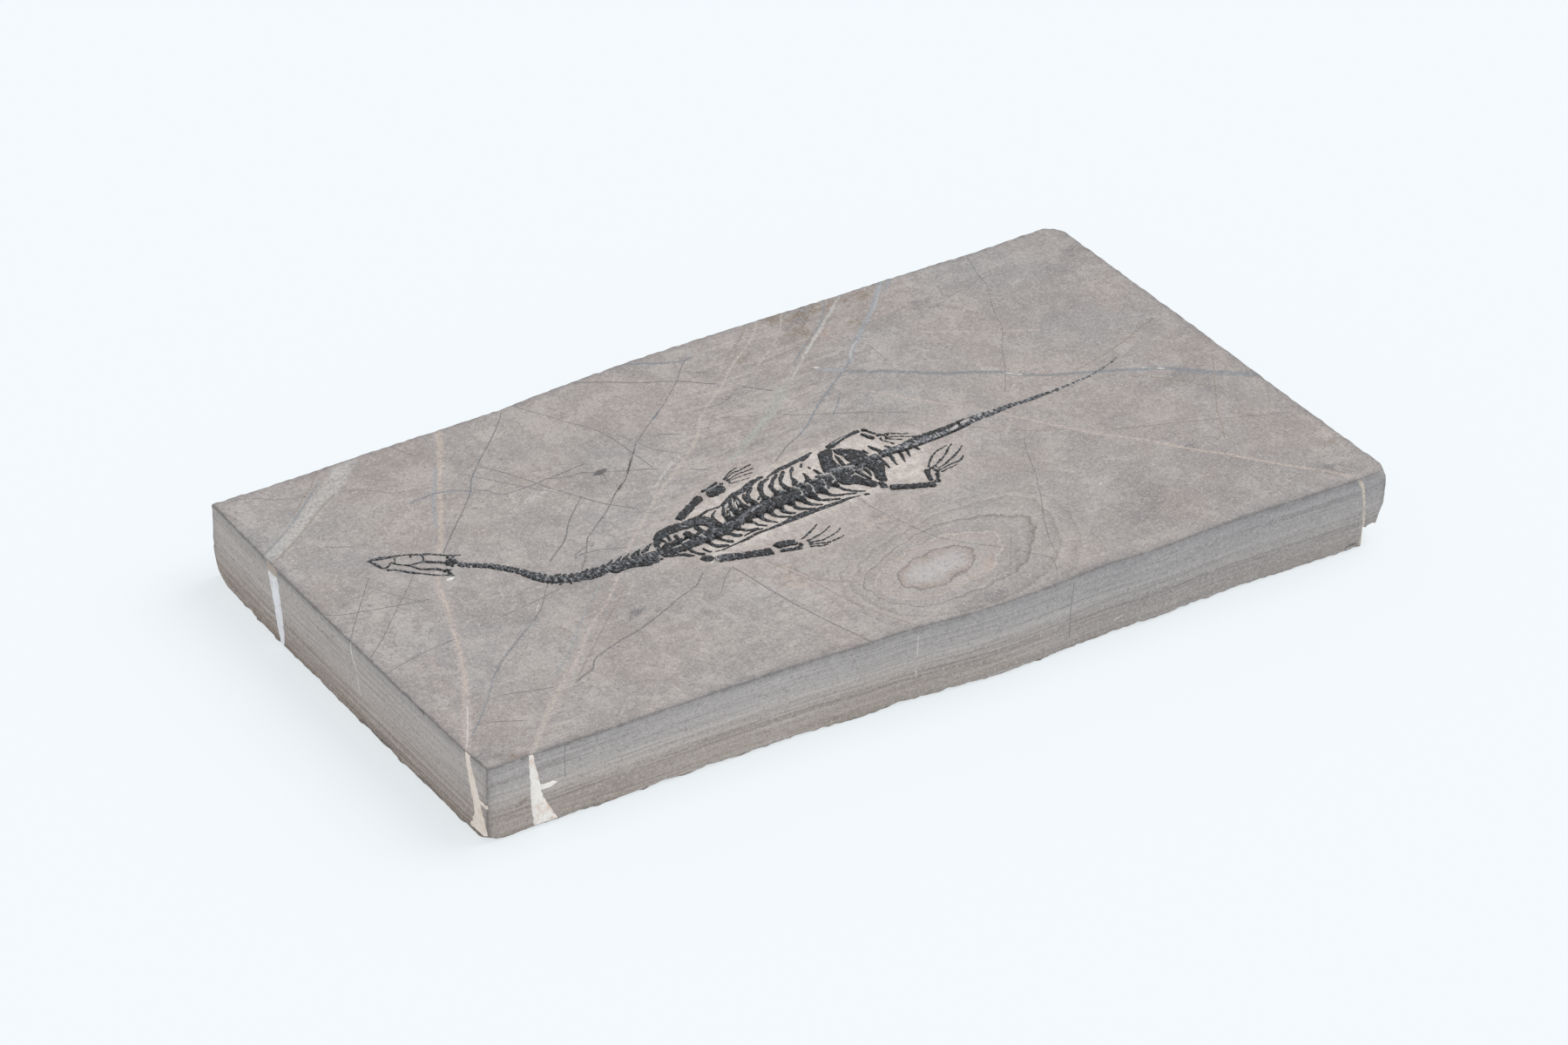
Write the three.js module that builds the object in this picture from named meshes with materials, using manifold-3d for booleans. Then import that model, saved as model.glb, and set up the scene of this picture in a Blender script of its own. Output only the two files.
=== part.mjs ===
// A small long-necked marine reptile, petrified and bedded flat in a sawn slab of limestone.
//
// Units are millimetres and +Z is up. The slab lies on z = 0 with its long side along X and its head
// end towards -X, and the origin is under the slab's middle. The bones lie on the bedding plane, which
// is the slab's upper face. Of each pair of limbs, "far" is the one on the +Y side of the backbone and
// "near" the one on the -Y side.

import * as THREE from 'three';
import { mergeVertices } from 'three/addons/utils/BufferGeometryUtils.js';
import Module from 'manifold-3d';

const wasm = await Module();
wasm.setup();
const { Manifold, Mesh } = wasm;

// Driving dimensions.
const SLAB_LENGTH = 291;
const SLAB_WIDTH = 161.4;
const SLAB_THICKNESS = 23.7;
const GAP = 0.3; // clearance between two pieces that meet side by side
const NOTCH_DEPTH = 3; // how far the repair plaster's notches reach in from a sawn face
const OVERSHOOT = 6; // how far a cutting shape stands outside the stone

// How high each kind of bone stands above the bedding plane.
const HEIGHT = {
	skull: 0.8,
	jaw: 0.65,
	neck: 1.05,
	back: 1.3,
	sacrum: 1.05,
	tail: 0.9,
	girdle: 0.7,
	limb: 1.0,
	wrist: 0.7,
	digit: 0.5,
	rib: 0.6,
	belly: 0.5,
};

const NECK_VERTEBRAE = 26;
const BACK_VERTEBRAE = 18;
const SACRAL_VERTEBRAE = 3;
const TAIL_VERTEBRAE = 32;
const JOINT_NARROWING = 0.8; // width and height at the joint between two vertebrae, against mid-length
const THIN_END_HEIGHT = 0.35; // share of its height that a bone keeps where it thins to nothing
const MITRE_LIMIT = 1.6; // longest mitre, in times the distance, when an outline is grown
const TOP = SLAB_THICKNESS;
const HALF_LENGTH = SLAB_LENGTH / 2;
const HALF_WIDTH = SLAB_WIDTH / 2;

// ---- Solids ---------------------------------------------------------------------------------

function solidOf(geometry) {
	const bare = geometry.clone();
	bare.deleteAttribute('normal');
	bare.deleteAttribute('uv');
	const merged = mergeVertices(bare, 1e-4);
	return new Manifold(new Mesh({
		numProp: 3,
		vertProperties: Float32Array.from(merged.attributes.position.array),
		triVerts: Uint32Array.from(merged.index.array),
	}));
}

function geometryOf(solid) {
	const { vertProperties, triVerts } = solid.getMesh();
	const geometry = new THREE.BufferGeometry();
	geometry.setAttribute('position', new THREE.BufferAttribute(vertProperties, 3));
	geometry.setIndex(new THREE.BufferAttribute(triVerts, 1));
	geometry.computeVertexNormals();
	return geometry;
}

function meshOf(vertices, triangles) {
	const geometry = new THREE.BufferGeometry();
	geometry.setAttribute('position', new THREE.Float32BufferAttribute(vertices.flat(), 3));
	geometry.setIndex(triangles.flat());
	return geometry;
}

const joined = (...solids) => solids.reduce((whole, solid) => whole.add(solid));
const cut = (solid, cutters) => cutters.reduce((rest, cutter) => rest.subtract(cutter), solid);

// A straight prism over a closed [x, y] outline, from z = low to z = high.
function prism(outline, low, high) {
	const shape = new THREE.Shape(outline.map(([x, y]) => new THREE.Vector2(x, y)));
	const geometry = new THREE.ExtrudeGeometry(shape, { depth: high - low, bevelEnabled: false });
	return solidOf(geometry.translate(0, 0, low));
}

// The same outline pushed outwards by a distance, corner by corner along the mitre.
function grown(outline, distance) {
	const area = THREE.ShapeUtils.area(outline.map(([x, y]) => new THREE.Vector2(x, y)));
	const side = Math.sign(area) * distance;
	return outline.map(([x, y], i) => {
		const [px, py] = outline.at(i - 1);
		const [nx, ny] = outline[(i + 1) % outline.length];
		const before = new THREE.Vector2(x - px, y - py).normalize();
		const after = new THREE.Vector2(nx - x, ny - y).normalize();
		const mitre = new THREE.Vector2(before.y + after.y, -before.x - after.x).normalize();
		const stretch = 1 / Math.max(1 / MITRE_LIMIT, mitre.dot(new THREE.Vector2(after.y, -after.x)));
		return [x + mitre.x * side * stretch, y + mitre.y * side * stretch];
	});
}

// The unit sideways direction at each station of a path of [x, y, width].
function sideways(path) {
	return path.map((_, i) => {
		const [ax, ay] = path[Math.max(0, i - 1)];
		const [bx, by] = path[Math.min(path.length - 1, i + 1)];
		return new THREE.Vector2(ay - by, bx - ax).normalize();
	});
}

// The flat outline that a path of [x, y, width] covers.
function footprint(path) {
	const across = sideways(path);
	const edge = (side) => path.map(([x, y, w], i) => [
		x + across[i].x * side * w / 2,
		y + across[i].y * side * w / 2,
	]);
	return [...edge(-1), ...edge(1).reverse()];
}

// A bone laid along a path: flat underneath, rounded above, lower where it is narrower.
const RIDGE_SECTION = [[-1, 0], [-0.68, 0.78], [0, 1], [0.68, 0.78], [1, 0]];

function ridge(path, height, section = RIDGE_SECTION) {
	const across = sideways(path);
	const widest = Math.max(...path.map(([, , w]) => w));
	const vertices = path.flatMap(([x, y, w, lift = 1], i) => section.map(([u, v]) => [
		x + across[i].x * u * w / 2,
		y + across[i].y * u * w / 2,
		TOP + v * height * lift * THREE.MathUtils.lerp(THIN_END_HEIGHT, 1, w / widest),
	]));
	const n = section.length;
	const triangles = [];
	for (let i = 0; i + 1 < path.length; i++) {
		for (let j = 0; j < n; j++) {
			const a = i * n + j;
			const b = i * n + (j + 1) % n;
			triangles.push([a, a + n, b], [b, a + n, b + n]);
		}
	}
	const last = (path.length - 1) * n;
	for (let j = 1; j + 1 < n; j++) {
		triangles.push([0, j, j + 1], [last, last + j + 1, last + j]);
	}
	return solidOf(meshOf(vertices, triangles));
}

// A thin bone such as a rib or a toe, with a simpler section.
const SLENDER_SECTION = [[-1, 0], [-0.5, 1], [0.5, 1], [1, 0]];
const slender = (path, height) => ridge(path, height, SLENDER_SECTION);

// A flat bone over a closed outline: a steep rim, then a low dome to the middle. Each ring of the
// dome is the outline's [size, height], both as shares.
const DOME_RINGS = [[1, 0], [0.97, 0.45], [0.75, 0.9]];

function plate(outline, height) {
	const points = outline.map(([x, y]) => new THREE.Vector2(x, y));
	if (THREE.ShapeUtils.isClockWise(points)) points.reverse();
	const middle = points.reduce((sum, p) => sum.add(p), new THREE.Vector2()).divideScalar(points.length);
	const n = points.length;
	const rings = DOME_RINGS.flatMap(([size, lift]) => points.map((p) => {
		const q = middle.clone().lerp(p, size);
		return [q.x, q.y, TOP + lift * height];
	}));
	const vertices = [...rings, [middle.x, middle.y, TOP + height]];
	const triangles = THREE.ShapeUtils.triangulateShape(points, []).map(([a, b, c]) => [a, c, b]);
	for (let i = 0; i < n; i++) {
		const j = (i + 1) % n;
		for (const base of [0, n]) {
			triangles.push([base + i, base + j, base + n + i], [base + j, base + n + j, base + n + i]);
		}
		triangles.push([2 * n + i, 2 * n + j, 3 * n]);
	}
	return solidOf(meshOf(vertices, triangles));
}

// Room around a bone, to be cut from its neighbours so that the two don't touch.
const ROOM_BELOW = 1;
const ROOM_ABOVE = 5;
const room = (outline) => prism(grown(outline, GAP), TOP - ROOM_BELOW, TOP + ROOM_ABOVE);
const roomAlong = (path) => room(footprint(path));

// A chain of vertebrae: the path is walked in equal steps, broad and high at each vertebra's middle,
// narrow and low at each joint.
function vertebrae(path, count, height) {
	const lengths = [0];
	for (let i = 1; i < path.length; i++) {
		lengths.push(lengths[i - 1] + Math.hypot(path[i][0] - path[i - 1][0], path[i][1] - path[i - 1][1]));
	}
	const at = (distance) => {
		const i = Math.max(1, lengths.findIndex((length) => length >= distance - 1e-9));
		const t = (distance - lengths[i - 1]) / (lengths[i] - lengths[i - 1]);
		return path[i].map((value, k) => THREE.MathUtils.lerp(path[i - 1][k], value, t));
	};
	const stations = Array.from({ length: 2 * count + 1 }, (_, i) => {
		const [x, y, width] = at(lengths.at(-1) * i / (2 * count));
		return i % 2 ? [x, y, width] : [x, y, width * JOINT_NARROWING, JOINT_NARROWING];
	});
	return ridge(stations, height);
}

// ---- Slab and repairs -----------------------------------------------------------------------

// The sawn outline, anticlockwise from the near left corner. The long faces bow a little, and the
// far right corner was rounded off.
const SLAB_OUTLINE = [
	[-144.4, -74], [0, -78.2], [40, -79.2], [139, -HALF_WIDTH], [143.4, -80], [144.9, -78],
	[144.7, -40], [HALF_LENGTH, 50], [145.3, 68], [144.7, 74.2], [143, 78], [139.6, 80.6],
	[133, 80.2], [115, 79.4], [20, 79.5], [-6, 79], [-22, 78.2], [-42, 76.6], [-56, 75.3], [-90, 74.8],
	[-144.4, 73.9], [-145.2, 71], [-HALF_LENGTH, 45], [-145.4, 0], [-144.8, -66],
];

// Outlines of the notches that the repair plaster fills: on the left face as [y, z], on the near
// face as [x, z]. Each runs on above the slab's top.
const ABOVE = TOP + 4;
const NEAR_FACE_AT_NOTCH = -74.5;
const LEFT_END_NOTCH = [
	[31.9, 2], [35, 2], [38, 7], [41, 21], [42, ABOVE], [35.2, ABOVE], [35, 23], [32.6, 9],
];
const LEFT_CORNER_NOTCH = [
	[-63.6, ABOVE], [-63.8, 22], [-65.5, 15.5], [-67.4, 10], [-67.6, 4], [-65.3, 2], [-80, 2], [-80, 3.2],
	[-74.2, 3.2], [-71, 9.4], [-80, 11.2], [-80, 12.2], [-70.2, 12.4], [-68.1, 17], [-66.3, 22],
	[-66.2, ABOVE],
];
const NEAR_NOTCH = [
	[-131.8, 1.2], [-123, 1.2], [-126, 7], [-127.4, 10.8], [-123, 12.4], [-128, 14.4], [-129.4, 18.6],
	[-130.5, 23], [-130.5, ABOVE], [-132, ABOVE], [-132, 18],
];

// A corner broken off: the solid behind the plane that cuts the three edges at the given legs from a
// corner. The signs of the legs point into the stone.
function brokenCorner(corner, legs) {
	const growth = 1 + legs.reduce((sum, leg) => sum + OVERSHOOT / Math.abs(leg), 0);
	const apex = corner.map((value, k) => value - Math.sign(legs[k]) * OVERSHOOT);
	const tips = legs.map((leg, k) => apex.map((value, axis) => value + (axis === k ? leg * growth : 0)));
	const turned = legs[0] * legs[1] * legs[2] < 0;
	const faces = turned
		? [[0, 1, 2], [0, 2, 3], [0, 3, 1], [1, 3, 2]]
		: [[0, 2, 1], [0, 3, 2], [0, 1, 3], [1, 2, 3]];
	return solidOf(meshOf([apex, ...tips], faces));
}

const BROKEN_CORNERS = [
	{ corner: [-HALF_LENGTH, 74, 0], legs: [5.5, -23, 14] },
	{ corner: [-HALF_LENGTH, -74, 0], legs: [5, 6, 2.5] },
	{ corner: [HALF_LENGTH, -HALF_WIDTH, TOP], legs: [-3.5, 3.5, -4] },
];

// The thin right end of the near edge, where the underside split away. It starts at SPLIT_START
// along X, and its section, as [y, z], slopes down from the near face into the underside.
const SPLIT_START = 137.7;
const SPLIT_INNER = -HALF_WIDTH + 16;
const SPLIT_OUTER = -HALF_WIDTH - OVERSHOOT;
const SPLIT_SECTION = [[SPLIT_OUTER, -4], [SPLIT_INNER, -4], [SPLIT_INNER, 1], [SPLIT_OUTER, 8.3]];
const splitUnderside = () => prism(SPLIT_SECTION, SPLIT_START, HALF_LENGTH + OVERSHOOT).rotate([90, 0, 90]);

const wholeSlab = cut(prism(SLAB_OUTLINE, 0, SLAB_THICKNESS), [
	...BROKEN_CORNERS.map(({ corner, legs }) => brokenCorner(corner, legs)),
	splitUnderside(),
]);

// A prism over an outline drawn on an upright face, running into the stone to a depth.
const fromLeftFace = (outline, depth) => prism(outline, -OVERSHOOT, depth)
	.rotate([90, 0, 90])
	.translate([-HALF_LENGTH, 0, 0]);

const fromNearFace = (outline, depth) => prism(outline, -depth, OVERSHOOT)
	.rotate([90, 0, 0])
	.translate([0, NEAR_FACE_AT_NOTCH, 0]);

const NOTCHES = {
	left_end_plaster: [LEFT_END_NOTCH, fromLeftFace],
	left_corner_plaster: [LEFT_CORNER_NOTCH, fromLeftFace],
	near_face_plaster: [NEAR_NOTCH, fromNearFace],
};

// Each plaster fill is its notch less the gap at the sides and back, let down to rest on the floor.
const plasterFills = () => Object.entries(NOTCHES).map(([name, [outline, into]]) => {
	const fill = into(grown(outline, -GAP), NOTCH_DEPTH - GAP).translate([0, 0, -GAP]);
	return [name, fill.intersect(into(outline, NOTCH_DEPTH)).intersect(wholeSlab)];
});

const slab = () => cut(
	wholeSlab,
	Object.values(NOTCHES).map(([outline, into]) => into(outline, NOTCH_DEPTH)),
);

// ---- Skull ----------------------------------------------------------------------------------

// Bars of bone round the openings of the skull, as [x, y, width] from the snout backwards.
const SKULL_BARS = [
	// far cheek and rim, from the snout's tip
	[[-122.9, 26.2, 0.5], [-121, 26.2, 1], [-119.2, 25.7, 1.6], [-117, 25.1, 1.1], [-114.5, 24.5, 0.7],
		[-112, 23.6, 0.6], [-108.5, 21.7, 0.9], [-106.5, 20.7, 0.9], [-104.8, 19.3, 0.8], [-103, 17.9, 0.7],
		[-99.4, 16, 0.3]],
	// near side of the snout
	[[-122.2, 26.2, 0.5], [-121.8, 24.5, 0.7], [-121.3, 23, 0.9], [-120.9, 21.6, 0.8], [-120.3, 20.8, 0.9]],
	// inner bar, from beside the nostrils to the jaw joint
	[[-117.3, 22.6, 0.4], [-116.6, 21, 0.6], [-115.2, 19.7, 0.6], [-113.9, 18.5, 0.8], [-113, 16.8, 0.8],
		[-112.2, 15.5, 0.8], [-109.3, 13.8, 0.8], [-108.2, 13, 1.2], [-107.3, 12, 0.8], [-106.2, 11.2, 1.3],
		[-105.2, 11, 0.8]],
	// rim of the eye socket: under, behind and in front
	[[-114, 18.7, 0.6], [-112.4, 18.6, 0.5], [-111, 18.4, 0.6], [-109.6, 18.4, 0.9]],
	[[-109.8, 18.3, 0.9], [-109, 19.6, 0.5], [-108.6, 20.8, 0.6], [-108.5, 21.7, 0.8]],
	[[-116.7, 21.2, 0.4], [-116.1, 22.8, 0.5], [-115.6, 23.6, 0.7], [-115.1, 24.6, 1]],
	// bar along the skull's roof, down to the braincase
	[[-109.8, 18.3, 0.9], [-108.3, 17.2, 1.1], [-106.8, 16.2, 1.1], [-105.4, 15.1, 1.2],
		[-104.3, 14.4, 1.3]],
	[[-104.2, 15.2, 0.6], [-102.6, 15.9, 0.5], [-101, 16.6, 0.5]],
	[[-117.4, 22.6, 0.4], [-119, 21.2, 0.5], [-120.4, 20.9, 0.8]],
];
const BRAINCASE = [
	[-105.4, 13.6], [-104.7, 15.3], [-103.4, 15.9], [-102.3, 15.3], [-101.6, 14.2], [-101.9, 13.1],
		[-102.9, 12.8],
	[-104.4, 12.8],
];
const LOWER_JAW = [
	[-120.4, 19.9, 1], [-118.6, 19, 0.7], [-117.4, 17.9, 0.6], [-116.3, 16.6, 0.9], [-115.2, 15.4, 1.1],
	[-114.2, 14.5, 0.9], [-112.8, 13.3, 0.5], [-111.2, 11.9, 0.5], [-109.4, 10.4, 0.6], [-107.8, 9.4, 0.6],
	[-106.4, 8.5, 0.8], [-105.9, 8.2, 0.3],
];

const skull = () => cut(
	joined(plate(BRAINCASE, HEIGHT.skull), ...SKULL_BARS.map((bar) => ridge(bar, HEIGHT.skull))),
	[roomAlong(LOWER_JAW)],
);

// ---- Backbone -------------------------------------------------------------------------------

const NECK_PATH = [
	[-102.6, 12.4, 1.8], [-101, 11, 2], [-98, 8.9, 2], [-96, 7.5, 2.1], [-94.5, 6, 2.2], [-93, 4.5, 2.3],
	[-91.5, 2.8, 2.4], [-90.3, 1.2, 2.4], [-89.3, -0.5, 2.7], [-88.3, -2.3, 3], [-87.3, -4.2, 3.4],
	[-86, -6, 3.7], [-84, -7.7, 4], [-81.5, -9, 4.3], [-79, -9.7, 4.3], [-76, -10, 4.2], [-72, -10.2, 4.1],
	[-68, -10.5, 4.6], [-64, -10.6, 5], [-60, -10.9, 5.8], [-56, -11.2, 7], [-52.6, -11.5, 5.8],
];
const BACK_PATH = [
	[-52.2, -11.5, 5.4], [-48, -11.6, 4.6], [-44, -11.7, 4.2], [-40, -11.2, 4.8], [-36, -10.8, 5],
	[-33, -10.7, 4.7], [-30, -10.1, 4.3], [-27, -9.1, 4.3], [-24, -7.9, 4.3], [-20, -7.2, 5],
		[-16, -6.7, 5.4],
	[-12, -6.2, 5.4], [-8, -5.8, 5.6], [-4, -5.8, 5.6], [-1.5, -6.1, 5.4], [2.3, -5.5, 5], [5.5, -4.9, 5],
	[8.4, -4.5, 4.8],
];
const SACRUM_PATH = [
	[8.8, -4.1, 3.6], [12, -3.9, 3.2], [15, -3, 4.2], [17.5, -2.5, 4.4], [20, -1.5, 2.8], [23, -1.4, 2.8],
	[26.2, -0.9, 3],
];
const TAIL_PATH = [
	[26.6, -0.8, 3.1], [30, -0.7, 3.1], [34, -0.6, 3], [38, -0.1, 3.6], [42, 0.1, 3.9], [46, 0.3, 3.7],
	[50, 0.5, 3.5], [54, 0.9, 3.3], [58, 1.2, 3], [62, 1.6, 2.8], [66, 1.6, 2.4], [70, 1.8, 1.9],
	[74, 1.9, 1.8], [78, 1.8, 1.4], [82, 1.9, 1.3], [86, 2.1, 1.2], [90, 2.2, 1], [94, 2.6, 0.8],
	[98, 3, 0.8], [102, 3.4, 0.7], [106, 4.4, 0.7], [108.5, 5.3, 0.6], [111, 6.1, 0.5], [113, 6.8, 0.4],
	[115.3, 7.9, 0.2],
];

// Short ribs that grow out of the last neck and back vertebrae, the sacrum and the base of the tail.
const NECK_RIBS = [
	[[-58.5, -9.2, 1.2], [-57.8, -8, 0.9], [-56.3, -6.8, 0.3]],
	[[-55.5, -8.6, 1.2], [-54.2, -7.2, 0.9], [-52, -6, 0.3]],
	[[-53, -13.2, 1], [-50.6, -14.3, 0.7], [-48.8, -14.8, 0.8], [-47.7, -15.3, 1.1], [-47, -16.1, 1.3],
		[-46.3, -16.8, 1.1], [-45.2, -17.2, 0.5]],
];
const BACK_RIBS = [
	[[0.9, -4, 1.2], [1.1, -2.8, 1.4], [2, -1.5, 1.6], [2.5, -0.2, 1.4], [2.8, 1.2, 0.9], [2.9, 2.6, 0.4]],
	[[6.9, -3.6, 0.8], [6.8, -2.2, 0.8], [6.7, -0.6, 0.9], [6.6, 1, 0.9], [6.4, 2.6, 0.5]],
];
const SACRAL_RIBS = [
	[[14.8, -1.4, 1], [15, 0.8, 1.2], [15.3, 2.5, 1.2], [15.5, 4.2, 0.9], [15.7, 5.8, 0.4]],
	[[16.2, -3.8, 1], [16.5, -5.8, 1], [16.8, -7.3, 1.2], [17.2, -8.8, 1], [17.5, -10, 0.6]],
	[[18.3, -3.8, 1.2], [18.9, -5.2, 1.1], [18.9, -6.5, 1.1], [18.6, -7.8, 0.9], [18.4, -8.8, 0.4]],
	[[24.9, -2, 1], [25.6, -3.3, 0.8], [25.4, -5, 0.9], [25.3, -6.3, 0.8], [25.1, -7.9, 0.4]],
];
const TAIL_RIBS = [
	[[27.7, 0, 1.2], [27.6, 1.2, 1.2], [27, 2.7, 1.2], [26.6, 4, 0.9], [26.4, 5.1, 0.4]],
	[[31.4, 0, 0.8], [31, 1.4, 0.8], [30.2, 2.6, 0.4]],
	[[28.9, -1.8, 1.1], [28.8, -3.6, 1.2], [28.3, -5.1, 0.9], [28, -6.3, 0.6], [27.8, -7.7, 0.3]],
	[[32.2, -1.6, 1], [32, -3.3, 0.9], [31.5, -4.8, 0.8], [31.1, -6, 0.6], [30.7, -7.4, 0.3]],
	[[34.6, -1.4, 1], [34.5, -2.6, 1], [34.1, -3.8, 0.8], [33.7, -5, 0.5], [33.4, -5.8, 0.3]],
	[[37.2, -1.4, 0.6], [37.4, -3, 0.8], [37.9, -4.3, 0.4]],
];

const withRibs = (spine, ribs) => joined(spine, ...ribs.map((path) => slender(path, HEIGHT.rib)));

const neckVertebrae = () => withRibs(vertebrae(NECK_PATH, NECK_VERTEBRAE, HEIGHT.neck), NECK_RIBS);

const backVertebrae = () => cut(
	withRibs(vertebrae(BACK_PATH, BACK_VERTEBRAE, HEIGHT.back), BACK_RIBS),
	[roomAlong(NECK_PATH.slice(-3)), roomAlong(NECK_RIBS.at(-1))],
);

const sacrum = () => cut(
	withRibs(vertebrae(SACRUM_PATH, SACRAL_VERTEBRAE, HEIGHT.sacrum), SACRAL_RIBS),
	[roomAlong(BACK_PATH)],
);

const tailVertebrae = () => cut(
	withRibs(vertebrae(TAIL_PATH, TAIL_VERTEBRAE, HEIGHT.tail), TAIL_RIBS),
	[roomAlong(SACRUM_PATH), roomAlong(SACRAL_RIBS.at(-1))],
);

// ---- Girdles, as closed [x, y] outlines -------------------------------------------------------

const PLATES = {
	clavicle: [
		[-51.8, -8.2], [-50.8, -6.3], [-50, -4.9], [-49, -3.8], [-47.5, -2.8], [-46, -2.1], [-44, -1.6],
		[-42, -1.5], [-41.7, -2.6], [-42.3, -3.9], [-43, -5], [-44.5, -4.9], [-46, -4.7], [-47.8, -4.9],
		[-48.8, -5.5], [-49.6, -6.8], [-50.3, -8.4], [-51.2, -8.7],
	],
	coracoid: [
		[-40.9, -4.9], [-40.5, -2.9], [-39.3, -1.9], [-36, -1.7], [-33.6, -1.8], [-32.8, -3], [-32.2, -4.2],
		[-32.1, -5.4], [-33, -7], [-34.4, -7.7], [-35.3, -6.8], [-35.8, -5.6], [-37.2, -5], [-39, -5],
	],
	shoulder_blade: [
		[-45, -19.5], [-44.3, -18.9], [-42.7, -19.1], [-41.6, -20], [-41.6, -21.2], [-42.5, -21.8],
		[-43.8, -21.5], [-44.7, -20.5],
	],
	pubis_far: [
		[8.4, -0.3], [8.6, 1.5], [9.4, 3.4], [10.4, 5.4], [11.2, 7.1], [12.3, 8.6], [13.6, 9.2],
			[15.2, 9.2],
		[15.9, 8.3], [15.7, 7], [14.8, 5.6], [14.1, 4], [13.7, 2], [13.7, -0.4], [12, -0.7],
	],
	ischium_far: [
		[16.9, 7.8], [18.2, 7.8], [19.6, 7], [21, 6.1], [22.2, 4.8], [23.1, 3.5], [23.3, 1.8], [23.1, 0.4],
		[20, 0.2], [18.4, 0.2], [17.1, 1], [16.9, 2.6], [17.6, 4], [17, 5.3], [16.4, 6.6],
	],
	pubis_near: [
		[9.2, -6.9], [10.6, -6.3], [13, -5.9], [14.8, -6], [15.4, -7.4], [16, -8.6], [16.8, -10],
			[17.7, -11.4],
		[17.6, -12.6], [16.9, -13.6], [16, -14], [15.2, -13.6], [14.4, -12.4], [13.5, -11], [12.5, -10],
		[10.8, -9.7], [9.2, -9.1], [8.9, -8],
	],
	ischium_near: [
		[20.1, -3.4], [21.6, -3.4], [23.2, -3.9], [24.5, -4.7], [24.3, -6], [23.5, -7.4], [22.8, -8.8],
		[22.1, -10.3], [21.5, -11.8], [20.9, -13], [20.3, -13.1], [19.6, -11.8], [18.9, -10.4],
			[19.5, -8.8],
		[20, -7.4], [20, -5.4],
	],
	ilium_near: [
		[18.2, -12.6], [18.9, -12.5], [19.3, -13.4], [19.4, -14.6], [18.8, -15.4], [17.9, -15.5],
			[17.4, -14.8],
		[17.7, -13.8],
	],
};

// ---- Limbs ------------------------------------------------------------------------------------

// Long bones as [x, y, width] from the body outwards.
const LONG_BONES = {
	humerus_far: [[-38.9, 0.6, 1.9], [-38, 1.2, 2.7], [-35.5, 2.6, 2.6], [-33, 4.2, 2.5],
		[-31, 5.4, 2.5], [-29, 6.4, 2.7], [-28.4, 6.7, 2.1]],
	radius_far: [[-26.6, 8.8, 0.7], [-24.5, 9.4, 0.6], [-22.5, 10, 0.6], [-21.2, 10.4, 0.6],
		[-20.2, 10.9, 0.7]],
	ulna_far: [[-26.1, 6.9, 1.6], [-25.2, 6.8, 2.8], [-23.5, 6.8, 3.1], [-21.5, 7.5, 2.9],
		[-20.4, 8, 2.6], [-19.9, 8.2, 1.8]],
	humerus_near: [[-41, -22.4, 2.2], [-39.5, -22.2, 3.1], [-37, -23.1, 3.2], [-34, -24.1, 3.1],
		[-31, -25.2, 3], [-28, -26.1, 3.5], [-26.3, -26.2, 2.7]],
	radius_near: [[-24.1, -25.1, 1.7], [-23.3, -24.9, 3], [-21.5, -25.2, 2.9], [-19.5, -25.5, 2.7],
		[-18.4, -25.6, 2.4]],
	ulna_near: [[-24.3, -27.9, 0.8], [-23, -28.1, 1.4], [-21, -28.5, 1.2], [-19.3, -28.8, 1.4],
		[-18.2, -29, 1.1]],
	femur_far: [[15.9, 10.6, 0.7], [17.2, 10.4, 1.7], [19, 10.8, 1.7], [21, 11.6, 1.5],
		[24, 12.3, 1.2], [26.5, 12.6, 1.2], [28.3, 12.8, 1.1]],
	fibula_far: [[29.4, 12.2, 1.3], [30.2, 12.1, 1.3], [30.7, 11, 0.8], [31, 9.9, 0.7], [31.7, 9.3, 0.6]],
	tibia_far: [[28.5, 11.3, 0.8], [28.8, 10.3, 1.1], [29.4, 9, 1.1], [30, 7.9, 1.4], [30.3, 7.3, 1]],
	femur_near: [[19, -16.7, 2], [20.4, -16.7, 3], [22.5, -17.6, 2.6], [25, -18.8, 2.4],
		[28, -20.3, 2.4], [30, -21.1, 2.5], [31.3, -21.4, 1.6]],
	tibia_near: [[33, -14, 1.3], [32.9, -15, 1.6], [32.4, -16.5, 1.4], [31.8, -18, 1.2],
		[31.3, -19.3, 1.3]],
	fibula_near: [[35, -16.9, 0.7], [34.4, -17.8, 1.1], [33.9, -18.7, 0.8], [33.1, -19.8, 0.9],
		[32.8, -20.9, 1.3]],
};

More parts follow.
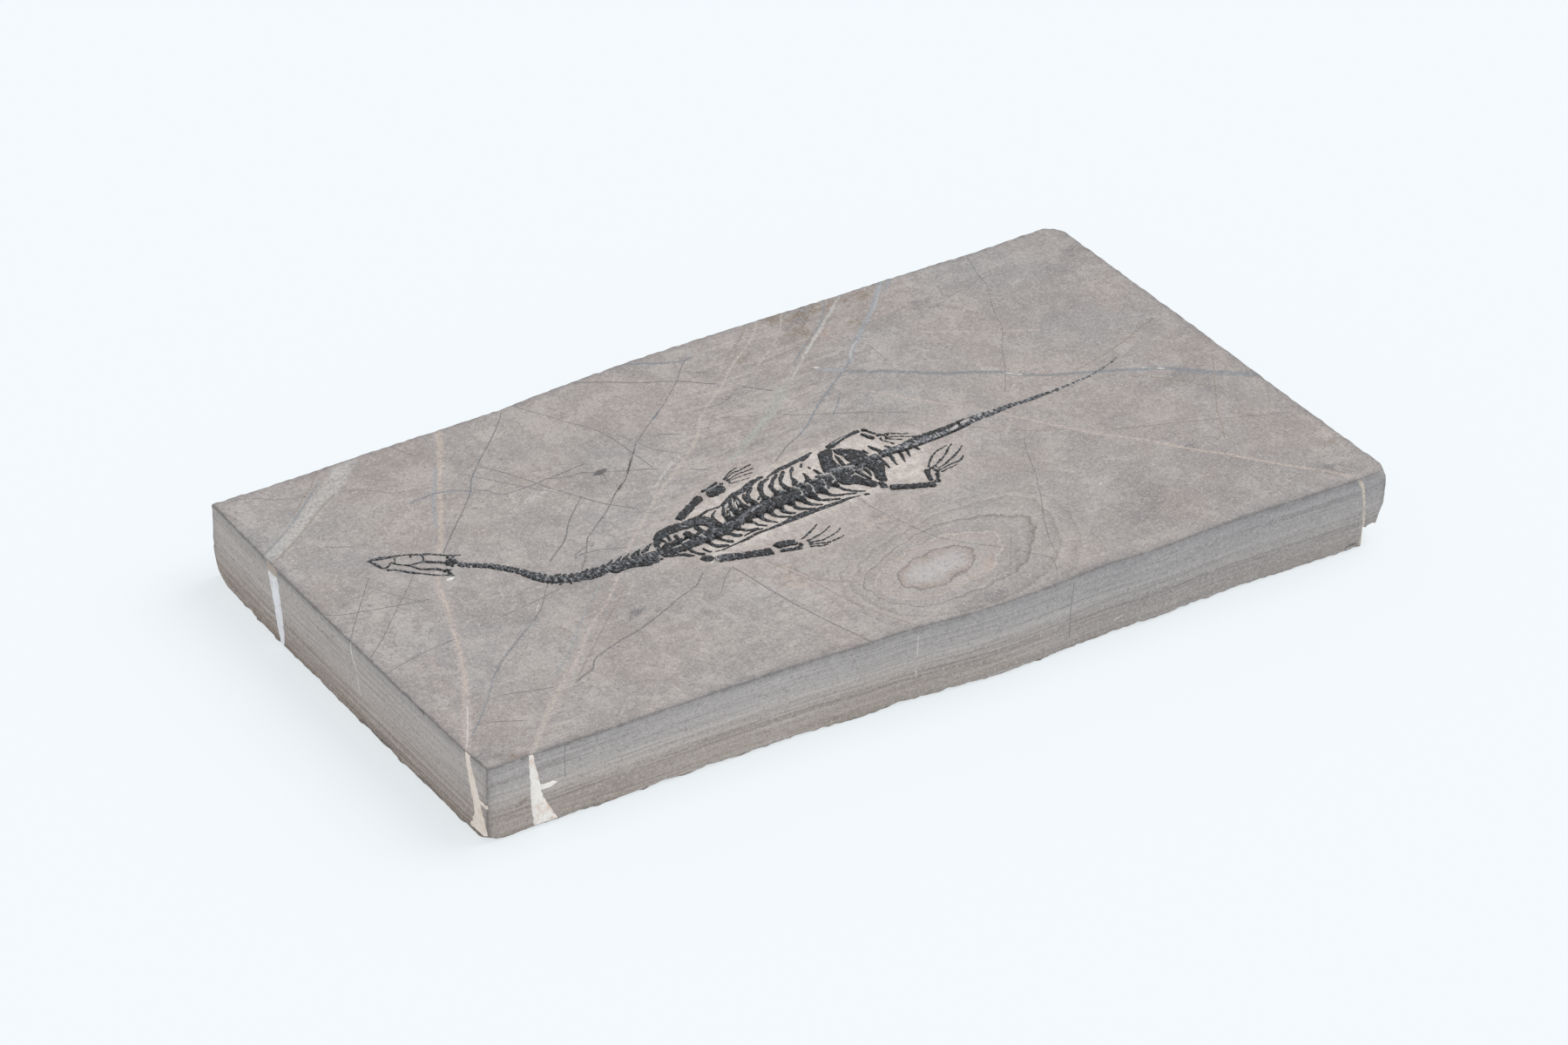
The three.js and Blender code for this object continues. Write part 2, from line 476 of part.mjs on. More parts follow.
// Hands and feet: the row of wrist or ankle bones first, then the digits that grow out of it.
const DIGITS = {
	hand_far: [
		[[-18, 11.4, 0.8], [-17.5, 10.7, 0.9], [-17.2, 9.6, 0.8], [-17.3, 8.4, 0.9]],
		[[-17.7, 11.4, 0.7], [-16.3, 12.2, 0.6], [-14.5, 13.3, 0.6], [-12.5, 14.1, 0.5],
			[-10.9, 14.7, 0.3]],
		[[-17.5, 10.9, 0.6], [-15.5, 11.7, 0.6], [-13.5, 12.4, 0.8], [-12, 12.9, 0.6],
			[-10, 13.5, 0.7], [-8.5, 13.9, 0.5], [-7, 14, 0.3]],
		[[-17.3, 10, 0.6], [-15.3, 10.7, 0.6], [-13.2, 11.4, 0.6], [-11.8, 11.5, 0.7],
			[-10, 11.8, 0.4], [-7.4, 12, 0.6]],
		[[-17.2, 9.4, 0.6], [-15, 9.7, 0.5], [-13.7, 9.9, 0.6], [-12.3, 10.1, 0.8],
			[-10.5, 10.2, 0.5], [-8.8, 10.5, 0.3]],
		[[-17.3, 8.4, 0.8], [-16.2, 8.3, 0.7], [-14.5, 8.3, 0.6], [-12.5, 8.3, 0.4], [-10.5, 8.3, 0.3]],
	],
	hand_near: [
		[[-16, -25.2, 0.7], [-15.3, -26.4, 0.9], [-15.2, -27.8, 0.9], [-15.6, -29, 0.9],
			[-16.1, -29.9, 0.7]],
		[[-16, -25.2, 0.7], [-15.2, -25.3, 0.6], [-14, -24.8, 0.5], [-13.2, -24.1, 0.7],
			[-12, -23.5, 0.8], [-11, -22.9, 0.5], [-10.2, -22.6, 0.6], [-8.8, -21.6, 0.5],
			[-8, -21, 0.3]],
		[[-15.2, -26.7, 0.9], [-13.5, -26.8, 0.5], [-12.2, -26.4, 0.8], [-10.5, -26.1, 0.5],
			[-9.2, -25.6, 0.5], [-8.5, -25.4, 0.7], [-7.2, -24.7, 0.5], [-6, -24.2, 0.5],
			[-5.2, -23.8, 0.3]],
		[[-15.3, -27.7, 0.8], [-14.2, -28.1, 0.6], [-12.8, -28.4, 0.6], [-11.2, -28.9, 0.7],
			[-9.8, -28.5, 0.5], [-8.2, -28.2, 0.5], [-6.8, -27.8, 0.5], [-5.5, -27.4, 0.6],
			[-4.3, -26.8, 0.5], [-3.5, -25.5, 0.3]],
		[[-15.7, -29, 0.7], [-14.5, -29, 0.6], [-13.5, -29.4, 0.5], [-12.3, -29.7, 0.6],
			[-11, -30, 0.7], [-9.6, -30.4, 0.6], [-8.5, -30.4, 0.6], [-7.2, -30.3, 0.5],
			[-5.8, -29.9, 0.5], [-4.5, -29.5, 0.3]],
		[[-16, -29.8, 0.7], [-15, -30.1, 0.6], [-14.2, -30.5, 0.6], [-13.3, -30.9, 0.6],
			[-12.4, -31.1, 0.7], [-10.7, -31.2, 0.6]],
	],
	foot_far: [
		[[31.5, 8.3, 0.9], [32.4, 8.1, 1.7], [33.3, 7.9, 0.9], [34, 7.6, 0.6], [33.8, 6.4, 0.7],
			[33.1, 5.5, 1.1]],
		[[33.9, 7.5, 0.6], [34.9, 7.6, 0.5], [36, 7.2, 0.5], [36.9, 6.5, 0.6], [38, 5.5, 0.6],
			[39.8, 4.8, 0.4]],
		[[33.6, 6.1, 0.6], [34.8, 5.8, 0.6], [36, 5, 0.5], [37.2, 4.6, 0.8], [37.8, 4.2, 0.9],
			[38.6, 3.5, 0.5], [40, 2.7, 0.5]],
		[[33.2, 5.3, 0.7], [34.3, 4.7, 0.5], [35.3, 3.9, 0.5], [36.2, 3.2, 0.8], [36.8, 3, 0.5]],
		[[32.2, 7.8, 0.6], [31.7, 6.7, 0.8], [31.7, 5.3, 1], [32.3, 4.4, 0.5], [32.7, 3.3, 0.5],
			[33.1, 2.4, 0.9]],
	],
	foot_near: [
		[[34.4, -13.8, 0.9], [35, -14.1, 1], [35.1, -15, 1.1], [35.3, -16, 1.1], [36.1, -16.5, 0.7]],
		[[34.6, -13.7, 0.8], [34.8, -12.7, 0.6], [35.8, -11.6, 0.5], [37, -10.6, 0.7],
			[38.5, -9, 0.8], [39.5, -8.4, 0.5], [41.6, -7.2, 0.6], [43.2, -6.9, 0.5],
			[45.4, -6.1, 0.3]],
		[[34.9, -13.7, 0.6], [36, -13.4, 0.8], [37.3, -13, 0.5], [38.5, -12.3, 0.5],
			[39.8, -11.6, 0.9], [41.2, -10.8, 0.6], [42.6, -9.8, 0.5], [43.8, -8.9, 0.9],
			[45.6, -7.4, 0.5], [46.8, -6.6, 0.6], [47.4, -5.8, 0.3]],
		[[35.2, -15.1, 0.7], [36.2, -15, 0.7], [37.5, -14.7, 0.5], [39.2, -14.3, 0.5],
			[40.2, -13.9, 0.8], [41.2, -13.2, 0.7], [42.5, -12.6, 0.5], [44, -11.9, 0.7],
			[46.3, -10.7, 0.6], [47.6, -9.8, 0.6], [49.3, -8.4, 0.3]],
		[[35.4, -16.2, 0.7], [37.6, -15.9, 0.6], [39.5, -15.2, 0.6], [41, -14.9, 0.6],
			[43.8, -14.7, 0.6], [45.2, -14.1, 0.6], [46.6, -12.7, 0.3]],
		[[35.8, -16.4, 0.6], [36.8, -17, 0.6], [38.8, -16.5, 0.6], [40.5, -16.4, 0.5], [42.5, -15.8, 0.3]],
	],
};

// ---- Ribs -------------------------------------------------------------------------------------

// From the backbone outwards, the first rib of each list nearest to the shoulder.
const RIBS_FAR = [
	[[-32, -8.4, 1.5], [-31.5, -5.6, 1.5], [-31, -4, 1], [-30.6, -3, 0.8], [-29.9, -2.2, 0.6],
		[-28.3, -1, 0.3]],
	[[-27.9, -7.2, 1], [-27.8, -5.5, 1.1], [-27.5, -4, 1], [-27, -3, 0.9], [-26.3, -1.9, 0.7],
		[-25.6, -1, 0.7], [-24.8, -0.3, 0.7]],
	[[-24.3, -6, 1.1], [-24.2, -3.6, 1.2], [-23.8, -2, 1], [-23.3, -0.8, 0.9], [-22.6, 0.3, 0.7],
		[-22.1, 0.9, 0.5]],
	[[-21, -5, 1.2], [-20.6, -3.2, 1.3], [-20.4, -1.6, 1.1], [-20.2, -0.2, 0.9], [-19.9, 1, 0.8],
		[-19.6, 1.8, 0.7]],
	[[-17.8, -4.2, 1], [-17.5, -2.5, 1], [-17.2, -1.2, 1.1], [-16.9, 0.2, 1], [-16.3, 1.2, 1],
		[-15.4, 2.1, 1.1], [-14.4, 3, 1], [-13.4, 3.8, 0.9]],
	[[-13.6, -4, 0.8], [-13.4, -2, 0.9], [-12.9, -0.8, 1.2], [-12.4, 0.4, 1.3], [-11.9, 1.4, 1.1],
		[-11.1, 2.4, 1], [-10.3, 3.4, 1], [-9.3, 4.2, 0.9], [-8.2, 4.8, 0.8], [-6.9, 5.2, 0.5]],
	[[-9.4, -3.2, 1.2], [-9.3, -2, 1.1], [-9, -0.8, 1.3], [-8.9, 0.5, 1.3], [-8.5, 1.5, 1.2],
		[-7.6, 2.3, 1], [-6.9, 3.2, 0.9], [-5.9, 4.2, 0.9], [-4.8, 5, 0.9], [-3.6, 5.9, 0.7]],
	[[-5.4, -3, 1.2], [-5.4, -1.5, 1.3], [-5.3, -0.3, 1.3], [-5.4, 0.8, 1], [-5, 1.7, 0.9],
		[-4.6, 2.6, 0.9], [-3.9, 3.5, 1], [-3, 4.5, 1], [-2.1, 5.5, 1], [-1.2, 6.2, 0.8]],
	[[-2.2, -3.4, 1.2], [-2.2, -1.4, 1.5], [-1.6, -0.3, 1.5], [-1.3, 0.8, 1.2], [-1.2, 1.8, 0.7],
		[-0.8, 2.8, 0.5], [-0.3, 3.8, 0.5], [0.3, 4.8, 0.6], [1.2, 5.7, 0.9], [2.2, 6.8, 0.5]],
];
const RIBS_NEAR = [
	[[-44.9, -13.6, 0.9], [-44.7, -15.4, 0.9], [-44.3, -16.5, 0.9], [-43.5, -17.5, 0.9],
		[-42.5, -18.3, 0.8]],
	[[-38.5, -13.2, 0.8], [-38.3, -15, 1], [-37.8, -16.2, 1.2], [-36.8, -16.9, 1.3],
		[-35.7, -17.4, 1], [-34.5, -17.8, 0.8]],
	[[-35.3, -13.2, 0.7], [-34.6, -14.5, 0.7], [-34, -15.4, 0.8], [-33.3, -16.3, 1], [-32.5, -17, 0.8]],
	[[-31.4, -12.4, 0.8], [-30.9, -13.6, 1], [-30.4, -14.6, 1.3], [-29.4, -15.1, 1], [-28.6, -15.2, 0.6]],
	[[-27.9, -11.2, 0.8], [-27.4, -12.7, 0.8], [-26.8, -13.8, 0.8], [-25.8, -14.3, 0.7],
		[-24.5, -14.5, 0.5], [-23, -14.7, 0.5]],
	[[-23.9, -10.2, 1.5], [-22.9, -11.2, 1], [-22.4, -12.3, 0.8], [-22.1, -13.3, 0.7],
		[-21.2, -14.2, 0.7], [-20.2, -14.9, 0.6]],
	[[-19.5, -9.8, 1], [-19.4, -11.3, 1], [-19, -12.7, 0.8], [-18.3, -13.7, 0.7],
		[-17.4, -14.5, 0.6], [-16.9, -15.2, 0.5]],
	[[-15.7, -9.4, 1.1], [-15.9, -11.3, 1], [-15.3, -12.5, 0.8], [-14.3, -13.4, 0.8],
		[-13, -14.1, 0.7], [-12, -14.6, 0.5]],
	[[-12.3, -8.8, 1], [-12.5, -11, 1.1], [-12, -12.2, 1], [-11.2, -13, 0.8], [-10, -13.6, 0.6]],
	[[-8.4, -8.6, 1.2], [-8.4, -11, 1.1], [-8, -12.2, 1], [-7, -13, 0.9], [-6, -13.8, 0.8],
		[-5, -14.2, 0.7], [-4, -14.3, 0.5]],
	[[-5.3, -8.6, 1.3], [-4.6, -10.8, 1.4], [-4, -12, 1.1], [-3, -12.9, 0.8], [-2, -13.5, 0.6],
		[-1.2, -13.9, 0.4]],
	[[-1.8, -9, 1.2], [-1, -10.8, 1.2], [-0.2, -11.8, 0.9], [1, -12.5, 0.9], [2.4, -13, 0.7],
		[3.6, -13.5, 0.6], [4.6, -13.9, 0.6]],
	[[2.2, -8.2, 1.2], [2.8, -9.8, 1.1], [3.5, -11, 0.9], [4.5, -11.8, 0.8], [5.8, -12.4, 0.6],
		[7.3, -12.8, 0.6], [8.8, -13.4, 0.7], [10, -14, 0.5]],
	[[7, -7.6, 1], [7.6, -9.2, 0.8], [7.9, -10.3, 0.8], [8.8, -11.4, 0.8], [9.6, -12.3, 0.7],
		[10.5, -13.1, 0.7], [11.5, -13.8, 0.6], [12.8, -14.2, 0.4]],
];

// Rods of the belly basket, which lie along both flanks and cross the rib ends.
const BELLY_RODS = {
	belly_rods_far_front: [
		[-24.6, 0, 0.9], [-23.5, 0.7, 1], [-22.5, 1.4, 1.1], [-21.5, 2, 1.3], [-20.5, 2.6, 1.3],
			[-19.5, 3, 1.4],
		[-18.2, 3.2, 1.4], [-16.8, 3.3, 1.4], [-15.4, 4, 1.3], [-14, 4.8, 1.4], [-12.5, 5.5, 1.6],
			[-11, 6.1, 1.1],
		[-9.5, 6.6, 1], [-8.3, 6.8, 0.9], [-7.6, 6.8, 0.5],
	],
	belly_rods_far_rear: [
		[-7, 5.8, 0.4], [-5, 6.6, 0.7], [-4, 7, 0.8], [-3, 7.2, 1.1], [-1, 7.8, 1.1], [1, 7.9, 1.2],
			[3, 8.4, 1.1],
		[5, 8.7, 1.1], [7, 9.1, 1.1], [9, 9.7, 0.9], [10, 10.1, 0.7], [11, 10.3, 0.4],
	],
	belly_rods_near: [
		[-31.4, -17.9, 0.6], [-30, -17.8, 0.7], [-28.7, -17.6, 0.8], [-27.3, -17.1, 0.7],
			[-26.2, -16.5, 0.7],
		[-25.2, -16, 0.7], [-24, -15.8, 0.6], [-22.8, -16.1, 0.6],
		[-21.8, -16.4, 0.6], [-20.5, -16.6, 0.7], [-19.2, -16.5, 0.9], [-17, -16.7, 0.9], [-15, -16.2, 1.2],
		[-13, -15.9, 1.3], [-9, -15.6, 1.4], [-7, -15.5, 1.4], [-5, -15.4, 1.2], [-1, -15.2, 1.2],
			[3, -15.2, 1.1],
		[5, -15, 1], [7, -15, 0.7], [8.5, -15.2, 0.6], [10, -15.5, 0.4],
	],
};

// Builds one piece for each named entry of a list of shapes.
const eachOf = (shapes, make) => Object.entries(shapes).map(([name, shape]) => [name, make(shape)]);

function ribs() {
	const neighbours = [
		roomAlong(BACK_PATH),
		roomAlong(NECK_PATH.slice(-3)),
		room(PLATES.coracoid),
		room(PLATES.pubis_near),
		...Object.values(BELLY_RODS).map((path) => roomAlong(path)),
	];
	const side = (paths, name) => paths.map((path, i) => [
		`rib_${name}_${String(i + 1).padStart(2, '0')}`,
		cut(slender(path, HEIGHT.rib), neighbours),
	]);
	return [...side(RIBS_FAR, 'far'), ...side(RIBS_NEAR, 'near')];
}

function girdles() {
	const neighbours = [BACK_PATH, SACRUM_PATH, ...SACRAL_RIBS].map((path) => roomAlong(path));
	return eachOf(PLATES, (outline) => cut(plate(outline, HEIGHT.girdle), neighbours));
}

function handsAndFeet() {
	const neighbours = [
		room(PLATES.ischium_near),
		roomAlong(TAIL_PATH),
		...Object.values(LONG_BONES).map((path) => roomAlong(path)),
	];
	return eachOf(DIGITS, ([wrist, ...digits]) => cut(
		joined(ridge(wrist, HEIGHT.wrist), ...digits.map((path) => slender(path, HEIGHT.digit))),
		neighbours,
	));
}

const longBones = () => eachOf(LONG_BONES, (path) => ridge(path, HEIGHT.limb));

const bellyRods = () => eachOf(BELLY_RODS, (path) => cut(
	slender(path, HEIGHT.belly),
	[room(PLATES.coracoid)],
));

// ---- Finishes and assembly --------------------------------------------------------------------

const LIMESTONE = new THREE.MeshStandardMaterial({ color: 0xa49c98, roughness: 0.9, metalness: 0 });
const BONE = new THREE.MeshStandardMaterial({ color: 0x3b3c3d, roughness: 0.6, metalness: 0 });
const PLASTER = new THREE.MeshStandardMaterial({ color: 0xdedbd2, roughness: 0.95, metalness: 0 });

const part = new THREE.Group();

function add(name, solid, material) {
	const mesh = new THREE.Mesh(geometryOf(solid), material);
	mesh.name = name;
	part.add(mesh);
}

add('slab', slab(), LIMESTONE);
plasterFills().forEach(([name, solid]) => add(name, solid, PLASTER));
add('skull', skull(), BONE);
add('lower_jaw', ridge(LOWER_JAW, HEIGHT.jaw), BONE);
add('neck_vertebrae', neckVertebrae(), BONE);
add('back_vertebrae', backVertebrae(), BONE);
add('sacrum', sacrum(), BONE);
add('tail_vertebrae', tailVertebrae(), BONE);
[...girdles(), ...longBones(), ...handsAndFeet(), ...ribs(), ...bellyRods()]
	.forEach(([name, solid]) => add(name, solid, BONE));

export default part;
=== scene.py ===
"""A small long-necked marine reptile, petrified and bedded flat in a sawn slab of limestone.

The slab lies on z = 0 with its head end towards -X. Of each pair of limbs, "far" is the one on the +Y
side of the backbone and "near" the one on the -Y side. Places and sizes are in millimetres, and a mesh
is turned to metres as it is made.
"""

import math

import bpy
import numpy as np
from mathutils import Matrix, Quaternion, Vector


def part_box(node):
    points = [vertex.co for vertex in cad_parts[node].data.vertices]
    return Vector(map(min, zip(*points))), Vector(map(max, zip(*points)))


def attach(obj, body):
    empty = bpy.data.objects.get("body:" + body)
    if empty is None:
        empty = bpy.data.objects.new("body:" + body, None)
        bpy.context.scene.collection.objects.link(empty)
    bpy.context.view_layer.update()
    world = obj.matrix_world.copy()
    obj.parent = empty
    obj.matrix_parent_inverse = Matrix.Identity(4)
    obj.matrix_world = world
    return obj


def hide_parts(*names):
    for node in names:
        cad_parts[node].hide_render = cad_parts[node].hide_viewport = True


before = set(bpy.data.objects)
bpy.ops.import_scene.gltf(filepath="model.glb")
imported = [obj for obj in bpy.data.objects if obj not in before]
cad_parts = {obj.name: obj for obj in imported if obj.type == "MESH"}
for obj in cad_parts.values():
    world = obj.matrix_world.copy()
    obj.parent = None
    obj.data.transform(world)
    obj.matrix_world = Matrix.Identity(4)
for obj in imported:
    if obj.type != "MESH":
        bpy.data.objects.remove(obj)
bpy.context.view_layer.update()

# ---- The slab --------------------------------------------------------------------------------
# A piece of fine grey limestone. Its upper face is a bedding plane, its four sides were sawn across
# the beds, and its underside is the rough face along which the rock split.

MM = 0.001
low, high = (np.array(corner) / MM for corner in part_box("slab"))
TOP = high[2]


def smooth(points, parts, closed=False):
    """Points of a curve through the given ones. Each span is a cubic whose slope at either end is half
    the way between that point's two neighbours, and it is cut into the given number of parts."""
    points = np.asarray(points, float)
    before, after = (points[-1:], points[:2]) if closed else (points[:1], points[-1:])
    row = np.concatenate((before, points, after))
    a, b, c, d = (row[i : len(row) - 3 + i, None] for i in range(4))
    t = np.linspace(0, 1, parts, endpoint=False)[None, :, None]
    bend = a - 2.5 * b + 2 * c - d / 2 + t * (1.5 * (b - c) + (d - a) / 2)
    curve = (b + t * ((c - a) / 2 + t * bend)).reshape(-1, points.shape[1])
    return curve if closed else np.concatenate((curve, points[-1:]))


def rough(places, size, seed, waves=10):
    """Smooth random heights, mostly from -1 to 1: a sum of sine waves that run in random directions,
    with lengths from about half to twice the size."""
    draw = np.random.default_rng(seed)
    ways = draw.normal(size=(waves, places.shape[-1]))
    ways /= np.linalg.norm(ways, axis=1, keepdims=True)
    ways *= 2 * np.pi / size * draw.uniform(0.6, 1.7, (waves, 1))
    turns = draw.uniform(0, 2 * np.pi, waves)
    return np.sin(places @ ways.T + turns).sum(-1) / math.sqrt(waves)


# The four sides seen from above: the near and the far one as (x, y), the left and the right one as
# (y, x). All four bow and wander by a millimetre or two.
NEAR_EDGE = [
    (-146, -73.9), (-120, -74.3), (-100, -74.6), (-80, -74.9), (-60, -75.3), (-50, -75.5), (-40, -76.2),
    (-30, -76.9), (-20, -77), (-12, -77.6), (0, -79), (10, -79.8), (20, -80), (30, -79.8), (40, -79.3),
    (50, -79.1), (65, -79.9), (80, -79.5), (95, -79.2), (110, -79.8), (130, -80.6), (140, -80.6),
    (146, -80),
]
FAR_EDGE = [
    (-146, 73.7), (-120, 73.9), (-90, 74.8), (-56, 75.3), (-42, 76.6), (-22, 78.2), (-6, 79), (20, 79.5),
    (60, 79.3), (90, 79.6), (115, 79.4), (133, 80.2), (146, 80.6),
]
LEFT_EDGE = [
    (-81, -144.2), (-74, -144.3), (-66, -144.8), (0, -145.4), (45, -145.5), (74, -145), (81, -145),
]
RIGHT_EDGE = [(-81, 144.8), (-60, 144.8), (-40, 144.7), (0, 145.2), (50, 145.5), (81, 145.4)]
TOP_EDGE = 0.4  # radius of the upper edges
FOOT_EDGE = 0.55  # radius of the lower edges, which are chipped all along
FOOT_ZONE = 5  # height in which the edges change from the one radius to the other
CORNER_RADIUS = 6.5  # the far right corner, seen from above

# Corners that broke off: the corner, the length of the break along each edge, pointing into the
# stone, and how full the broken face is: 1 is flat, and less bulges outwards.
BROKEN_CORNERS = [
    ((low[0], high[1], 0), (5.5, -26, 15), 0.48),
    ((low[0], low[1], 0), (4, 5, 3), 0.9),
    ((high[0], low[1], TOP), (-4.5, 4, -5), 0.75),
    ((high[0], low[1], 0), (-3, 5, 9), 0.8),
]
DEEPEST_BREAK = 20.0
HALVINGS = 20
# The right end of the near edge split away underneath, from this x on and below a slope in y.
SPLIT_X = 137.7
SPLIT_Y = -61.7
SPLIT_SLOPE = 0.332


def on_slab(places):
    """Carries points of a plain box to the real slab and returns them with the way outwards there.
    First the box's edges are rounded, then its corners are rounded or broken off, then its sides are
    moved to the sawn edges, and last every face gets its own relief along the way outwards."""
    foot = np.clip(1 - places[:, 2:] / FOOT_ZONE, 0, 1) ** 2
    radius = TOP_EDGE * (1 + 0.5 * rough(places, 4, 1)[:, None])
    radius = np.maximum(radius + foot * FOOT_EDGE * (1 + 0.6 * rough(places, 9, 2)[:, None]), 0.12)
    core = np.clip(places, low + radius, high - radius)
    out = places - core
    out /= np.linalg.norm(out, axis=1, keepdims=True)
    places = core + out * radius

    centre = high[:2] - CORNER_RADIUS
    over = np.maximum(places[:, :2] - centre, 0)
    round_off = over.max(1) / np.maximum(np.hypot(*over.T), 1e-9)
    both = (over > 0).all(1)
    over[both] *= round_off[both, None]
    places[:, :2] = np.minimum(places[:, :2], centre) + over

    for corner, legs, fullness in BROKEN_CORNERS:
        reach = np.abs(legs)
        into = np.array(legs) / np.linalg.norm(legs)
        start = np.maximum((places - corner) * np.sign(legs), 1e-6)
        # The way from each place to the broken face is found by halving a range, over and over.
        shallow, deep = np.zeros(len(places)), np.full(len(places), DEEPEST_BREAK)
        for _ in range(HALVINGS):
            middle = (shallow + deep) / 2
            gone = (((start + middle[:, None] * np.abs(into)) / reach) ** fullness).sum(1) < 1
            shallow, deep = np.where(gone, middle, shallow), np.where(gone, deep, middle)
        places = places + deep[:, None] * into
        out[deep > 0.01] = -into

    x, y, z = places.T
    split = np.clip((SPLIT_Y - y) * SPLIT_SLOPE * (1 + 0.15 * rough(places, 6, 3)), 0, 8)
    z = z + np.where(x > SPLIT_X, split, 0) * (1 - z / TOP)
    u, v = (x - low[0]) / (high[0] - low[0]), (y - low[1]) / (high[1] - low[1])
    left, right = (np.interp(y, *smooth(edge, 4).T) for edge in (LEFT_EDGE, RIGHT_EDGE))
    near, far = (np.interp(x, *smooth(edge, 4).T) for edge in (NEAR_EDGE, FAR_EDGE))
    x = x + (1 - u) * (left - low[0]) + u * (right - high[0])
    y = y + (1 - v) * (near - low[1]) + v * (far - high[1])
    places = np.stack((x, y, z), 1)

    side = np.hypot(out[:, 0], out[:, 1])
    sawn = 0.06 * rough(places * (1, 1, 3), 9, 4) + 0.04 * rough(places, 2.2, 5)
    bedding = 0.05 * rough(places, 12, 6)
    torn = -np.clip(0.3 + 0.25 * rough(places, 14, 7) + 0.25 * rough(places, 4, 8), 0, 1.1)
    relief = side * sawn + np.clip(out[:, 2], 0, 1) * bedding + np.clip(-out[:, 2], 0, 1) * torn
    places = places + out * relief[:, None]
    places[:, 2] = np.maximum(places[:, 2], 0)
    return places, out


# The slab's skin is a lattice on the faces of a box. Its coarse steps are parted in four, and on the
# underside only the coarse points are kept.
COARSE = 3.4
PARTS = 4
EDGE_STEP = 1.6


def stations(*marks):
    """Lattice places along one side: equal coarse steps from mark to mark, each parted in four, with
    the first and the last step parted more finely towards the ends."""
    spans = [
        np.linspace(a, b, max(1, round((b - a) / COARSE)), endpoint=False)
        for a, b in zip(marks, marks[1:])
    ]
    coarse = np.append(np.concatenate(spans), marks[-1])
    shares = np.tile(np.arange(PARTS) / PARTS, (len(coarse) - 1, 1))
    shares[0] = (0, 0.1, 0.3, 0.6)
    shares[-1] = (0, 0.4, 0.7, 0.9)
    fine = coarse[:-1, None] + shares * np.diff(coarse)[:, None]
    return np.append(fine.ravel(), coarse[-1])


def quads(sheet):
    """Four-sided faces between neighbours in a sheet of vertex numbers. They face up where the sheet's
    first index runs along +X and its second along +Y."""
    corners = (sheet[:-1, :-1], sheet[1:, :-1], sheet[1:, 1:], sheet[:-1, 1:])
    return np.stack(corners, -1).reshape(-1, 4)


along_x = stations(
    low[0], low[0] + EDGE_STEP, SPLIT_X - 0.15, SPLIT_X + 0.15, high[0] - EDGE_STEP, high[0]
)
along_y = stations(low[1], low[1] + EDGE_STEP, high[1] - EDGE_STEP, high[1])
along_z = np.concatenate(
    ([0, 0.3, 0.8, 1.5], np.linspace(2.4, TOP - 1.8, 12), TOP - np.array([1, 0.5, 0.16, 0]))
)
shell = np.zeros((len(along_x), len(along_y), len(along_z)), bool)
shell[[0, -1]] = shell[:, [0, -1]] = True
shell[:, :, -1] = shell[::PARTS, ::PARTS, 0] = True
number = np.where(shell, np.cumsum(shell).reshape(shell.shape) - 1, -1)
box_places = np.stack(np.meshgrid(along_x, along_y, along_z, indexing="ij"), -1)[shell]

skin = [
    quads(number[:, :, -1]),
    quads(number[:, 0]),
    quads(number[:, -1])[:, ::-1],
    quads(number[0])[:, ::-1],
    quads(number[-1]),
]
# Each coarse cell of the underside is one face, with every lattice point that there is on its border.
step = np.arange(PARTS)
border_x = np.concatenate((step, np.full(PARTS, PARTS), PARTS - step, np.zeros(PARTS, int)))
border_y = np.roll(border_x, PARTS)
cell_x, cell_y = np.meshgrid(
    np.arange(0, len(along_x) - 1, PARTS), np.arange(0, len(along_y) - 1, PARTS)
)
borders = number[cell_x.reshape(-1, 1) + border_x, cell_y.reshape(-1, 1) + border_y, 0][:, ::-1]
underside = [border[border >= 0].tolist() for border in borders]
slab_places, slab_out = on_slab(box_places)

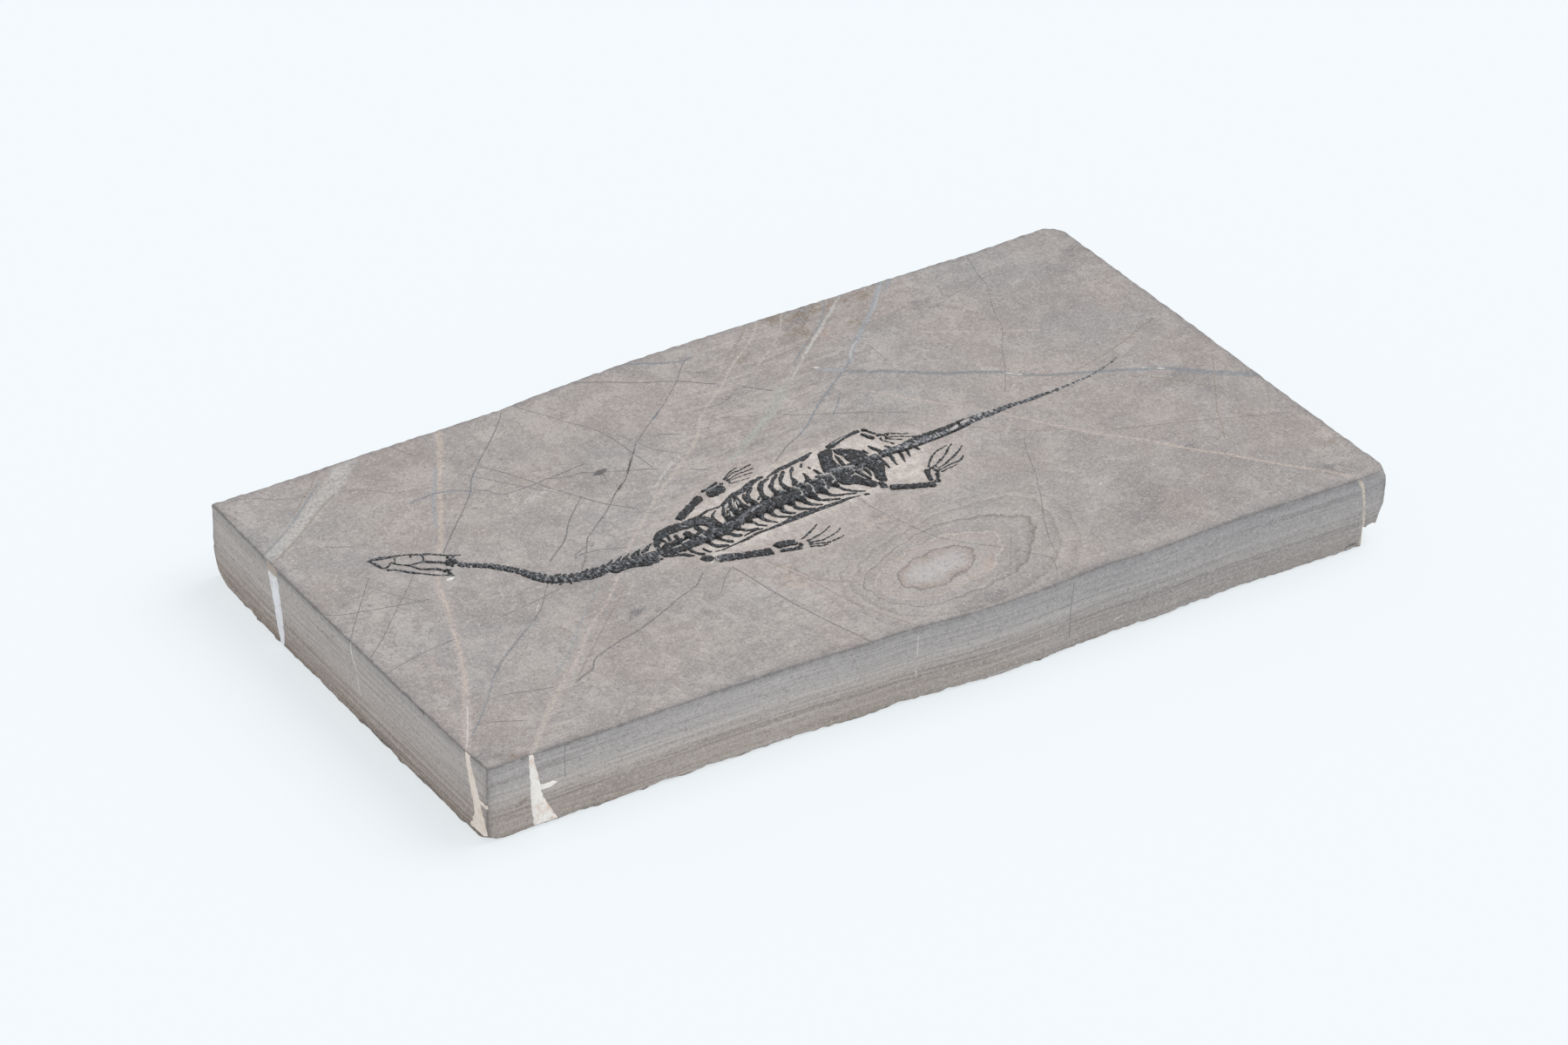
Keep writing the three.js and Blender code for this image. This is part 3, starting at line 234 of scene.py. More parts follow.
# Markings in the stone: bands of paler stone, calcite veins and hairline cracks. Each is a finish, its
# half width at the start and at the end, and the points of its course on the face that it is on.
LINE_FINISHES = {
    "black": "#3b3c3e",
    "dark": "#65666a",
    "slate": "#7f848b",
    "dove": "#7d8084",
    "bluish": "#979ca3",
    "brown": "#8e8379",
    "greenish": "#a5a9a1",
    "ash": "#bebdba",
    "beige": "#bdb3ab",
    "warm": "#c3b4a8",
    "rosy": "#bdb0ab",
    "bright": "#d3d1cd",
    "cream": "#dfd0be",
    "white": "#eeeeec",
}
BANDS = [
    ("ash", 1.7, 2.2, [(-146, 41), (-133.3, 48.7), (-124, 56), (-114, 63), (-108.7, 68), (-102, 75)]),
    ("brown", 0.25, 0.3, [(-146, 38), (-137, 43.6), (-131, 48), (-122, 55), (-114, 60.5)]),
    ("slate", 0.3, 0.2, [(-144, 44.5), (-134, 51), (-126, 57.8), (-119, 64), (-113, 70)]),
    ("brown", 0.2, 0.2, [(-128, 57.5), (-121, 64), (-116, 69), (-111, 75)]),
    ("warm", 0.6, 0.5, [(-72.7, 75), (-77.3, 65.3), (-84.3, 54), (-92.7, 38.7), (-98.7, 28),
        (-103.5, 20.5)]),
    ("bluish", 0.5, 0.4, [(-83, 58), (-88, 50), (-93.5, 41), (-98, 32)]),
    ("rosy", 0.7, 1, [(-107, 14.5), (-112.7, 5.3), (-116, -6), (-122.7, -22.7), (-130.7, -40),
        (-138.7, -54.7), (-145, -64.5)]),
    ("beige", 0.6, 0.5, [(-131.5, -74.5), (-122, -64.7), (-112, -54.7), (-107, -50.5)]),
    ("rosy", 0.35, 0.3, [(-107, -50.5), (-98.7, -43.3), (-86.7, -31.3), (-78.7, -25.3), (-70.7, -17.3),
        (-60, -6), (-52, 1.5)]),
    ("brown", 0.18, 0.18, [(-104, -51.5), (-93, -41.6), (-82, -31.5), (-70, -21)]),
    ("bluish", 0.2, 0.2, [(-108, -47), (-98, -38.5), (-85, -25), (-74, -15)]),
    ("beige", 0.35, 0.35, [(-52, 1.5), (-43, 9.5), (-33.3, 17.3), (-23.3, 24.5), (-12.7, 33.3),
        (-7.3, 40.7)]),
    ("ash", 0.2, 0.35, [(-36, 18), (-27, 25), (-20, 29)]),
    ("beige", 0.3, 0.25, [(-7.3, 40.7), (0, 47), (8, 53), (16, 60.5), (24, 66.5), (31, 72), (37, 79)]),
    ("brown", 0.25, 0.3, [(16, 63.5), (22, 69), (28, 73.5), (33, 79)]),
    ("brown", 0.12, 0.1, [(3, 54), (10, 57.5), (16, 62), (22, 66.5)]),
    ("rosy", 0.38, 0.42, [(43, 30), (50, 21.3), (60, 10), (68, 0.7), (73.3, -6.7), (83.3, -20),
        (92.7, -30), (98.7, -37.3)]),
    ("warm", 0.45, 0.4, [(98.7, -37.3), (105.3, -45.3), (111.3, -52), (120, -62.7), (126, -69.3),
        (131.3, -75.3), (134.5, -81)]),
    ("greenish", 0.5, 1.3, [(-11, 18), (-3, 23.5), (5, 29), (13.3, 34.7), (18.5, 39), (23, 43)]),
    ("ash", 0.3, 0.35, [(28, 46.5), (36, 53.5), (44, 60.5), (52, 67), (60, 73.5), (67.5, 80.5)]),
    ("slate", 0.28, 0.3, [(33, 53), (41, 60), (49, 65.6), (55, 71.5), (60, 78)]),
    ("ash", 0.2, 0.15, [(39, 56), (47, 62.5), (52, 66)]),
    ("rosy", 0.22, 0.2, [(74, 49.3), (83.3, 44), (95.3, 37.3), (105.3, 32)]),
    ("beige", 0.2, 0.15, [(24, 58), (31, 63), (39, 70), (46, 79.5)]),
    ("ash", 0.9, 0.8, [(-70, 30), (-66, 31.2), (-62, 32)]),
]
VEINS = [
    ("slate", 0.32, 0.4, [(12.7, 19.7), (15.3, 21.3), (20, 25), (24.7, 29), (30, 33.3), (38, 39),
        (47, 45.5)]),
    ("bluish", 0.75, 0.75, [(47, 45.5), (53.3, 52.3), (58, 56.7), (64.7, 62.7), (69.3, 66.7),
        (75.3, 73.3), (83, 81)]),
    ("ash", 0.3, 0.2, [(49, 47.8), (51, 50.4), (53.3, 52.6), (55.8, 54.6)]),
    ("bright", 0.35, 0.4, [(66.5, 64), (70, 66.9), (73.3, 70.5), (77.3, 75), (82, 80)]),
    ("slate", 0.25, 0.2, [(27.3, 24), (32, 28.7), (36, 33.3)]),
    ("bright", 0.6, 0.8, [(37.2, 48.4), (37.4, 48.2)]),
    ("bluish", 0.7, 0.9, [(38.2, 46.8), (41, 44.5), (43.5, 42.6)]),
    ("bright", 0.3, 0.35, [(39.6, 45.4), (41.6, 43.8), (43.2, 42.8)]),
    ("dove", 0.75, 0.85, [(43.8, 42), (45.6, 40.4), (47.6, 39.6), (49.4, 38), (51.6, 37.4), (53.4, 36),
        (56, 34.6), (58.2, 32.4), (60.6, 31.2), (62.6, 29.2), (65, 28.2), (67, 26.4), (70, 25)]),
    ("dove", 0.75, 0.7, [(70, 25), (74.7, 22.7), (78, 20.4), (81.3, 18.9), (83.6, 16.2), (86, 14.3),
        (91.3, 10.7), (99.3, 7)]),
    ("white", 0.22, 0.2, [(82.5, 17.6), (84.5, 15.8), (86, 14.4)]),
    ("slate", 0.7, 1.2, [(99.3, 7), (108, 3.3), (115.7, -0.3), (122.7, -3.7), (130, -9.7), (136, -14.7),
        (146, -21.8)]),
    ("white", 0.5, 0.4, [(118.3, -0.8), (120.4, -1.9)]),
    ("white", 0.35, 0.3, [(121.8, -3.2), (123, -4)]),
    ("bright", 0.3, 0.4, [(133, -12.4), (137, -15.6), (141, -18.4)]),
    ("brown", 0.15, 0.1, [(112.5, -2.6), (115.5, -4), (121.5, -6.6), (125, -8.5)]),
    ("slate", 0.35, 0.4, [(-98, 45.6), (-93, 46.4), (-88, 46.2), (-84, 44.6), (-80.2, 42)]),
    ("warm", 0.25, 0.2, [(-112.3, 4), (-114.6, -2), (-117.3, -10)]),
    ("warm", 0.22, 0.16, [(-119.5, -14.5), (-121.5, -20), (-127, -33), (-131, -41)]),
    ("bright", 0.12, 0.12, [(-134, -46.5), (-139, -55.5), (-144.5, -64)]),
    ("bright", 0.15, 0.12, [(-81.4, 58.6), (-80.2, 56.8)]),
    ("slate", 0.12, 0.14, [(-96.7, -20.3), (-106.7, -26.7), (-116, -33.3), (-121.3, -38.7),
        (-130, -49.3)]),
    ("slate", 0.26, 0.2, [(-130, -49.3), (-136.7, -56), (-140.5, -59.5)]),
    ("slate", 0.5, 0.3, [(-17.5, 48.6), (-15.5, 50.3), (-13.6, 51.7)]),
    ("bluish", 0.15, 0.12, [(-84, 39.3), (-80, 43.7), (-75, 50.3), (-70.5, 55.3)]),
    ("bright", 0.12, 0.1, [(-96, -18.3), (-93.6, -15.4)]),
    ("bright", 0.16, 0.12, [(-42, -19.4), (-40.2, -19.8), (-38.6, -19.6), (-36.2, -20.8)]),
    ("bright", 0.14, 0.1, [(-43.8, -22.8), (-41.8, -21.6), (-40.4, -20.4)]),
    ("bright", 0.12, 0.1, [(-40.6, -18.2), (-40.1, -19.6), (-39.8, -20.4)]),
    ("bright", 0.14, 0.1, [(-38.6, -17.7), (-37.4, -18), (-36.2, -18.7)]),
    ("bright", 0.1, 0.06, [(-30.5, -18.3), (-28, -18.6), (-25, -18)]),
    ("white", 0.65, 0.5, [(-107.9, 7.4), (-107.1, 7.5)]),
    ("bright", 0.3, 0.2, [(70.6, -45.3), (71.3, -44.7)]),
]
CRACKS = [
    ("dark", 0.12, 0.16, [(-52.5, 74), (-56.7, 68.7), (-63.3, 62), (-70.3, 55.3), (-77.3, 48),
        (-81.3, 42), (-88, 34.7), (-96.7, 26), (-103, 19.3)]),
    ("dark", 0.08, 0.1, [(-85.5, -7.2), (-88.7, -10.7), (-94.7, -18), (-103.3, -24.7), (-112.7, -31.3),
        (-121.3, -38.7)]),
    ("dark", 0.22, 0.15, [(-80.3, 0.7), (-77.3, 3.3), (-71.3, 8), (-66, 14.7), (-60, 20.7), (-56, 24.3)]),
    ("dark", 0.14, 0.2, [(-75.3, -7.3), (-70.7, -2), (-65.7, 5.3), (-63.3, 7), (-60.7, 9.3),
        (-55.3, 13.3), (-50, 18)]),
    ("black", 0.13, 0.13, [(-50, 18), (-47.3, 20.7), (-44, 23.3), (-41.3, 25.3), (-39, 27.7), (-36, 31.3),
        (-32, 36), (-28.7, 40)]),
    ("black", 0.5, 0.2, [(-45.3, 22.2), (-44, 23.4), (-42.7, 24.4)]),
    ("black", 0.22, 0.4, [(-38.8, 28.3), (-36.5, 30.8), (-34, 33.8)]),
    ("dark", 0.1, 0.1, [(-28.7, 40), (-23.3, 44.3), (-18, 48.3), (-11.3, 53.3), (-6, 58), (-0.7, 62.7),
        (3.3, 67.3), (8, 71.7)]),
    ("dark", 0.22, 0.16, [(-73.6, -1.5), (-72.6, 0.2), (-70.5, 1.1), (-68, 1.8)]),
    ("dark", 0.16, 0.12, [(-72, -0.6), (-67, -1), (-63, -2.2), (-58.8, -4.2)]),
    ("black", 1.2, 1.1, [(-45.9, 32.2), (-44.2, 32.6)]),
    ("black", 0.3, 0.1, [(-45.2, 31.4), (-44.9, 29.8)]),
    ("dark", 0.13, 0.16, [(-50, 35), (-46.7, 33), (-43.3, 31.7), (-40, 29.7), (-35.7, 28),
        (-30.3, 25.3)]),
    ("dark", 0.16, 0.2, [(-72.3, 52.5), (-67.7, 45.3), (-64, 38), (-60.7, 31.3), (-56.7, 24.7),
        (-52.7, 18), (-46, 11)]),
    ("dark", 0.12, 0.1, [(-79.3, 52), (-73.3, 44.7), (-67, 36.7), (-60.7, 29.3)]),
    ("dark", 0.16, 0.17, [(-79.7, 42.7), (-76.7, 40), (-74.9, 36.6), (-70, 36), (-64.7, 36.3), (-60, 37),
        (-55, 37.3), (-46, 38.5)]),
    ("dark", 0.16, 0.12, [(-59, 36.8), (-56.7, 35.7), (-53.3, 35), (-49, 34.5)]),
    ("dark", 0.07, 0.1, [(-140, 72.3), (-134.3, 70.3), (-130, 67.3), (-126, 65.3), (-121, 63.3)]),
    ("dark", 0.08, 0.06, [(-112, 61), (-106, 58.3), (-100, 53), (-96.7, 51.7), (-89.7, 49.7)]),
    ("dark", 0.1, 0.08, [(-88.8, 74.7), (-87, 70.7), (-84.6, 66)]),
    ("dark", 0.07, 0.09, [(-126, 19.3), (-132.7, 11.3), (-138, 4.7), (-142.7, -1.3), (-146, -5.5)]),
    ("dark", 0.06, 0.08, [(-114.7, 14.7), (-123.3, 6), (-132.7, -3.3), (-138, -8.7), (-145, -14.6)]),
    ("dark", 0.13, 0.1, [(-144.8, 9.2), (-140, 7), (-132, 5), (-125.3, 3.3), (-117.5, 1.6)]),
    ("dark", 0.09, 0.13, [(-127.3, 13.7), (-124, 7.3), (-119.3, 1.3)]),
    ("dark", 0.12, 0.1, [(-128.7, 38.7), (-125.3, 36.3), (-122, 34.7)]),
    ("dark", 0.12, 0.08, [(-145.5, -23.1), (-135.3, -20.3), (-126.7, -18.8), (-120, -18.2)]),
    ("dark", 0.07, 0.1, [(-113, -16.4), (-100, -14.7), (-90, -13), (-83.5, -11.8)]),
    ("dark", 0.1, 0.14, [(-123.7, -46.9), (-117.3, -49), (-110.3, -50.9)]),
    ("dark", 0.1, 0.1, [(-134.7, -55.3), (-131.3, -56.7), (-124, -60.3)]),
    ("dark", 0.26, 0.16, [(-104.5, -52.2), (-100.7, -50.3), (-97.3, -49), (-94.7, -45.7), (-92, -44.3),
        (-83.3, -41.3)]),
    ("dark", 0.24, 0.16, [(-83.3, -41.3), (-76.7, -39.7), (-67.3, -35.9), (-60, -32.5), (-53.3, -30),
        (-48, -25.5)]),
    ("dark", 0.07, 0.05, [(-40, -27.3), (-44.7, -31.3), (-50, -37.3)]),
    ("dark", 0.1, 0.14, [(-48, 75.6), (-46, 71.3), (-42, 64.7), (-38.7, 58.7), (-35, 52.7), (-33.3, 46.7),
        (-32.3, 40), (-31.3, 26.7)]),
    ("dark", 0.07, 0.09, [(-30.3, 45.3), (-28.7, 42), (-26, 34.7), (-20, 28.7)]),
    ("dark", 0.2, 0.26, [(-27, 77.2), (-16.7, 71.3), (-9.3, 66.7), (-0.7, 62.3), (7.3, 55.7)]),
    ("slate", 0.5, 0.42, [(-7.5, 77.6), (-3.3, 75.3), (0.7, 73), (5.3, 71.3), (8.7, 71.3), (10, 72.3)]),
    ("dark", 0.1, 0.12, [(3.7, 66), (7, 63.4), (10.7, 60.6)]),
    ("dark", 0.2, 0.25, [(7.5, 55.7), (7, 56.2)]),
    ("dark", 0.05, 0.05, [(57.4, 52), (57.4, 40)]),
    ("dark", 0.28, 0.2, [(13.7, 50), (16.7, 47), (20, 43.7)]),
    ("dark", 0.2, 0.16, [(-20.7, 40.7), (-18, 39.3), (-15.3, 38)]),
    ("dark", 0.16, 0.2, [(-23, 20.7), (-20.7, 19), (-18, 17.3)]),
    ("dark", 0.14, 0.12, [(15.3, 31.7), (18.7, 29), (26.7, 25), (35.3, 20.7), (43.3, 16), (46.5, 14)]),
    ("dark", 0.1, 0.08, [(-0.7, 39), (8.7, 34.7)]),
    ("dark", 0.14, 0.1, [(1.3, 45.3), (4.7, 46), (10, 48.7)]),
    ("dark", 0.14, 0.16, [(-0.5, 11.6), (3.3, 14.3), (6.7, 16.7), (12.7, 19.7)]),
    ("dark", 0.2, 0.16, [(-39.7, -27.3), (-38.3, -33.3), (-36.7, -43.3), (-34.3, -54), (-32.3, -61.3),
        (-30, -68.7), (-27.4, -77)]),
    ("brown", 0.12, 0.2, [(-30, -29.7), (-26, -36.7), (-23.3, -44), (-20.7, -46.7), (-16.7, -49.3)]),
    ("brown", 0.12, 0.16, [(-30, -30), (-27, -38), (-24.3, -46), (-22.7, -54), (-20, -62), (-16, -70.7),
        (-12.3, -77.6)]),
    ("dark", 0.08, 0.09, [(9, -16), (10, -24), (12.7, -32.7), (16, -42.7), (20.7, -49.3), (28.7, -57.3),
        (34, -64), (37.3, -68.7)]),
    ("dark", 0.09, 0.07, [(37.3, -68.7), (36, -72), (34.4, -75.2)]),
    ("dark", 0.05, 0.06, [(66.7, -14), (62.7, -21.3), (58.7, -30.7), (53.3, -40.7), (47.3, -50.7),
        (42.7, -59.3), (40, -66)]),
    ("dark", 0.04, 0.04, [(36, -51.3), (30, -59.3), (23.3, -68.3)]),
    ("dark", 0.05, 0.05, [(111.5, 78.6), (108.7, 70), (106.7, 61.3), (103.3, 54.7), (99.3, 46.7),
        (96.7, 39.3), (89.3, 28.7), (83.7, 19.3), (76.7, 9.3)]),
    ("slate", 0.08, 0.06, [(110.8, 76), (108.7, 70), (107, 63)]),
    ("brown", 0.14, 0.25, [(100.7, 8.3), (110, 10.3), (117.3, 12.3), (126.7, 16), (133.3, 18.7),
        (138, 20.5)]),
    ("slate", 0.15, 0.2, [(129, 17.2), (133.3, 18.9), (136.5, 20)]),
    ("dark", 0.04, 0.04, [(136, 32.7), (141.3, 36.7)]),
    ("bluish", 0.5, 0.6, [(78.5, 73.5), (82, 77), (85, 80)]),
    ("brown", 0.17, 0.18, [(56.7, -1.3), (64, -7), (70.7, -12), (78.5, -16.2)]),
    ("dark", 0.07, 0.05, [(91.3, -23.7), (100.7, -27.3), (108.7, -30), (122, -35.3), (130.7, -38.7),
        (140, -42.6)]),
    ("brown", 0.1, 0.1, [(140.3, -4.7), (134.7, -13), (129.3, -20.7), (123.3, -29.3), (119, -37.3),
        (115, -44)]),
    ("brown", 0.24, 0.24, [(117.3, -6), (123.3, -12), (128.7, -20)]),
]
# The same on the sawn faces, as (x, z) on the near and the far face and (y, z) on the left one.
NEAR_LINES = [
    ("cream", 0.6, 0.26, [(134, 24), (135, 22.6), (136.1, 19.9), (136.8, 16.5), (137.1, 13.5)]),
    ("cream", 0.26, 0.5, [(137.1, 13.5), (137.35, 8.7), (137.1, 3), (136.2, 0)]),
    ("black", 0.2, 0.3, [(131.5, 1.6), (133, 2), (135.2, 1.9)]),
    ("bright", 0.14, 0.14, [(-12.6, 21.5), (-13, 17), (-12.8, 14)]),
    ("bright", 0.16, 0.12, [(-13.2, 10.5), (-13, 7.5)]),
    ("slate", 0.13, 0.1, [(-121, 23.5), (-121.2, 18), (-121, 13)]),
    ("dark", 0.1, 0.1, [(37, 22), (36.4, 14), (36.4, 4)]),
    ("brown", 0.9, 0.4, [(-134.5, 9.4), (-132.2, 10.8)]),
    ("bright", 0.25, 0.2, [(51.5, 4.2), (54.5, 5)]),
    ("slate", 0.5, 0.3, [(-144.6, 24), (-144.8, 12), (-144.4, 3)]),
]
LEFT_LINES = [
    ("white", 0.25, 0.12, [(-5, 24), (-5.4, 20), (-7, 17.5)]),
    ("white", 0.14, 0.1, [(-7, 18.3), (-8.2, 14.3), (-9.9, 9)]),
    ("black", 0.9, 0.3, [(-40.8, 24), (-42.2, 23.4), (-43, 22.8)]),
    ("black", 0.25, 0.3, [(-10, 1.6), (-18, 1.3), (-26, 1.7)]),
    ("black", 0.3, 0.15, [(-40, 1.4), (-47, 1.8), (-52, 1.2)]),
]
FAR_LINES = [
    ("beige", 3, 2.4, [(-103, 24), (-105, 14), (-106, 0)]),
    ("warm", 1.1, 1.0, [(-72.7, 24), (-72, 12), (-72.5, 0)]),
    ("dark", 0.14, 0.12, [(-52.5, 24), (-51.5, 12), (-52, 0)]),
    ("ash", 0.8, 0.5, [(82, 24), (81, 14), (81.4, 4)]),
    ("greenish", 1.2, 1.0, [(69, 24), (67.5, 12), (67, 0)]),
    ("dark", 0.12, 0.1, [(111.5, 24), (110.8, 12), (111, 3)]),
]
RIGHT_LINES = [
    ("slate", 0.8, 0.5, [(-21.8, 24), (-22.6, 12), (-22.2, 0)]),
    ("bright", 0.2, 0.1, [(-21.6, 23), (-22.2, 14)]),
    ("brown", 0.2, 0.15, [(24, 24), (23.2, 10), (23.6, 0)]),
]
REACH = 1.2  # how far past its own width a line's distance is still kept
END_FADE = 0.6  # how fast a line narrows past its two ends


def line_fields(faces):
    """Puts lines that keep clear of each other into shared layers. A layer holds three numbers at each
    vertex: the signed distance to the nearest line, that line's half width, which falls below nothing
    away from it, and its finish."""
    layers = []
    for on_face, plane, lines in faces:
        for finish, width, end_width, course in lines:
            curve = smooth(course, 5)
            box_low, box_high = curve.min(0) - 4 * width - 4, curve.max(0) + 4 * end_width + 4
            near = on_face & (plane > box_low).all(1) & (plane < box_high).all(1)
            spots = np.flatnonzero(near)
            start, way = curve[:-1], np.diff(curve, axis=0)
            length = np.hypot(*way.T)
            offset = plane[spots, None] - start
            share = (offset * way).sum(2) / length**2
            gap = offset - np.clip(share, 0, 1)[..., None] * way
            closest = (gap**2).sum(2).argmin(1)
            row = np.arange(len(spots))
            share, offset, way = share[row, closest], offset[row, closest], way[closest]
            distance = (way[:, 0] * offset[:, 1] - way[:, 1] * offset[:, 0]) / length[closest]
            run = np.append(0, np.cumsum(length))[closest] + share * length[closest]
            past = np.maximum(np.maximum(-run, run - length.sum()), 0)
            half = width + (end_width - width) * np.clip(run / length.sum(), 0, 1)
            half = half - np.maximum(np.abs(distance) - 1.3 * half - REACH, 0) - END_FADE * past
            kept = half > -2
            spots, values = spots[kept], np.stack((distance, half, np.full(len(half), finish)), 1)[kept]
            for layer in layers:
                if (layer[spots, 1] <= -2).all():
                    break
            else:
                layers.append(np.tile((9.0, -3.0, 0.0), (len(plane), 1)))
                layer = layers[-1]
            layer[spots] = values
    return layers


faces_of_box = {
    "top": (box_places[:, 2] == TOP, slab_places[:, :2]),
    "near": (box_places[:, 1] == low[1], slab_places[:, [0, 2]]),
    "far": (box_places[:, 1] == high[1], slab_places[:, [0, 2]]),
    "left": (box_places[:, 0] == low[0], slab_places[:, 1:]),
    "right": (box_places[:, 0] == high[0], slab_places[:, 1:]),
}


def on_faces(lines):
    """Pairs each face's vertices with its lines, with finishes as shares of the ramp of finishes."""
    names = list(LINE_FINISHES)
    return [
        (*faces_of_box[face], [(names.index(n) / (len(names) - 1), *rest) for n, *rest in rows])
        for face, rows in lines.items()
    ]


band_layers = line_fields(on_faces({"top": BANDS}))
vein_layers = line_fields(
    on_faces(
        {
            "top": VEINS + CRACKS,
            "near": NEAR_LINES,
            "left": LEFT_LINES,
            "far": FAR_LINES,
            "right": RIGHT_LINES,
        }
    )
)

# The stone is paler round the trunk, in a halo that bulges out between the limbs.
HALO_EDGE = [
    (-56, -6), (-52, -2), (-44, 1.5), (-38, 6), (-30, 9.5), (-20, 13.5), (-8, 12.5), (4, 11.5), (14, 13),
    (24, 15.5), (32, 14.5), (40, 9), (50, 5.5), (58, 4.5), (58, -3), (52, -5), (50, -12), (44, -18),
    (36, -24), (28, -25), (18, -21), (6, -22), (-4, -33), (-14, -34), (-24, -31), (-38, -28), (-46, -22),
    (-50, -17), (-56, -15),
]
HALO_FADE = 5  # mm over which the halo fades out to both sides of its edge
CAGE_EDGE = [
    (-38, -12), (-36, -6), (-38, 0), (-30, 4), (-20, 6), (-10, 8), (0, 10), (10, 11.5), (18, 11),
    (27, 12), (31, 8), (34, 2), (40, -1), (38, -6), (34, -12), (31, -18), (22, -16), (12, -17),
    (0, -17.5), (-16, -19), (-26, -21), (-36, -20), (-42, -18),
]
CAGE_FADE = 2.2  # mm, the same for the palest stone, between the ribs and the limbs

# Rings of iron stain round a spot near the near edge, from the innermost outwards. The outer ones are
# lost in the stone on the near side.
RINGS = [
    [(-5, -57), (-3.4, -53.3), (1.5, -50.6), (8, -49.2), (14, -48.5), (17, -49.6), (20.4, -52.5),
        (20.6, -54.8), (19.2, -58), (15.8, -61), (11, -62.4), (8, -62.9), (5.6, -64.3), (0, -63.5),
        (-3.6, -61.4), (-4.8, -59)],
    [(-12, -58), (-11, -55), (-8, -51), (-2, -47.8), (6, -45.3), (12, -44.4), (17, -44), (22, -44.6),
        (27.5, -47), (30.8, -50), (31, -53), (29.5, -56), (26, -60), (22, -63), (15, -66), (9, -66.5),
        (2, -67.3), (-4, -66.5), (-9, -64.5), (-11.5, -61)],
    [(-15, -55), (-13, -51), (-9.6, -48.6), (-4, -45.5), (2, -42.9), (8, -41), (14, -39.5), (19, -38.5),
        (24, -39.4), (30, -40.4), (36, -42.6), (40.6, -45.8), (43.4, -47.6), (43, -51.5), (40, -56),
        (36.5, -60), (32, -65), (22, -70), (8, -71.4), (-6, -70.4), (-11.5, -65), (-14.2, -60)],
    [(-17.6, -57), (-16.6, -50.6), (-10, -44.4), (-3, -40.6), (5, -37.8), (15, -35), (25, -34),
        (35, -34.6), (45, -36.6), (50, -42), (50, -50), (46, -60), (38, -70), (20, -77), (0, -77),
        (-12, -72), (-16.6, -64)],
    [(-22, -58), (-20.6, -50), (-14, -43.4), (-5, -38.2), (5, -35), (15, -32.6), (25, -31.6), (35, -31),
        (45, -33.4), (54, -40), (55, -52), (50, -64), (40, -76), (20, -84), (-4, -84), (-17, -76),
        (-21.6, -66)],
]
RING_CORE = 5.4  # mm from the first ring to its plain middle
RING_FADE = 5.0  # mm from the last ring to the plain stone
RING_MIDDLE = (16, -58)
RING_REACH = (46, 34)  # half the length and width of the zone in which the rings are counted
# The stain's colours and strengths by ring, from the plain middle at 0 to the plain stone at the end.
RING_STOPS = [
    (0.0, "#c3c1c2", 0.6), (0.4, "#bab6b5", 0.55), (0.66, "#aea49f", 0.6), (0.9, "#a2958e", 0.8),
    (0.985, "#7d7571", 0.95), (1.03, "#928a86", 0.8), (1.08, "#b2aba8", 0.5), (1.4, "#b7b1ae", 0.4),
    (1.7, "#b4a8a2", 0.5), (1.93, "#b3a7a1", 0.5), (1.98, "#c9c3bf", 0.75), (2.06, "#a19a96", 0.65),
    (2.3, "#a39e9c", 0.5), (2.62, "#a09c9b", 0.5), (2.7, "#b3aeac", 0.5), (2.9, "#97918f", 0.65),
    (3.0, "#77726f", 0.8), (3.07, "#b2aca8", 0.6), (3.5, "#a9a4a1", 0.4), (3.92, "#96908c", 0.45),
    (4.0, "#7f7a77", 0.55), (4.08, "#b5afab", 0.5), (4.6, "#aca6a2", 0.3), (4.94, "#8d8885", 0.35),
    (5.04, "#b3adaa", 0.35), (5.4, "#aaa5a2", 0.12), (6.0, "#a29c99", 0.0),
]
LAST_RING = RING_STOPS[-1][0]

# Fine pale and dark streaks run through the stone beside its widest bands.
STREAK_ZONE = [
    (-135, -78), (-118, -58), (-100, -42), (-75, -17), (-58, 0), (-40, 18), (-20, 38), (-4, 56), (14, 74),
    (22, 84), (88, 84), (70, 62), (50, 42), (30, 26), (10, 14), (-16, 12), (-34, 6), (-52, -4),
    (-70, -24), (-88, -38), (-102, -54), (-124, -78),
]
STREAK_FADE = 5.0

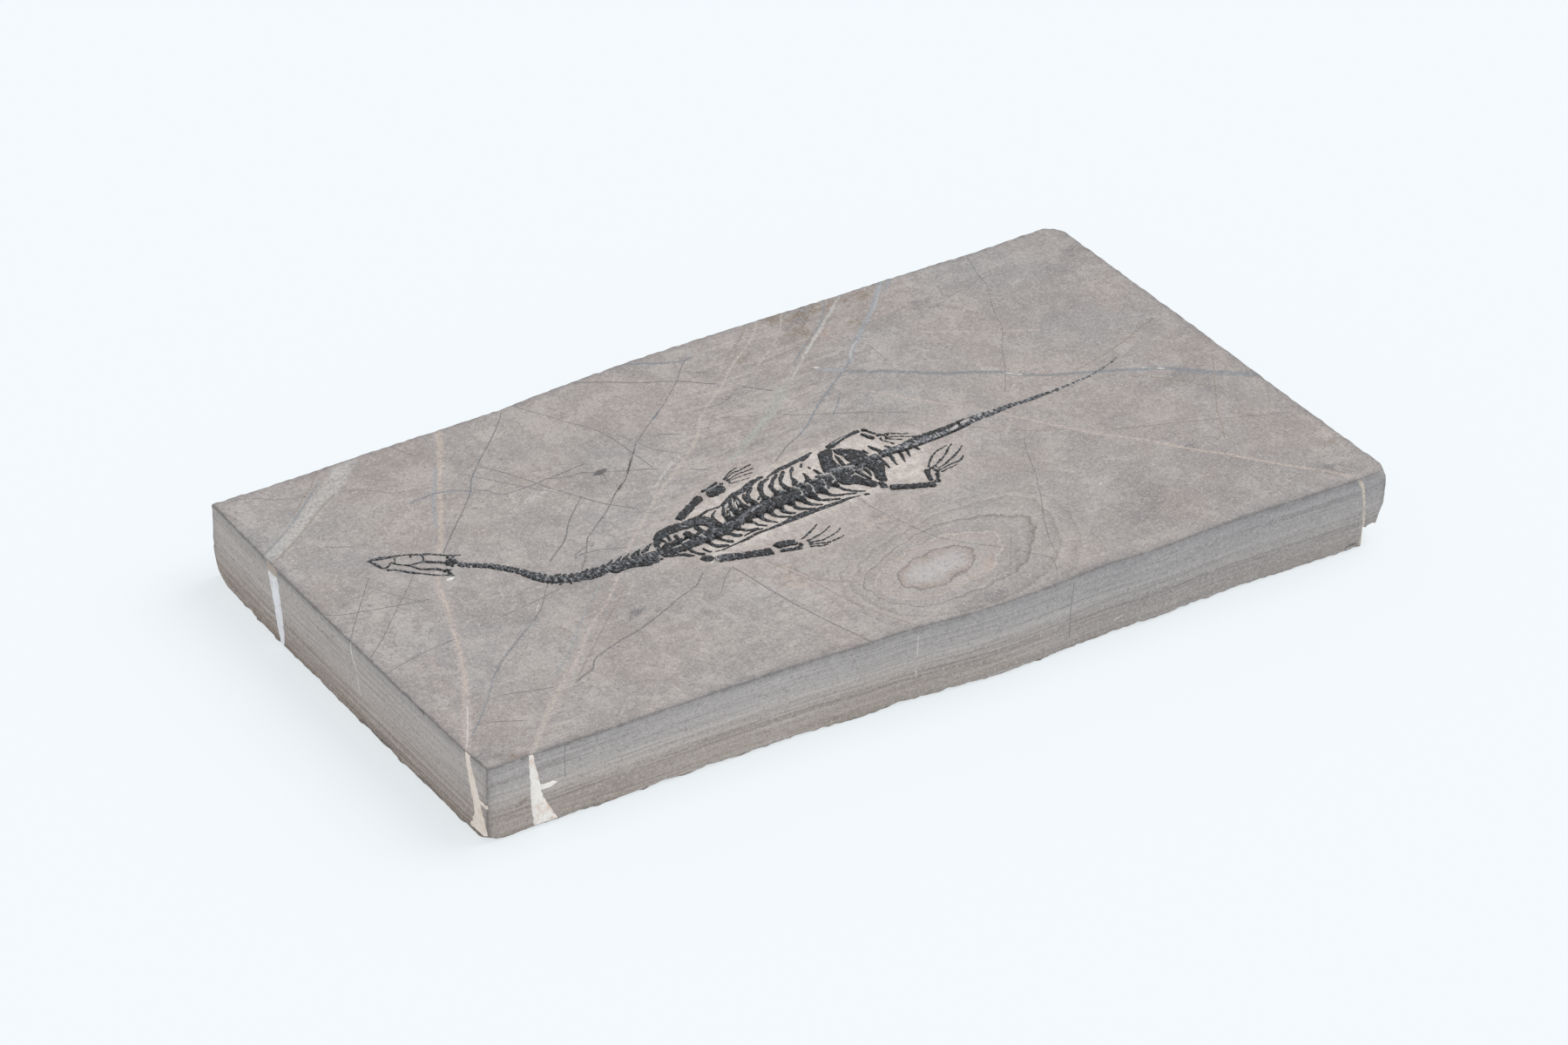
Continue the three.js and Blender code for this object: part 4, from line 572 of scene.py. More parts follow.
# Soft stains on the top: their middle, half sizes and turn in degrees, their kind and their strength.
STAIN_KINDS = ("dark", "brown", "pink", "pale")
STAINS = [
    (-30, 50, 46, 20, 10, "dark", 0.12), (-100, 66, 26, 8, 5, "dark", 0.22),
    (-128, 30, 20, 26, 0, "dark", 0.1), (12, 66, 40, 13, 8, "brown", 0.16),
    (48, 73.5, 8, 3.4, 42, "dark", 0.75), (52, 66, 30, 13, 12, "brown", 0.25),
    (44, 76.5, 9, 2.2, 0, "brown", 0.8), (57, 76.5, 7, 2.6, 20, "brown", 0.85),
    (51, 76, 4, 3, 30, "dark", 0.5), (73, 76.5, 6, 3, 30, "brown", 0.7), (66, 77, 5, 2, 0, "brown", 0.5),
    (62, 64, 5, 3, 40, "brown", 0.45), (44.5, 67, 4, 2.5, 40, "brown", 0.5),
    (22, 63.5, 4, 2, 50, "brown", 0.6), (24, 51, 9, 4, 30, "brown", 0.22), (7, 47, 7, 3, 20, "dark", 0.3),
    (82, 61, 9, 5, 20, "dark", 0.3), (64, 42, 16, 6, -35, "pale", 0.25),
    (112, 44, 34, 40, 0, "dark", 0.2), (115, -36, 46, 40, 0, "dark", 0.2),
    (80, -62, 40, 16, 0, "dark", 0.22), (90, 60, 26, 16, 0, "dark", 0.12),
    (34, -60, 14, 8, 40, "dark", 0.3), (54, -52, 7, 4, 20, "dark", 0.35),
    (26, -67, 9, 4, 10, "dark", 0.35), (8, -74, 26, 4, 0, "dark", 0.4), (12, -74.5, 8, 3, 0, "dark", 0.4),
    (21.5, -61.5, 5, 1.3, 38, "pink", 0.9), (-5, -75, 8, 2.6, 0, "pale", 0.5),
    (-24, -63, 6, 5, 0, "dark", 0.35), (41, -66, 8, 5, 50, "pale", 0.5),
    (64, -50, 6, 10, -30, "pale", 0.3), (25, -23, 14, 3, 0, "dark", 0.14),
    (-74.5, -32.5, 4.5, 1.5, 12, "dark", 1.0), (-134, -73, 4, 2.5, 0, "brown", 0.7),
    (-117.3, -74.4, 3, 1.6, 0, "brown", 0.7), (-141, -68, 6, 5, 0, "dark", 0.4),
    (-66, -74.5, 20, 2, 0, "dark", 0.5), (104, -43, 3, 2, 30, "dark", 0.5),
    (132.5, -72.5, 8, 3, -30, "dark", 0.5), (138, -61, 4, 2.5, 0, "brown", 0.5),
    (7.5, -26.5, 3, 2.2, 10, "dark", 0.55), (-27.5, -42, 4.5, 9, 20, "pink", 0.5),
    (-132, -26, 4, 6, 20, "pink", 0.35), (-135, -36, 4, 4, 0, "pink", 0.25),
    (131, 33, 9, 5, 55, "pink", 0.2), (83, 44, 12, 4, -25, "pink", 0.2), (52, 63, 6, 4, 20, "pink", 0.4),
    (4, -27.5, 9, 2, 0, "pink", 0.4), (-74, 30, 8, 5, 20, "pale", 0.35),
    (-32, -58, 32, 17, 0, "pale", 0.3), (-66, -52, 24, 12, 20, "pale", 0.16),
    (-103, 3, 12, 9, 20, "pale", 0.25), (-122, 34, 8, 5, 40, "pale", 0.2),
    (-48, 4, 10, 6, 20, "pale", 0.3), (62, -6, 18, 9, -20, "pale", 0.3), (30, 30, 16, 8, 30, "pale", 0.2),
    (100, -10, 26, 16, -20, "pale", 0.12), (96, 13, 22, 5, -20, "pink", 0.25),
    (-140, 40, 8, 5, 40, "pale", 0.25), (-116, -45, 12, 8, 30, "pale", 0.15),
    (-118, 55, 7, 5, 40, "pale", 0.3), (70, 30, 14, 8, -20, "pale", 0.16),
    (-60, -28, 10, 6, 0, "pale", 0.15), (139, 4, 6, 12, 0, "dark", 0.15),
    (-142, 10, 5, 30, 0, "pale", 0.15), (137, 70, 10, 14, 0, "dark", 0.15),
]


def depth_inside(outline, places):
    """How far each place lies inside a closed outline, and less than nothing outside it: the distance
    to the nearest edge, with the sign of an even-odd count of the edges crossed on the way to +X."""
    start, end = outline, np.roll(outline, -1, axis=0)
    way = end - start
    offset = places[:, None] - start
    share = np.clip((offset * way).sum(2) / (way**2).sum(1), 0, 1)
    distance = np.hypot(*np.moveaxis(offset - share[..., None] * way, 2, 0)).min(1)
    spans = (start[:, 1] > places[:, 1:]) != (end[:, 1] > places[:, 1:])
    rise = np.where(way[:, 1] == 0, 1, way[:, 1])
    crossed = spans & (offset[..., 0] < offset[..., 1] * way[:, 0] / rise)
    return np.where(crossed.sum(1) % 2, distance, -distance)


def ring_number(places):
    """A number that is 1 on the first ring, 2 on the second and so on. Between two rings it grows as
    the distance from the inner one does against the sum of the distances to both."""
    depths = np.array([depth_inside(smooth(outline, 3, True), places) for outline in RINGS])
    ends = np.maximum(RING_CORE - depths[:1], 0), np.maximum(RING_FADE + depths[-1:], 0)
    gaps = np.abs(np.concatenate((ends[0], depths, ends[1])))
    passed = (depths < 0).sum(0)[None]
    inner, outer = (np.take_along_axis(gaps, passed + i, 0)[0] for i in (0, 1))
    return passed[0] + inner / np.maximum(inner + outer, 1e-9)


top_places = slab_places[:, :2]
on_top = faces_of_box["top"][0]
wander = np.stack([rough(top_places, 9, seed) for seed in (11, 12)], 1)
halo = np.zeros((2, len(slab_places)))
for share, edge, fade, sway in ((halo[0], HALO_EDGE, HALO_FADE, 2.2), (halo[1], CAGE_EDGE, CAGE_FADE, 0.8)):
    depth = depth_inside(smooth(edge, 3, True), (top_places + sway * wander)[on_top])
    share[on_top] = np.clip(0.5 + depth / (2 * fade), 0, 1)
ring = np.full(len(slab_places), LAST_RING)
by_rings = on_top & (np.abs(top_places - RING_MIDDLE) < RING_REACH).all(1)
ring[by_rings] = ring_number((top_places + 0.5 * wander)[by_rings])
streaked = np.zeros(len(slab_places))
depth = depth_inside(smooth(STREAK_ZONE, 3, True), (top_places + 3 * wander)[on_top])
streaked[on_top] = np.clip(0.5 + depth / (2 * STREAK_FADE), 0, 1)
stains = np.zeros((len(slab_places), len(STAIN_KINDS)))
for x, y, long, wide, turn, kind, strength in STAINS:
    turn = math.radians(turn)
    offset = top_places + 0.12 * (long + wide) * wander - (x, y)
    along = offset @ (math.cos(turn), math.sin(turn)) / long
    across = offset @ (-math.sin(turn), math.cos(turn)) / wide
    stains[:, STAIN_KINDS.index(kind)] += strength * np.exp(-1.2 * (along**2 + across**2)) * on_top


def piece(name, places, faces, material, slot, *nodes, **fields):
    """Makes one closed piece of the part from places in millimetres, its faces as rows of vertex
    numbers, and a named field of values at its vertices, with 1, 3 or 4 numbers each."""
    mesh = bpy.data.meshes.new(name)
    mesh.from_pydata((places * MM).tolist(), [], faces)
    mesh.shade_smooth()
    mesh.materials.append(material)
    for field, values in fields.items():
        values = np.asarray(values, np.float32)
        kind, key = {1: ("FLOAT", "value"), 3: ("FLOAT_VECTOR", "vector"), 4: ("FLOAT_COLOR", "color")}[
            values.size // len(places)
        ]
        mesh.attributes.new(field, kind, "POINT").data.foreach_set(key, values.ravel())
    made = bpy.data.objects.new(name, mesh)
    bpy.context.scene.collection.objects.link(made)
    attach(made, "root")
    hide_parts(*nodes)
    return made


def linear(colour, alpha=1):
    """The linear light of an sRGB colour written as #rrggbb."""
    shares = [int(colour[i : i + 2], 16) / 255 for i in (1, 3, 5)]
    return [c / 12.92 if c <= 0.04045 else ((c + 0.055) / 1.055) ** 2.4 for c in shares] + [alpha]


def node(tree, kind, links, stops=(), **settings):
    """Adds one shader node with its settings, the stops of its colour ramp, and for each of its
    inputs a constant or a link from a socket or from the first output in use of another node."""
    made = tree.nodes.new("ShaderNode" + kind)
    for name, value in settings.items():
        setattr(made, name, value)
    if stops:
        ramp = made.color_ramp.elements
        ramp.remove(ramp[1])
        ramp[0].position, ramp[0].color = stops[0]
        for position, colour in stops[1:]:
            ramp.new(position).color = colour
    for socket, value in links.items():
        if isinstance(value, bpy.types.Node):
            value = next(output for output in value.outputs if output.enabled)
        if isinstance(value, bpy.types.NodeSocket):
            tree.links.new(value, made.inputs[socket])
        else:
            made.inputs[socket].default_value = value
    return made


# Fine-grained limestone, dull and even: its top is a bedding plane that was scraped clean, its sides
# show the saw's smooth cut through thin beds, and its underside is torn and brown.
CLOUDS = 24  # mm, the drift of grey over the bedding plane
HUE_DRIFT = 34  # mm, the drift between pinkish and bluish grey
PATCHES = 9  # mm, ragged paler patches
BLOTS = 2.4  # mm, smaller ones
SPECKLE = 1.0  # mm, the fine mottling
GRAIN = 0.45  # mm, drawn several times coarser than the lime mud's grains, so that it shows
LINE_WOBBLE = 2.2  # mm, the wander of veins and cracks about their course
STREAK = 16  # mm, the length of the streaks beside the bands on the top
STREAK_WAY = math.radians(43)  # their way, from +X towards +Y
BED_DRIFT = 38  # mm, how far the beds run before they rise or fall
BED_STREAK = 22  # mm, the length of pale and dark streaks along the beds
LAMINA = 46  # mm, the length of the finest layers
SAW_MARK = 5  # mm, the length of the saw's upright scratches
STAIN_COLOURS = ("#717074", "#8a7c70", "#b8a299", "#c6bfbb")

# The colours of the beds from the underside up, by their share of the slab's thickness.
BED_STOPS = [
    (0.0, "#9d9188"), (0.06, "#aa9f96"), (0.14, "#ada29a"), (0.2, "#b0a59e"), (0.26, "#a89d95"),
    (0.3, "#b5aba5"), (0.33, "#988d87"), (0.345, "#b8aea8"), (0.375, "#988e87"), (0.4, "#b8afa9"),
    (0.46, "#bbb3ae"), (0.52, "#b5aeaa"), (0.56, "#c6c0bc"), (0.6, "#b8b3b0"), (0.64, "#b5b0ae"),
    (0.75, "#b1adac"), (0.9, "#b2aeae"), (1.0, "#a9a6a6"),
]
# The left side is browner, and its lowest beds are thin and part dark from one another.
LEFT_BED_STOPS = [
    (0.0, "#5f554e"), (0.035, "#8f7d6e"), (0.06, "#6b5f57"), (0.085, "#a39182"), (0.11, "#75685f"),
    (0.13, "#a59383"), (0.15, "#8a7c72"), (0.19, "#ab9e95"), (0.24, "#9b8f87"), (0.3, "#bab0a8"),
    (0.33, "#a0958e"), (0.4, "#b2a8a1"), (0.46, "#b3aaa5"), (0.52, "#b2aaa5"), (0.56, "#c0b8b3"),
    (0.6, "#b6aea9"), (0.65, "#bab4af"), (0.75, "#bab3ae"), (0.9, "#b5afac"), (1.0, "#b0aba8"),
]
LEFT_FROM = -0.1425  # m, the x from which the left side's beds show

limestone = bpy.data.materials.new("limestone_bedding_plane")
limestone.use_nodes = True
tree = limestone.node_tree
tree.nodes.clear()
place = node(tree, "TexCoord", {}).outputs["Object"]


def veil(tree, tone, source, start, end, strength, colour):
    """Lays a colour over another, from nowhere to its full strength while the source goes from start
    to end."""
    share = node(
        tree, "MapRange", {"Value": source, 1: start, 2: end, 4: strength}, interpolation_type="SMOOTHSTEP"
    )
    return node(tree, "Mix", {0: share, 6: tone, 7: linear(colour)}, data_type="RGBA")


clouds, hue, patches, blots, speckle, grain, wander = (
    node(
        tree,
        "TexNoise",
        {
            "Vector": node(tree, "Mapping", {"Vector": place, "Location": (shift, 0, 0)}),
            "Scale": 1 / (size * MM),
            "Detail": detail,
            "Roughness": roughness,
        },
    )
    for size, detail, roughness, shift in (
        (CLOUDS, 5, 0.62, 0), (HUE_DRIFT, 2, 0.5, 0.31), (PATCHES, 7, 0.7, 0), (BLOTS, 5, 0.7, 0.23),
        (SPECKLE, 3, 0.7, 0), (GRAIN, 2, 0.7, 0), (LINE_WOBBLE, 4, 0.65, 0.17),
    )
)
# Noise drawn out along one way: streaks beside the bands, wavy beds, pale streaks and fine layers along
# them, and upright saw marks.
streak_pattern, bed_pattern, bed_streaks, laminae, saw_marks = (
    node(
        tree,
        "TexNoise",
        {
            "Vector": node(tree, "Mapping", {"Vector": place, "Rotation": (0, 0, turn), "Scale": squash}),
            "Scale": 1 / (size * MM),
            "Detail": detail,
            "Roughness": 0.65,
        },
    )
    for size, turn, squash, detail in (
        (STREAK, -STREAK_WAY, (1, 11, 1), 4), (BED_DRIFT, 0, (1, 1, 9), 5), (BED_STREAK, 0, (1, 1, 16), 5),
        (LAMINA, 0, (1, 1, 70), 3), (SAW_MARK, 0, (9, 9, 1), 3),
    )
)

tone = node(
    tree, "ValToRGB", {0: clouds},
    [(0.34, linear("#928d8c")), (0.5, linear("#a29c9a")), (0.66, linear("#b0aaa7"))],
)
tone = veil(tree, tone, hue, 0.5, 0.7, 0.45, "#ab9d98")
tone = veil(tree, tone, hue, 0.5, 0.3, 0.45, "#9c9da0")
tone = veil(tree, tone, patches, 0.51, 0.56, 0.36, "#bbb5b1")
tone = veil(tree, tone, patches, 0.47, 0.41, 0.34, "#8f8a87")
tone = veil(tree, tone, blots, 0.54, 0.62, 0.26, "#bbb5b2")
tone = veil(tree, tone, blots, 0.46, 0.38, 0.22, "#8b8583")
# Thin dark lines, as if etched, follow the borders of the patches where the stone is cloudy.
etching = node(tree, "Math", {0: patches, 1: 0.5}, operation="SUBTRACT")
etching = node(tree, "Math", {0: etching}, operation="ABSOLUTE")
etching = node(tree, "Math", {0: clouds, 1: -0.12, 2: etching}, operation="MULTIPLY_ADD")
tone = veil(tree, tone, etching, -0.05, -0.06, 0.4, "#7f7673")
for name, strength, dim, bright in (
    ("halo", 0.72, "#b0a7a2", "#c1b8b3"), ("cage", 0.85, "#beb4ad", "#d9d1cb")
):
    pale = veil(tree, linear(dim), blots, 0.4, 0.6, 1, bright)
    share = node(tree, "Attribute", {}, attribute_name=name).outputs["Fac"]
    share = node(tree, "Math", {0: share, 1: strength}, operation="MULTIPLY")
    tone = node(tree, "Mix", {0: share, 6: tone, 7: pale}, data_type="RGBA")

by_bands = node(tree, "Attribute", {}, attribute_name="streaked").outputs["Fac"]
for near, far, strength, colour in ((0.52, 0.66, 0.55, "#c0b8b3"), (0.48, 0.34, 0.5, "#8a8380")):
    share = node(tree, "MapRange", {"Value": streak_pattern, 1: near, 2: far, 4: strength})
    share = node(tree, "Math", {0: share, 1: by_bands}, operation="MULTIPLY")
    tone = node(tree, "Mix", {0: share, 6: tone, 7: linear(colour)}, data_type="RGBA")

stain = node(tree, "Attribute", {}, attribute_name="stains")
stain_colours = node(tree, "SeparateColor", {0: stain.outputs["Color"]})
strength = node(tree, "MapRange", {"Value": blots, 1: 0.38, 2: 0.62, 3: 0.4, 4: 1.6})
for share, colour in zip((*stain_colours.outputs, stain.outputs["Alpha"]), STAIN_COLOURS):
    share = node(tree, "Math", {0: share, 1: strength}, operation="MULTIPLY")
    tone = veil(tree, tone, share, 0, 1, 0.95, colour)

ring_wander = node(tree, "Math", {0: wander, 1: 0.36, 2: -0.18}, operation="MULTIPLY_ADD")
ring_place = node(tree, "Attribute", {}, attribute_name="ring").outputs["Fac"]
ring_place = node(tree, "Math", {0: ring_place, 1: ring_wander}, operation="ADD")
ring_place = node(tree, "Math", {0: ring_place, 1: LAST_RING}, operation="DIVIDE")
ring_stops = [(stop / LAST_RING, linear(colour, share)) for stop, colour, share in RING_STOPS]
ring_colour = node(tree, "ValToRGB", {0: ring_place}, ring_stops)
tone = node(tree, "Mix", {0: ring_colour.outputs["Alpha"], 6: tone, 7: ring_colour}, data_type="RGBA")

upward = node(tree, "Attribute", {}, attribute_name="upward").outputs["Fac"]
height = node(tree, "SeparateXYZ", {0: place}).outputs["Z"]
level = node(tree, "Math", {0: height, 1: 1 / (TOP * MM), 2: -0.05}, operation="MULTIPLY_ADD")
level = node(tree, "Math", {0: bed_pattern, 1: 0.1, 2: level}, operation="MULTIPLY_ADD")
bed_tone, left_tone = (
    node(tree, "ValToRGB", {0: level}, [(share, linear(colour)) for share, colour in stops])
    for stops in (BED_STOPS, LEFT_BED_STOPS)
)
along = node(tree, "SeparateXYZ", {0: place}).outputs["X"]
at_left = node(tree, "MapRange", {"Value": along, 1: LEFT_FROM, 2: LEFT_FROM - MM})
bed_tone = node(tree, "Mix", {0: at_left, 6: bed_tone, 7: left_tone}, data_type="RGBA")
bed_tone = veil(tree, bed_tone, bed_streaks, 0.53, 0.7, 0.4, "#c3bcb8")
bed_tone = veil(tree, bed_tone, bed_streaks, 0.47, 0.3, 0.32, "#8a7f78")
bed_tone = veil(tree, bed_tone, laminae, 0.52, 0.68, 0.52, "#c6c1be")
bed_tone = veil(tree, bed_tone, laminae, 0.48, 0.34, 0.48, "#817a76")
bed_tone = veil(tree, bed_tone, saw_marks, 0.55, 0.75, 0.22, "#c4c0be")
bed_tone = veil(tree, bed_tone, along, -0.06, 0.1, 0.36, "#898c91")
from_side = node(tree, "MapRange", {"Value": upward, 1: 0.25, 2: 0.75}, interpolation_type="SMOOTHSTEP")
tone = node(tree, "Mix", {0: from_side, 6: bed_tone, 7: tone}, data_type="RGBA")
torn = veil(tree, linear("#8d7f72"), patches, 0.35, 0.65, 1, "#a89a8c")
from_under = node(tree, "MapRange", {"Value": upward, 1: -0.2, 2: -0.75}, interpolation_type="SMOOTHSTEP")
tone = node(tree, "Mix", {0: from_under, 6: tone, 7: torn}, data_type="RGBA")

# Bands, veins and cracks: each layer's distance is bent by noise, and a line is drawn where it is less
# than the line's half width. Bands fade out softly; veins and cracks end sharply and dent the stone.
line_stops = [
    (max(0, (i - 0.5) / (len(LINE_FINISHES) - 1)), linear(colour))
    for i, colour in enumerate(LINE_FINISHES.values())
]
wobble = node(tree, "Math", {0: wander, 1: 0.5}, operation="SUBTRACT")
relief = node(tree, "Math", {0: patches, 1: 0.35}, operation="MULTIPLY")
relief = node(tree, "Math", {0: speckle, 1: 0.3, 2: relief}, operation="MULTIPLY_ADD")
relief = node(tree, "Math", {0: grain, 1: 0.22, 2: relief}, operation="MULTIPLY_ADD")
for name, layers, softness, least, most, dent in (
    ("bands", band_layers, 2.0, 0.3, 0.85, 0), ("veins", vein_layers, 1.4, 0.55, 1.0, -0.25)
):
    breaks = node(tree, "MapRange", {"Value": speckle, 1: 0.38, 2: 0.58, 3: least, 4: most})
    for i in range(len(layers)):
        line = node(tree, "Attribute", {}, attribute_name=f"{name}_{i}").outputs["Vector"]
        distance, half, finish = node(tree, "SeparateXYZ", {0: line}).outputs
        bend = node(tree, "Math", {0: half, 1: 0.9, 2: 0.35}, operation="MULTIPLY_ADD")
        away = node(tree, "Math", {0: wobble, 1: bend, 2: distance}, operation="MULTIPLY_ADD")
        away = node(tree, "Math", {0: away}, operation="ABSOLUTE")
        shown = node(
            tree,
            "MapRange",
            {
                "Value": away,
                1: node(tree, "Math", {0: half, 1: softness, 2: 0.12}, operation="MULTIPLY_ADD"),
                2: node(tree, "Math", {0: half, 1: 0.4}, operation="MULTIPLY"),
            },
            interpolation_type="SMOOTHSTEP",
        )
        drawn = node(tree, "MapRange", {"Value": half, 1: 0, 2: 0.05, 4: breaks})
        shown = node(tree, "Math", {0: shown, 1: drawn}, operation="MULTIPLY")
        colour = node(tree, "ValToRGB", {0: finish}, line_stops)
        colour.color_ramp.interpolation = "CONSTANT"
        tone = node(tree, "Mix", {0: shown, 6: tone, 7: colour}, data_type="RGBA")
        if dent:
            relief = node(tree, "Math", {0: shown, 1: dent, 2: relief}, operation="MULTIPLY_ADD")

tone = veil(tree, tone, speckle, 0.54, 0.68, 0.47, "#c8c2be")
tone = veil(tree, tone, speckle, 0.46, 0.32, 0.45, "#7b7674")
tone = veil(tree, tone, grain, 0.52, 0.7, 0.4, "#d3ceca")
tone = veil(tree, tone, grain, 0.48, 0.3, 0.38, "#6b6766")
# The stone is darker near the upper edges and the upright corners, in a soft wide zone and in a ragged
# line.
rim = node(tree, "Attribute", {}, attribute_name="rim").outputs["Fac"]
ragged_rim = node(tree, "Math", {0: wobble, 1: 5, 2: rim}, operation="MULTIPLY_ADD")
tone = veil(tree, tone, ragged_rim, 3.2, 0.2, 0.34, "#7b797b")
ragged_rim = node(tree, "Math", {0: wobble, 1: 2.4, 2: rim}, operation="MULTIPLY_ADD")
tone = veil(tree, tone, ragged_rim, 0.75, 0.15, 0.38, "#5c5a5a")
# Painted shadow: the lowest millimetre of the sides is darkened to dark brown, with a ragged top, as the
# shade where the slab meets the floor.
foot = node(tree, "Math", {0: wobble, 1: 3 * MM, 2: height}, operation="MULTIPLY_ADD")
tone = veil(tree, tone, foot, 1.0 * MM, 0.2 * MM, 0.6, "#4f453d")

bump = node(tree, "Bump", {"Height": relief, "Distance": 0.12 * MM, "Strength": 0.7})
dullness = node(tree, "MapRange", {"Value": patches, 1: 0.3, 2: 0.7, 3: 0.8, 4: 0.92})
surface = node(tree, "BsdfPrincipled", {"Base Color": tone, "Roughness": dullness, "Normal": bump})
node(tree, "OutputMaterial", {"Surface": surface})

to_faces = (
    box_places[:, 0] - low[0], high[0] - box_places[:, 0], box_places[:, 1] - low[1],
    high[1] - box_places[:, 1], TOP - box_places[:, 2],
)
piece(
    "limestone_slab",
    slab_places,
    np.concatenate(skin).tolist() + underside,
    limestone,
    "limestone",
    "slab",
    upward=slab_out[:, 2],
    rim=np.sort(to_faces, 0)[1],
    halo=halo[0],
    cage=halo[1],
    ring=ring,
    streaked=streaked,
    stains=stains,
    **{f"bands_{i}": layer for i, layer in enumerate(band_layers)},
    **{f"veins_{i}": layer for i, layer in enumerate(vein_layers)},
)

# ---- Repairs ---------------------------------------------------------------------------------
# Three old fills of plaster, pressed into damage at the left end and in the near face, and wiped
# level with the stone.
FILL_CROWN = 0.24  # how far a fill stands out of the sawn face
FILL_DEPTH = 1.0  # how far its body runs into the stone
FILL_TUCK = 0.03  # how far the rim of its front lies below the sawn face

# Each fill as rows from the foot upwards: height z and the two sides' places along the face.
LEFT_END_FILL = [
    (0.6, 32.4, 34.4), (3, 32.2, 35), (5, 32.2, 35.9), (7, 32.4, 36.7), (12, 33.2, 38.1), (16, 34, 39.3),
    (20, 34.7, 40.5), (22, 35.1, 41), (23.7, 35.6, 41.6),
]
LEFT_CORNER_FILL = [
    (1.6, -73.8, -66), (3, -74, -66.2), (5, -73.2, -67.2), (7, -72.4, -67.5), (9, -71.3, -67.3),
    (11, -70.6, -66.9), (12.6, -70, -66.5), (15.5, -68.8, -65.6), (18, -67.8, -64.9), (21, -66.6, -64.1),
    (23.7, -66.2, -63.7),
]
LEFT_CORNER_SPUR = [(11.1, -74.2, -70.4), (11.6, -74.6, -70.2), (12.3, -74.2, -70)]
NEAR_FILL = [
    (0.9, -130.6, -123), (2.4, -130.8, -124), (5, -131, -125.4), (7, -131.2, -126.4),
    (10, -131.4, -127.8), (15, -131.6, -128.8), (18.6, -131.8, -129.6), (21, -131.9, -130.2),
    (23.7, -131.9, -130.5),
]
NEAR_SPUR = [(11.6, -128.4, -125.6), (12.4, -128.4, -123.4), (13.4, -128.4, -125)]


def fill(rows, face, parts=10):
    """A crowned patch over a sawn face, as a closed shell. Its front is a grid: rows are smoothed
    upwards and parted across, and stand out by a crown that falls to nothing at the sides. Its back is
    the same grid, sunk into the stone."""
    rows = smooth(rows, 4)
    share = np.linspace(0, 1, parts + 1)
    z = np.repeat(rows[:, :1], parts + 1, 1)
    along = rows[:, 1:2] + (rows[:, 2:] - rows[:, 1:2]) * share
    along = along + 0.07 * rough(np.stack((along, z), 2), 1.6, 21)
    sawn_from, sawn_to, axis = {
        "left": (NEAR_EDGE[0][1], FAR_EDGE[0][1], 1), "near": (LEFT_EDGE[1][1], RIGHT_EDGE[0][1], 0),
    }[face]
    along = low[axis] + (along - sawn_from) / (sawn_to - sawn_from) * (high - low)[axis]
    on_box = {
        "left": (np.full_like(z, low[0]), along, z),
        "near": (along, np.full_like(z, low[1]), z),
    }[face]
    places, out = on_slab(np.stack(on_box, 2).reshape(-1, 3))
    crown = np.sqrt(np.minimum(1, 5 * np.minimum(share, 1 - share))) * np.ones((len(rows), 1))
    crown[0] = 0
    front = places + out * (FILL_CROWN * crown.reshape(-1, 1) - FILL_TUCK)
    back = places - out * FILL_DEPTH
    number = np.arange(len(front)).reshape(z.shape)
    sheet = np.concatenate((number, number[:, ::-1] + len(front)), 1)
    loop = np.concatenate((sheet, sheet[:, :1]), 1)
    faces = quads(loop)[:, ::-1] if face == "near" else quads(loop)
    ends = [list(sheet[0]), list(sheet[-1][::-1])]
    if face == "left":
        ends = [end[::-1] for end in ends]
    return np.concatenate((front, back)), faces.tolist() + ends


def together(shapes):
    """One mesh from several closed shells: their places one after the other, and their faces with the
    vertex numbers moved on to match."""
    starts = np.cumsum([0] + [len(shape[0]) for shape in shapes])
    faces = [
        [number + start for number in face] for shape, start in zip(shapes, starts) for face in shape[1]
    ]
    return np.concatenate([shape[0] for shape in shapes]), faces


# Set plaster of Paris, chalky and slightly rough, with stains that soaked in from the stone.
BLOTCH = 4  # mm, the stains' size
PIT = 0.7  # mm, small pits from air in the plaster
CAP_FROM = 3  # mm below the slab's top, where the brown of the bedding plane begins
CAP_FULL = 2


def plaster(name, pale_colour, stain_colour, strength, cap=0.0):
    """One batch of plaster: its own colour, the colour and strength of its stains, and how far its top
    end is toned to the brown of the bedding plane."""
    material = bpy.data.materials.new(name)
    material.use_nodes = True
    tree = material.node_tree
    tree.nodes.clear()
    place = node(tree, "TexCoord", {}).outputs["Object"]
    blotches = node(
        tree, "TexNoise", {"Vector": place, "Scale": 1 / (BLOTCH * MM), "Detail": 4, "Roughness": 0.6}
    )
    pits = node(tree, "TexNoise", {"Vector": place, "Scale": 1 / (PIT * MM), "Detail": 3})
    tone = veil(tree, linear(pale_colour), blotches, 0.45, 0.68, strength, stain_colour)
    tone = veil(tree, tone, pits, 0.55, 0.72, 0.45, "#a9a5a2")
    height = node(tree, "SeparateXYZ", {0: place}).outputs["Z"]
    tone = veil(tree, tone, height, (TOP - CAP_FROM) * MM, (TOP - CAP_FULL) * MM, cap, "#b2a398")
    bump = node(tree, "Bump", {"Height": pits, "Distance": 0.15 * MM, "Strength": 0.6})
    surface = node(tree, "BsdfPrincipled", {"Base Color": tone, "Roughness": 0.93, "Normal": bump})
    node(tree, "OutputMaterial", {"Surface": surface})
    return material


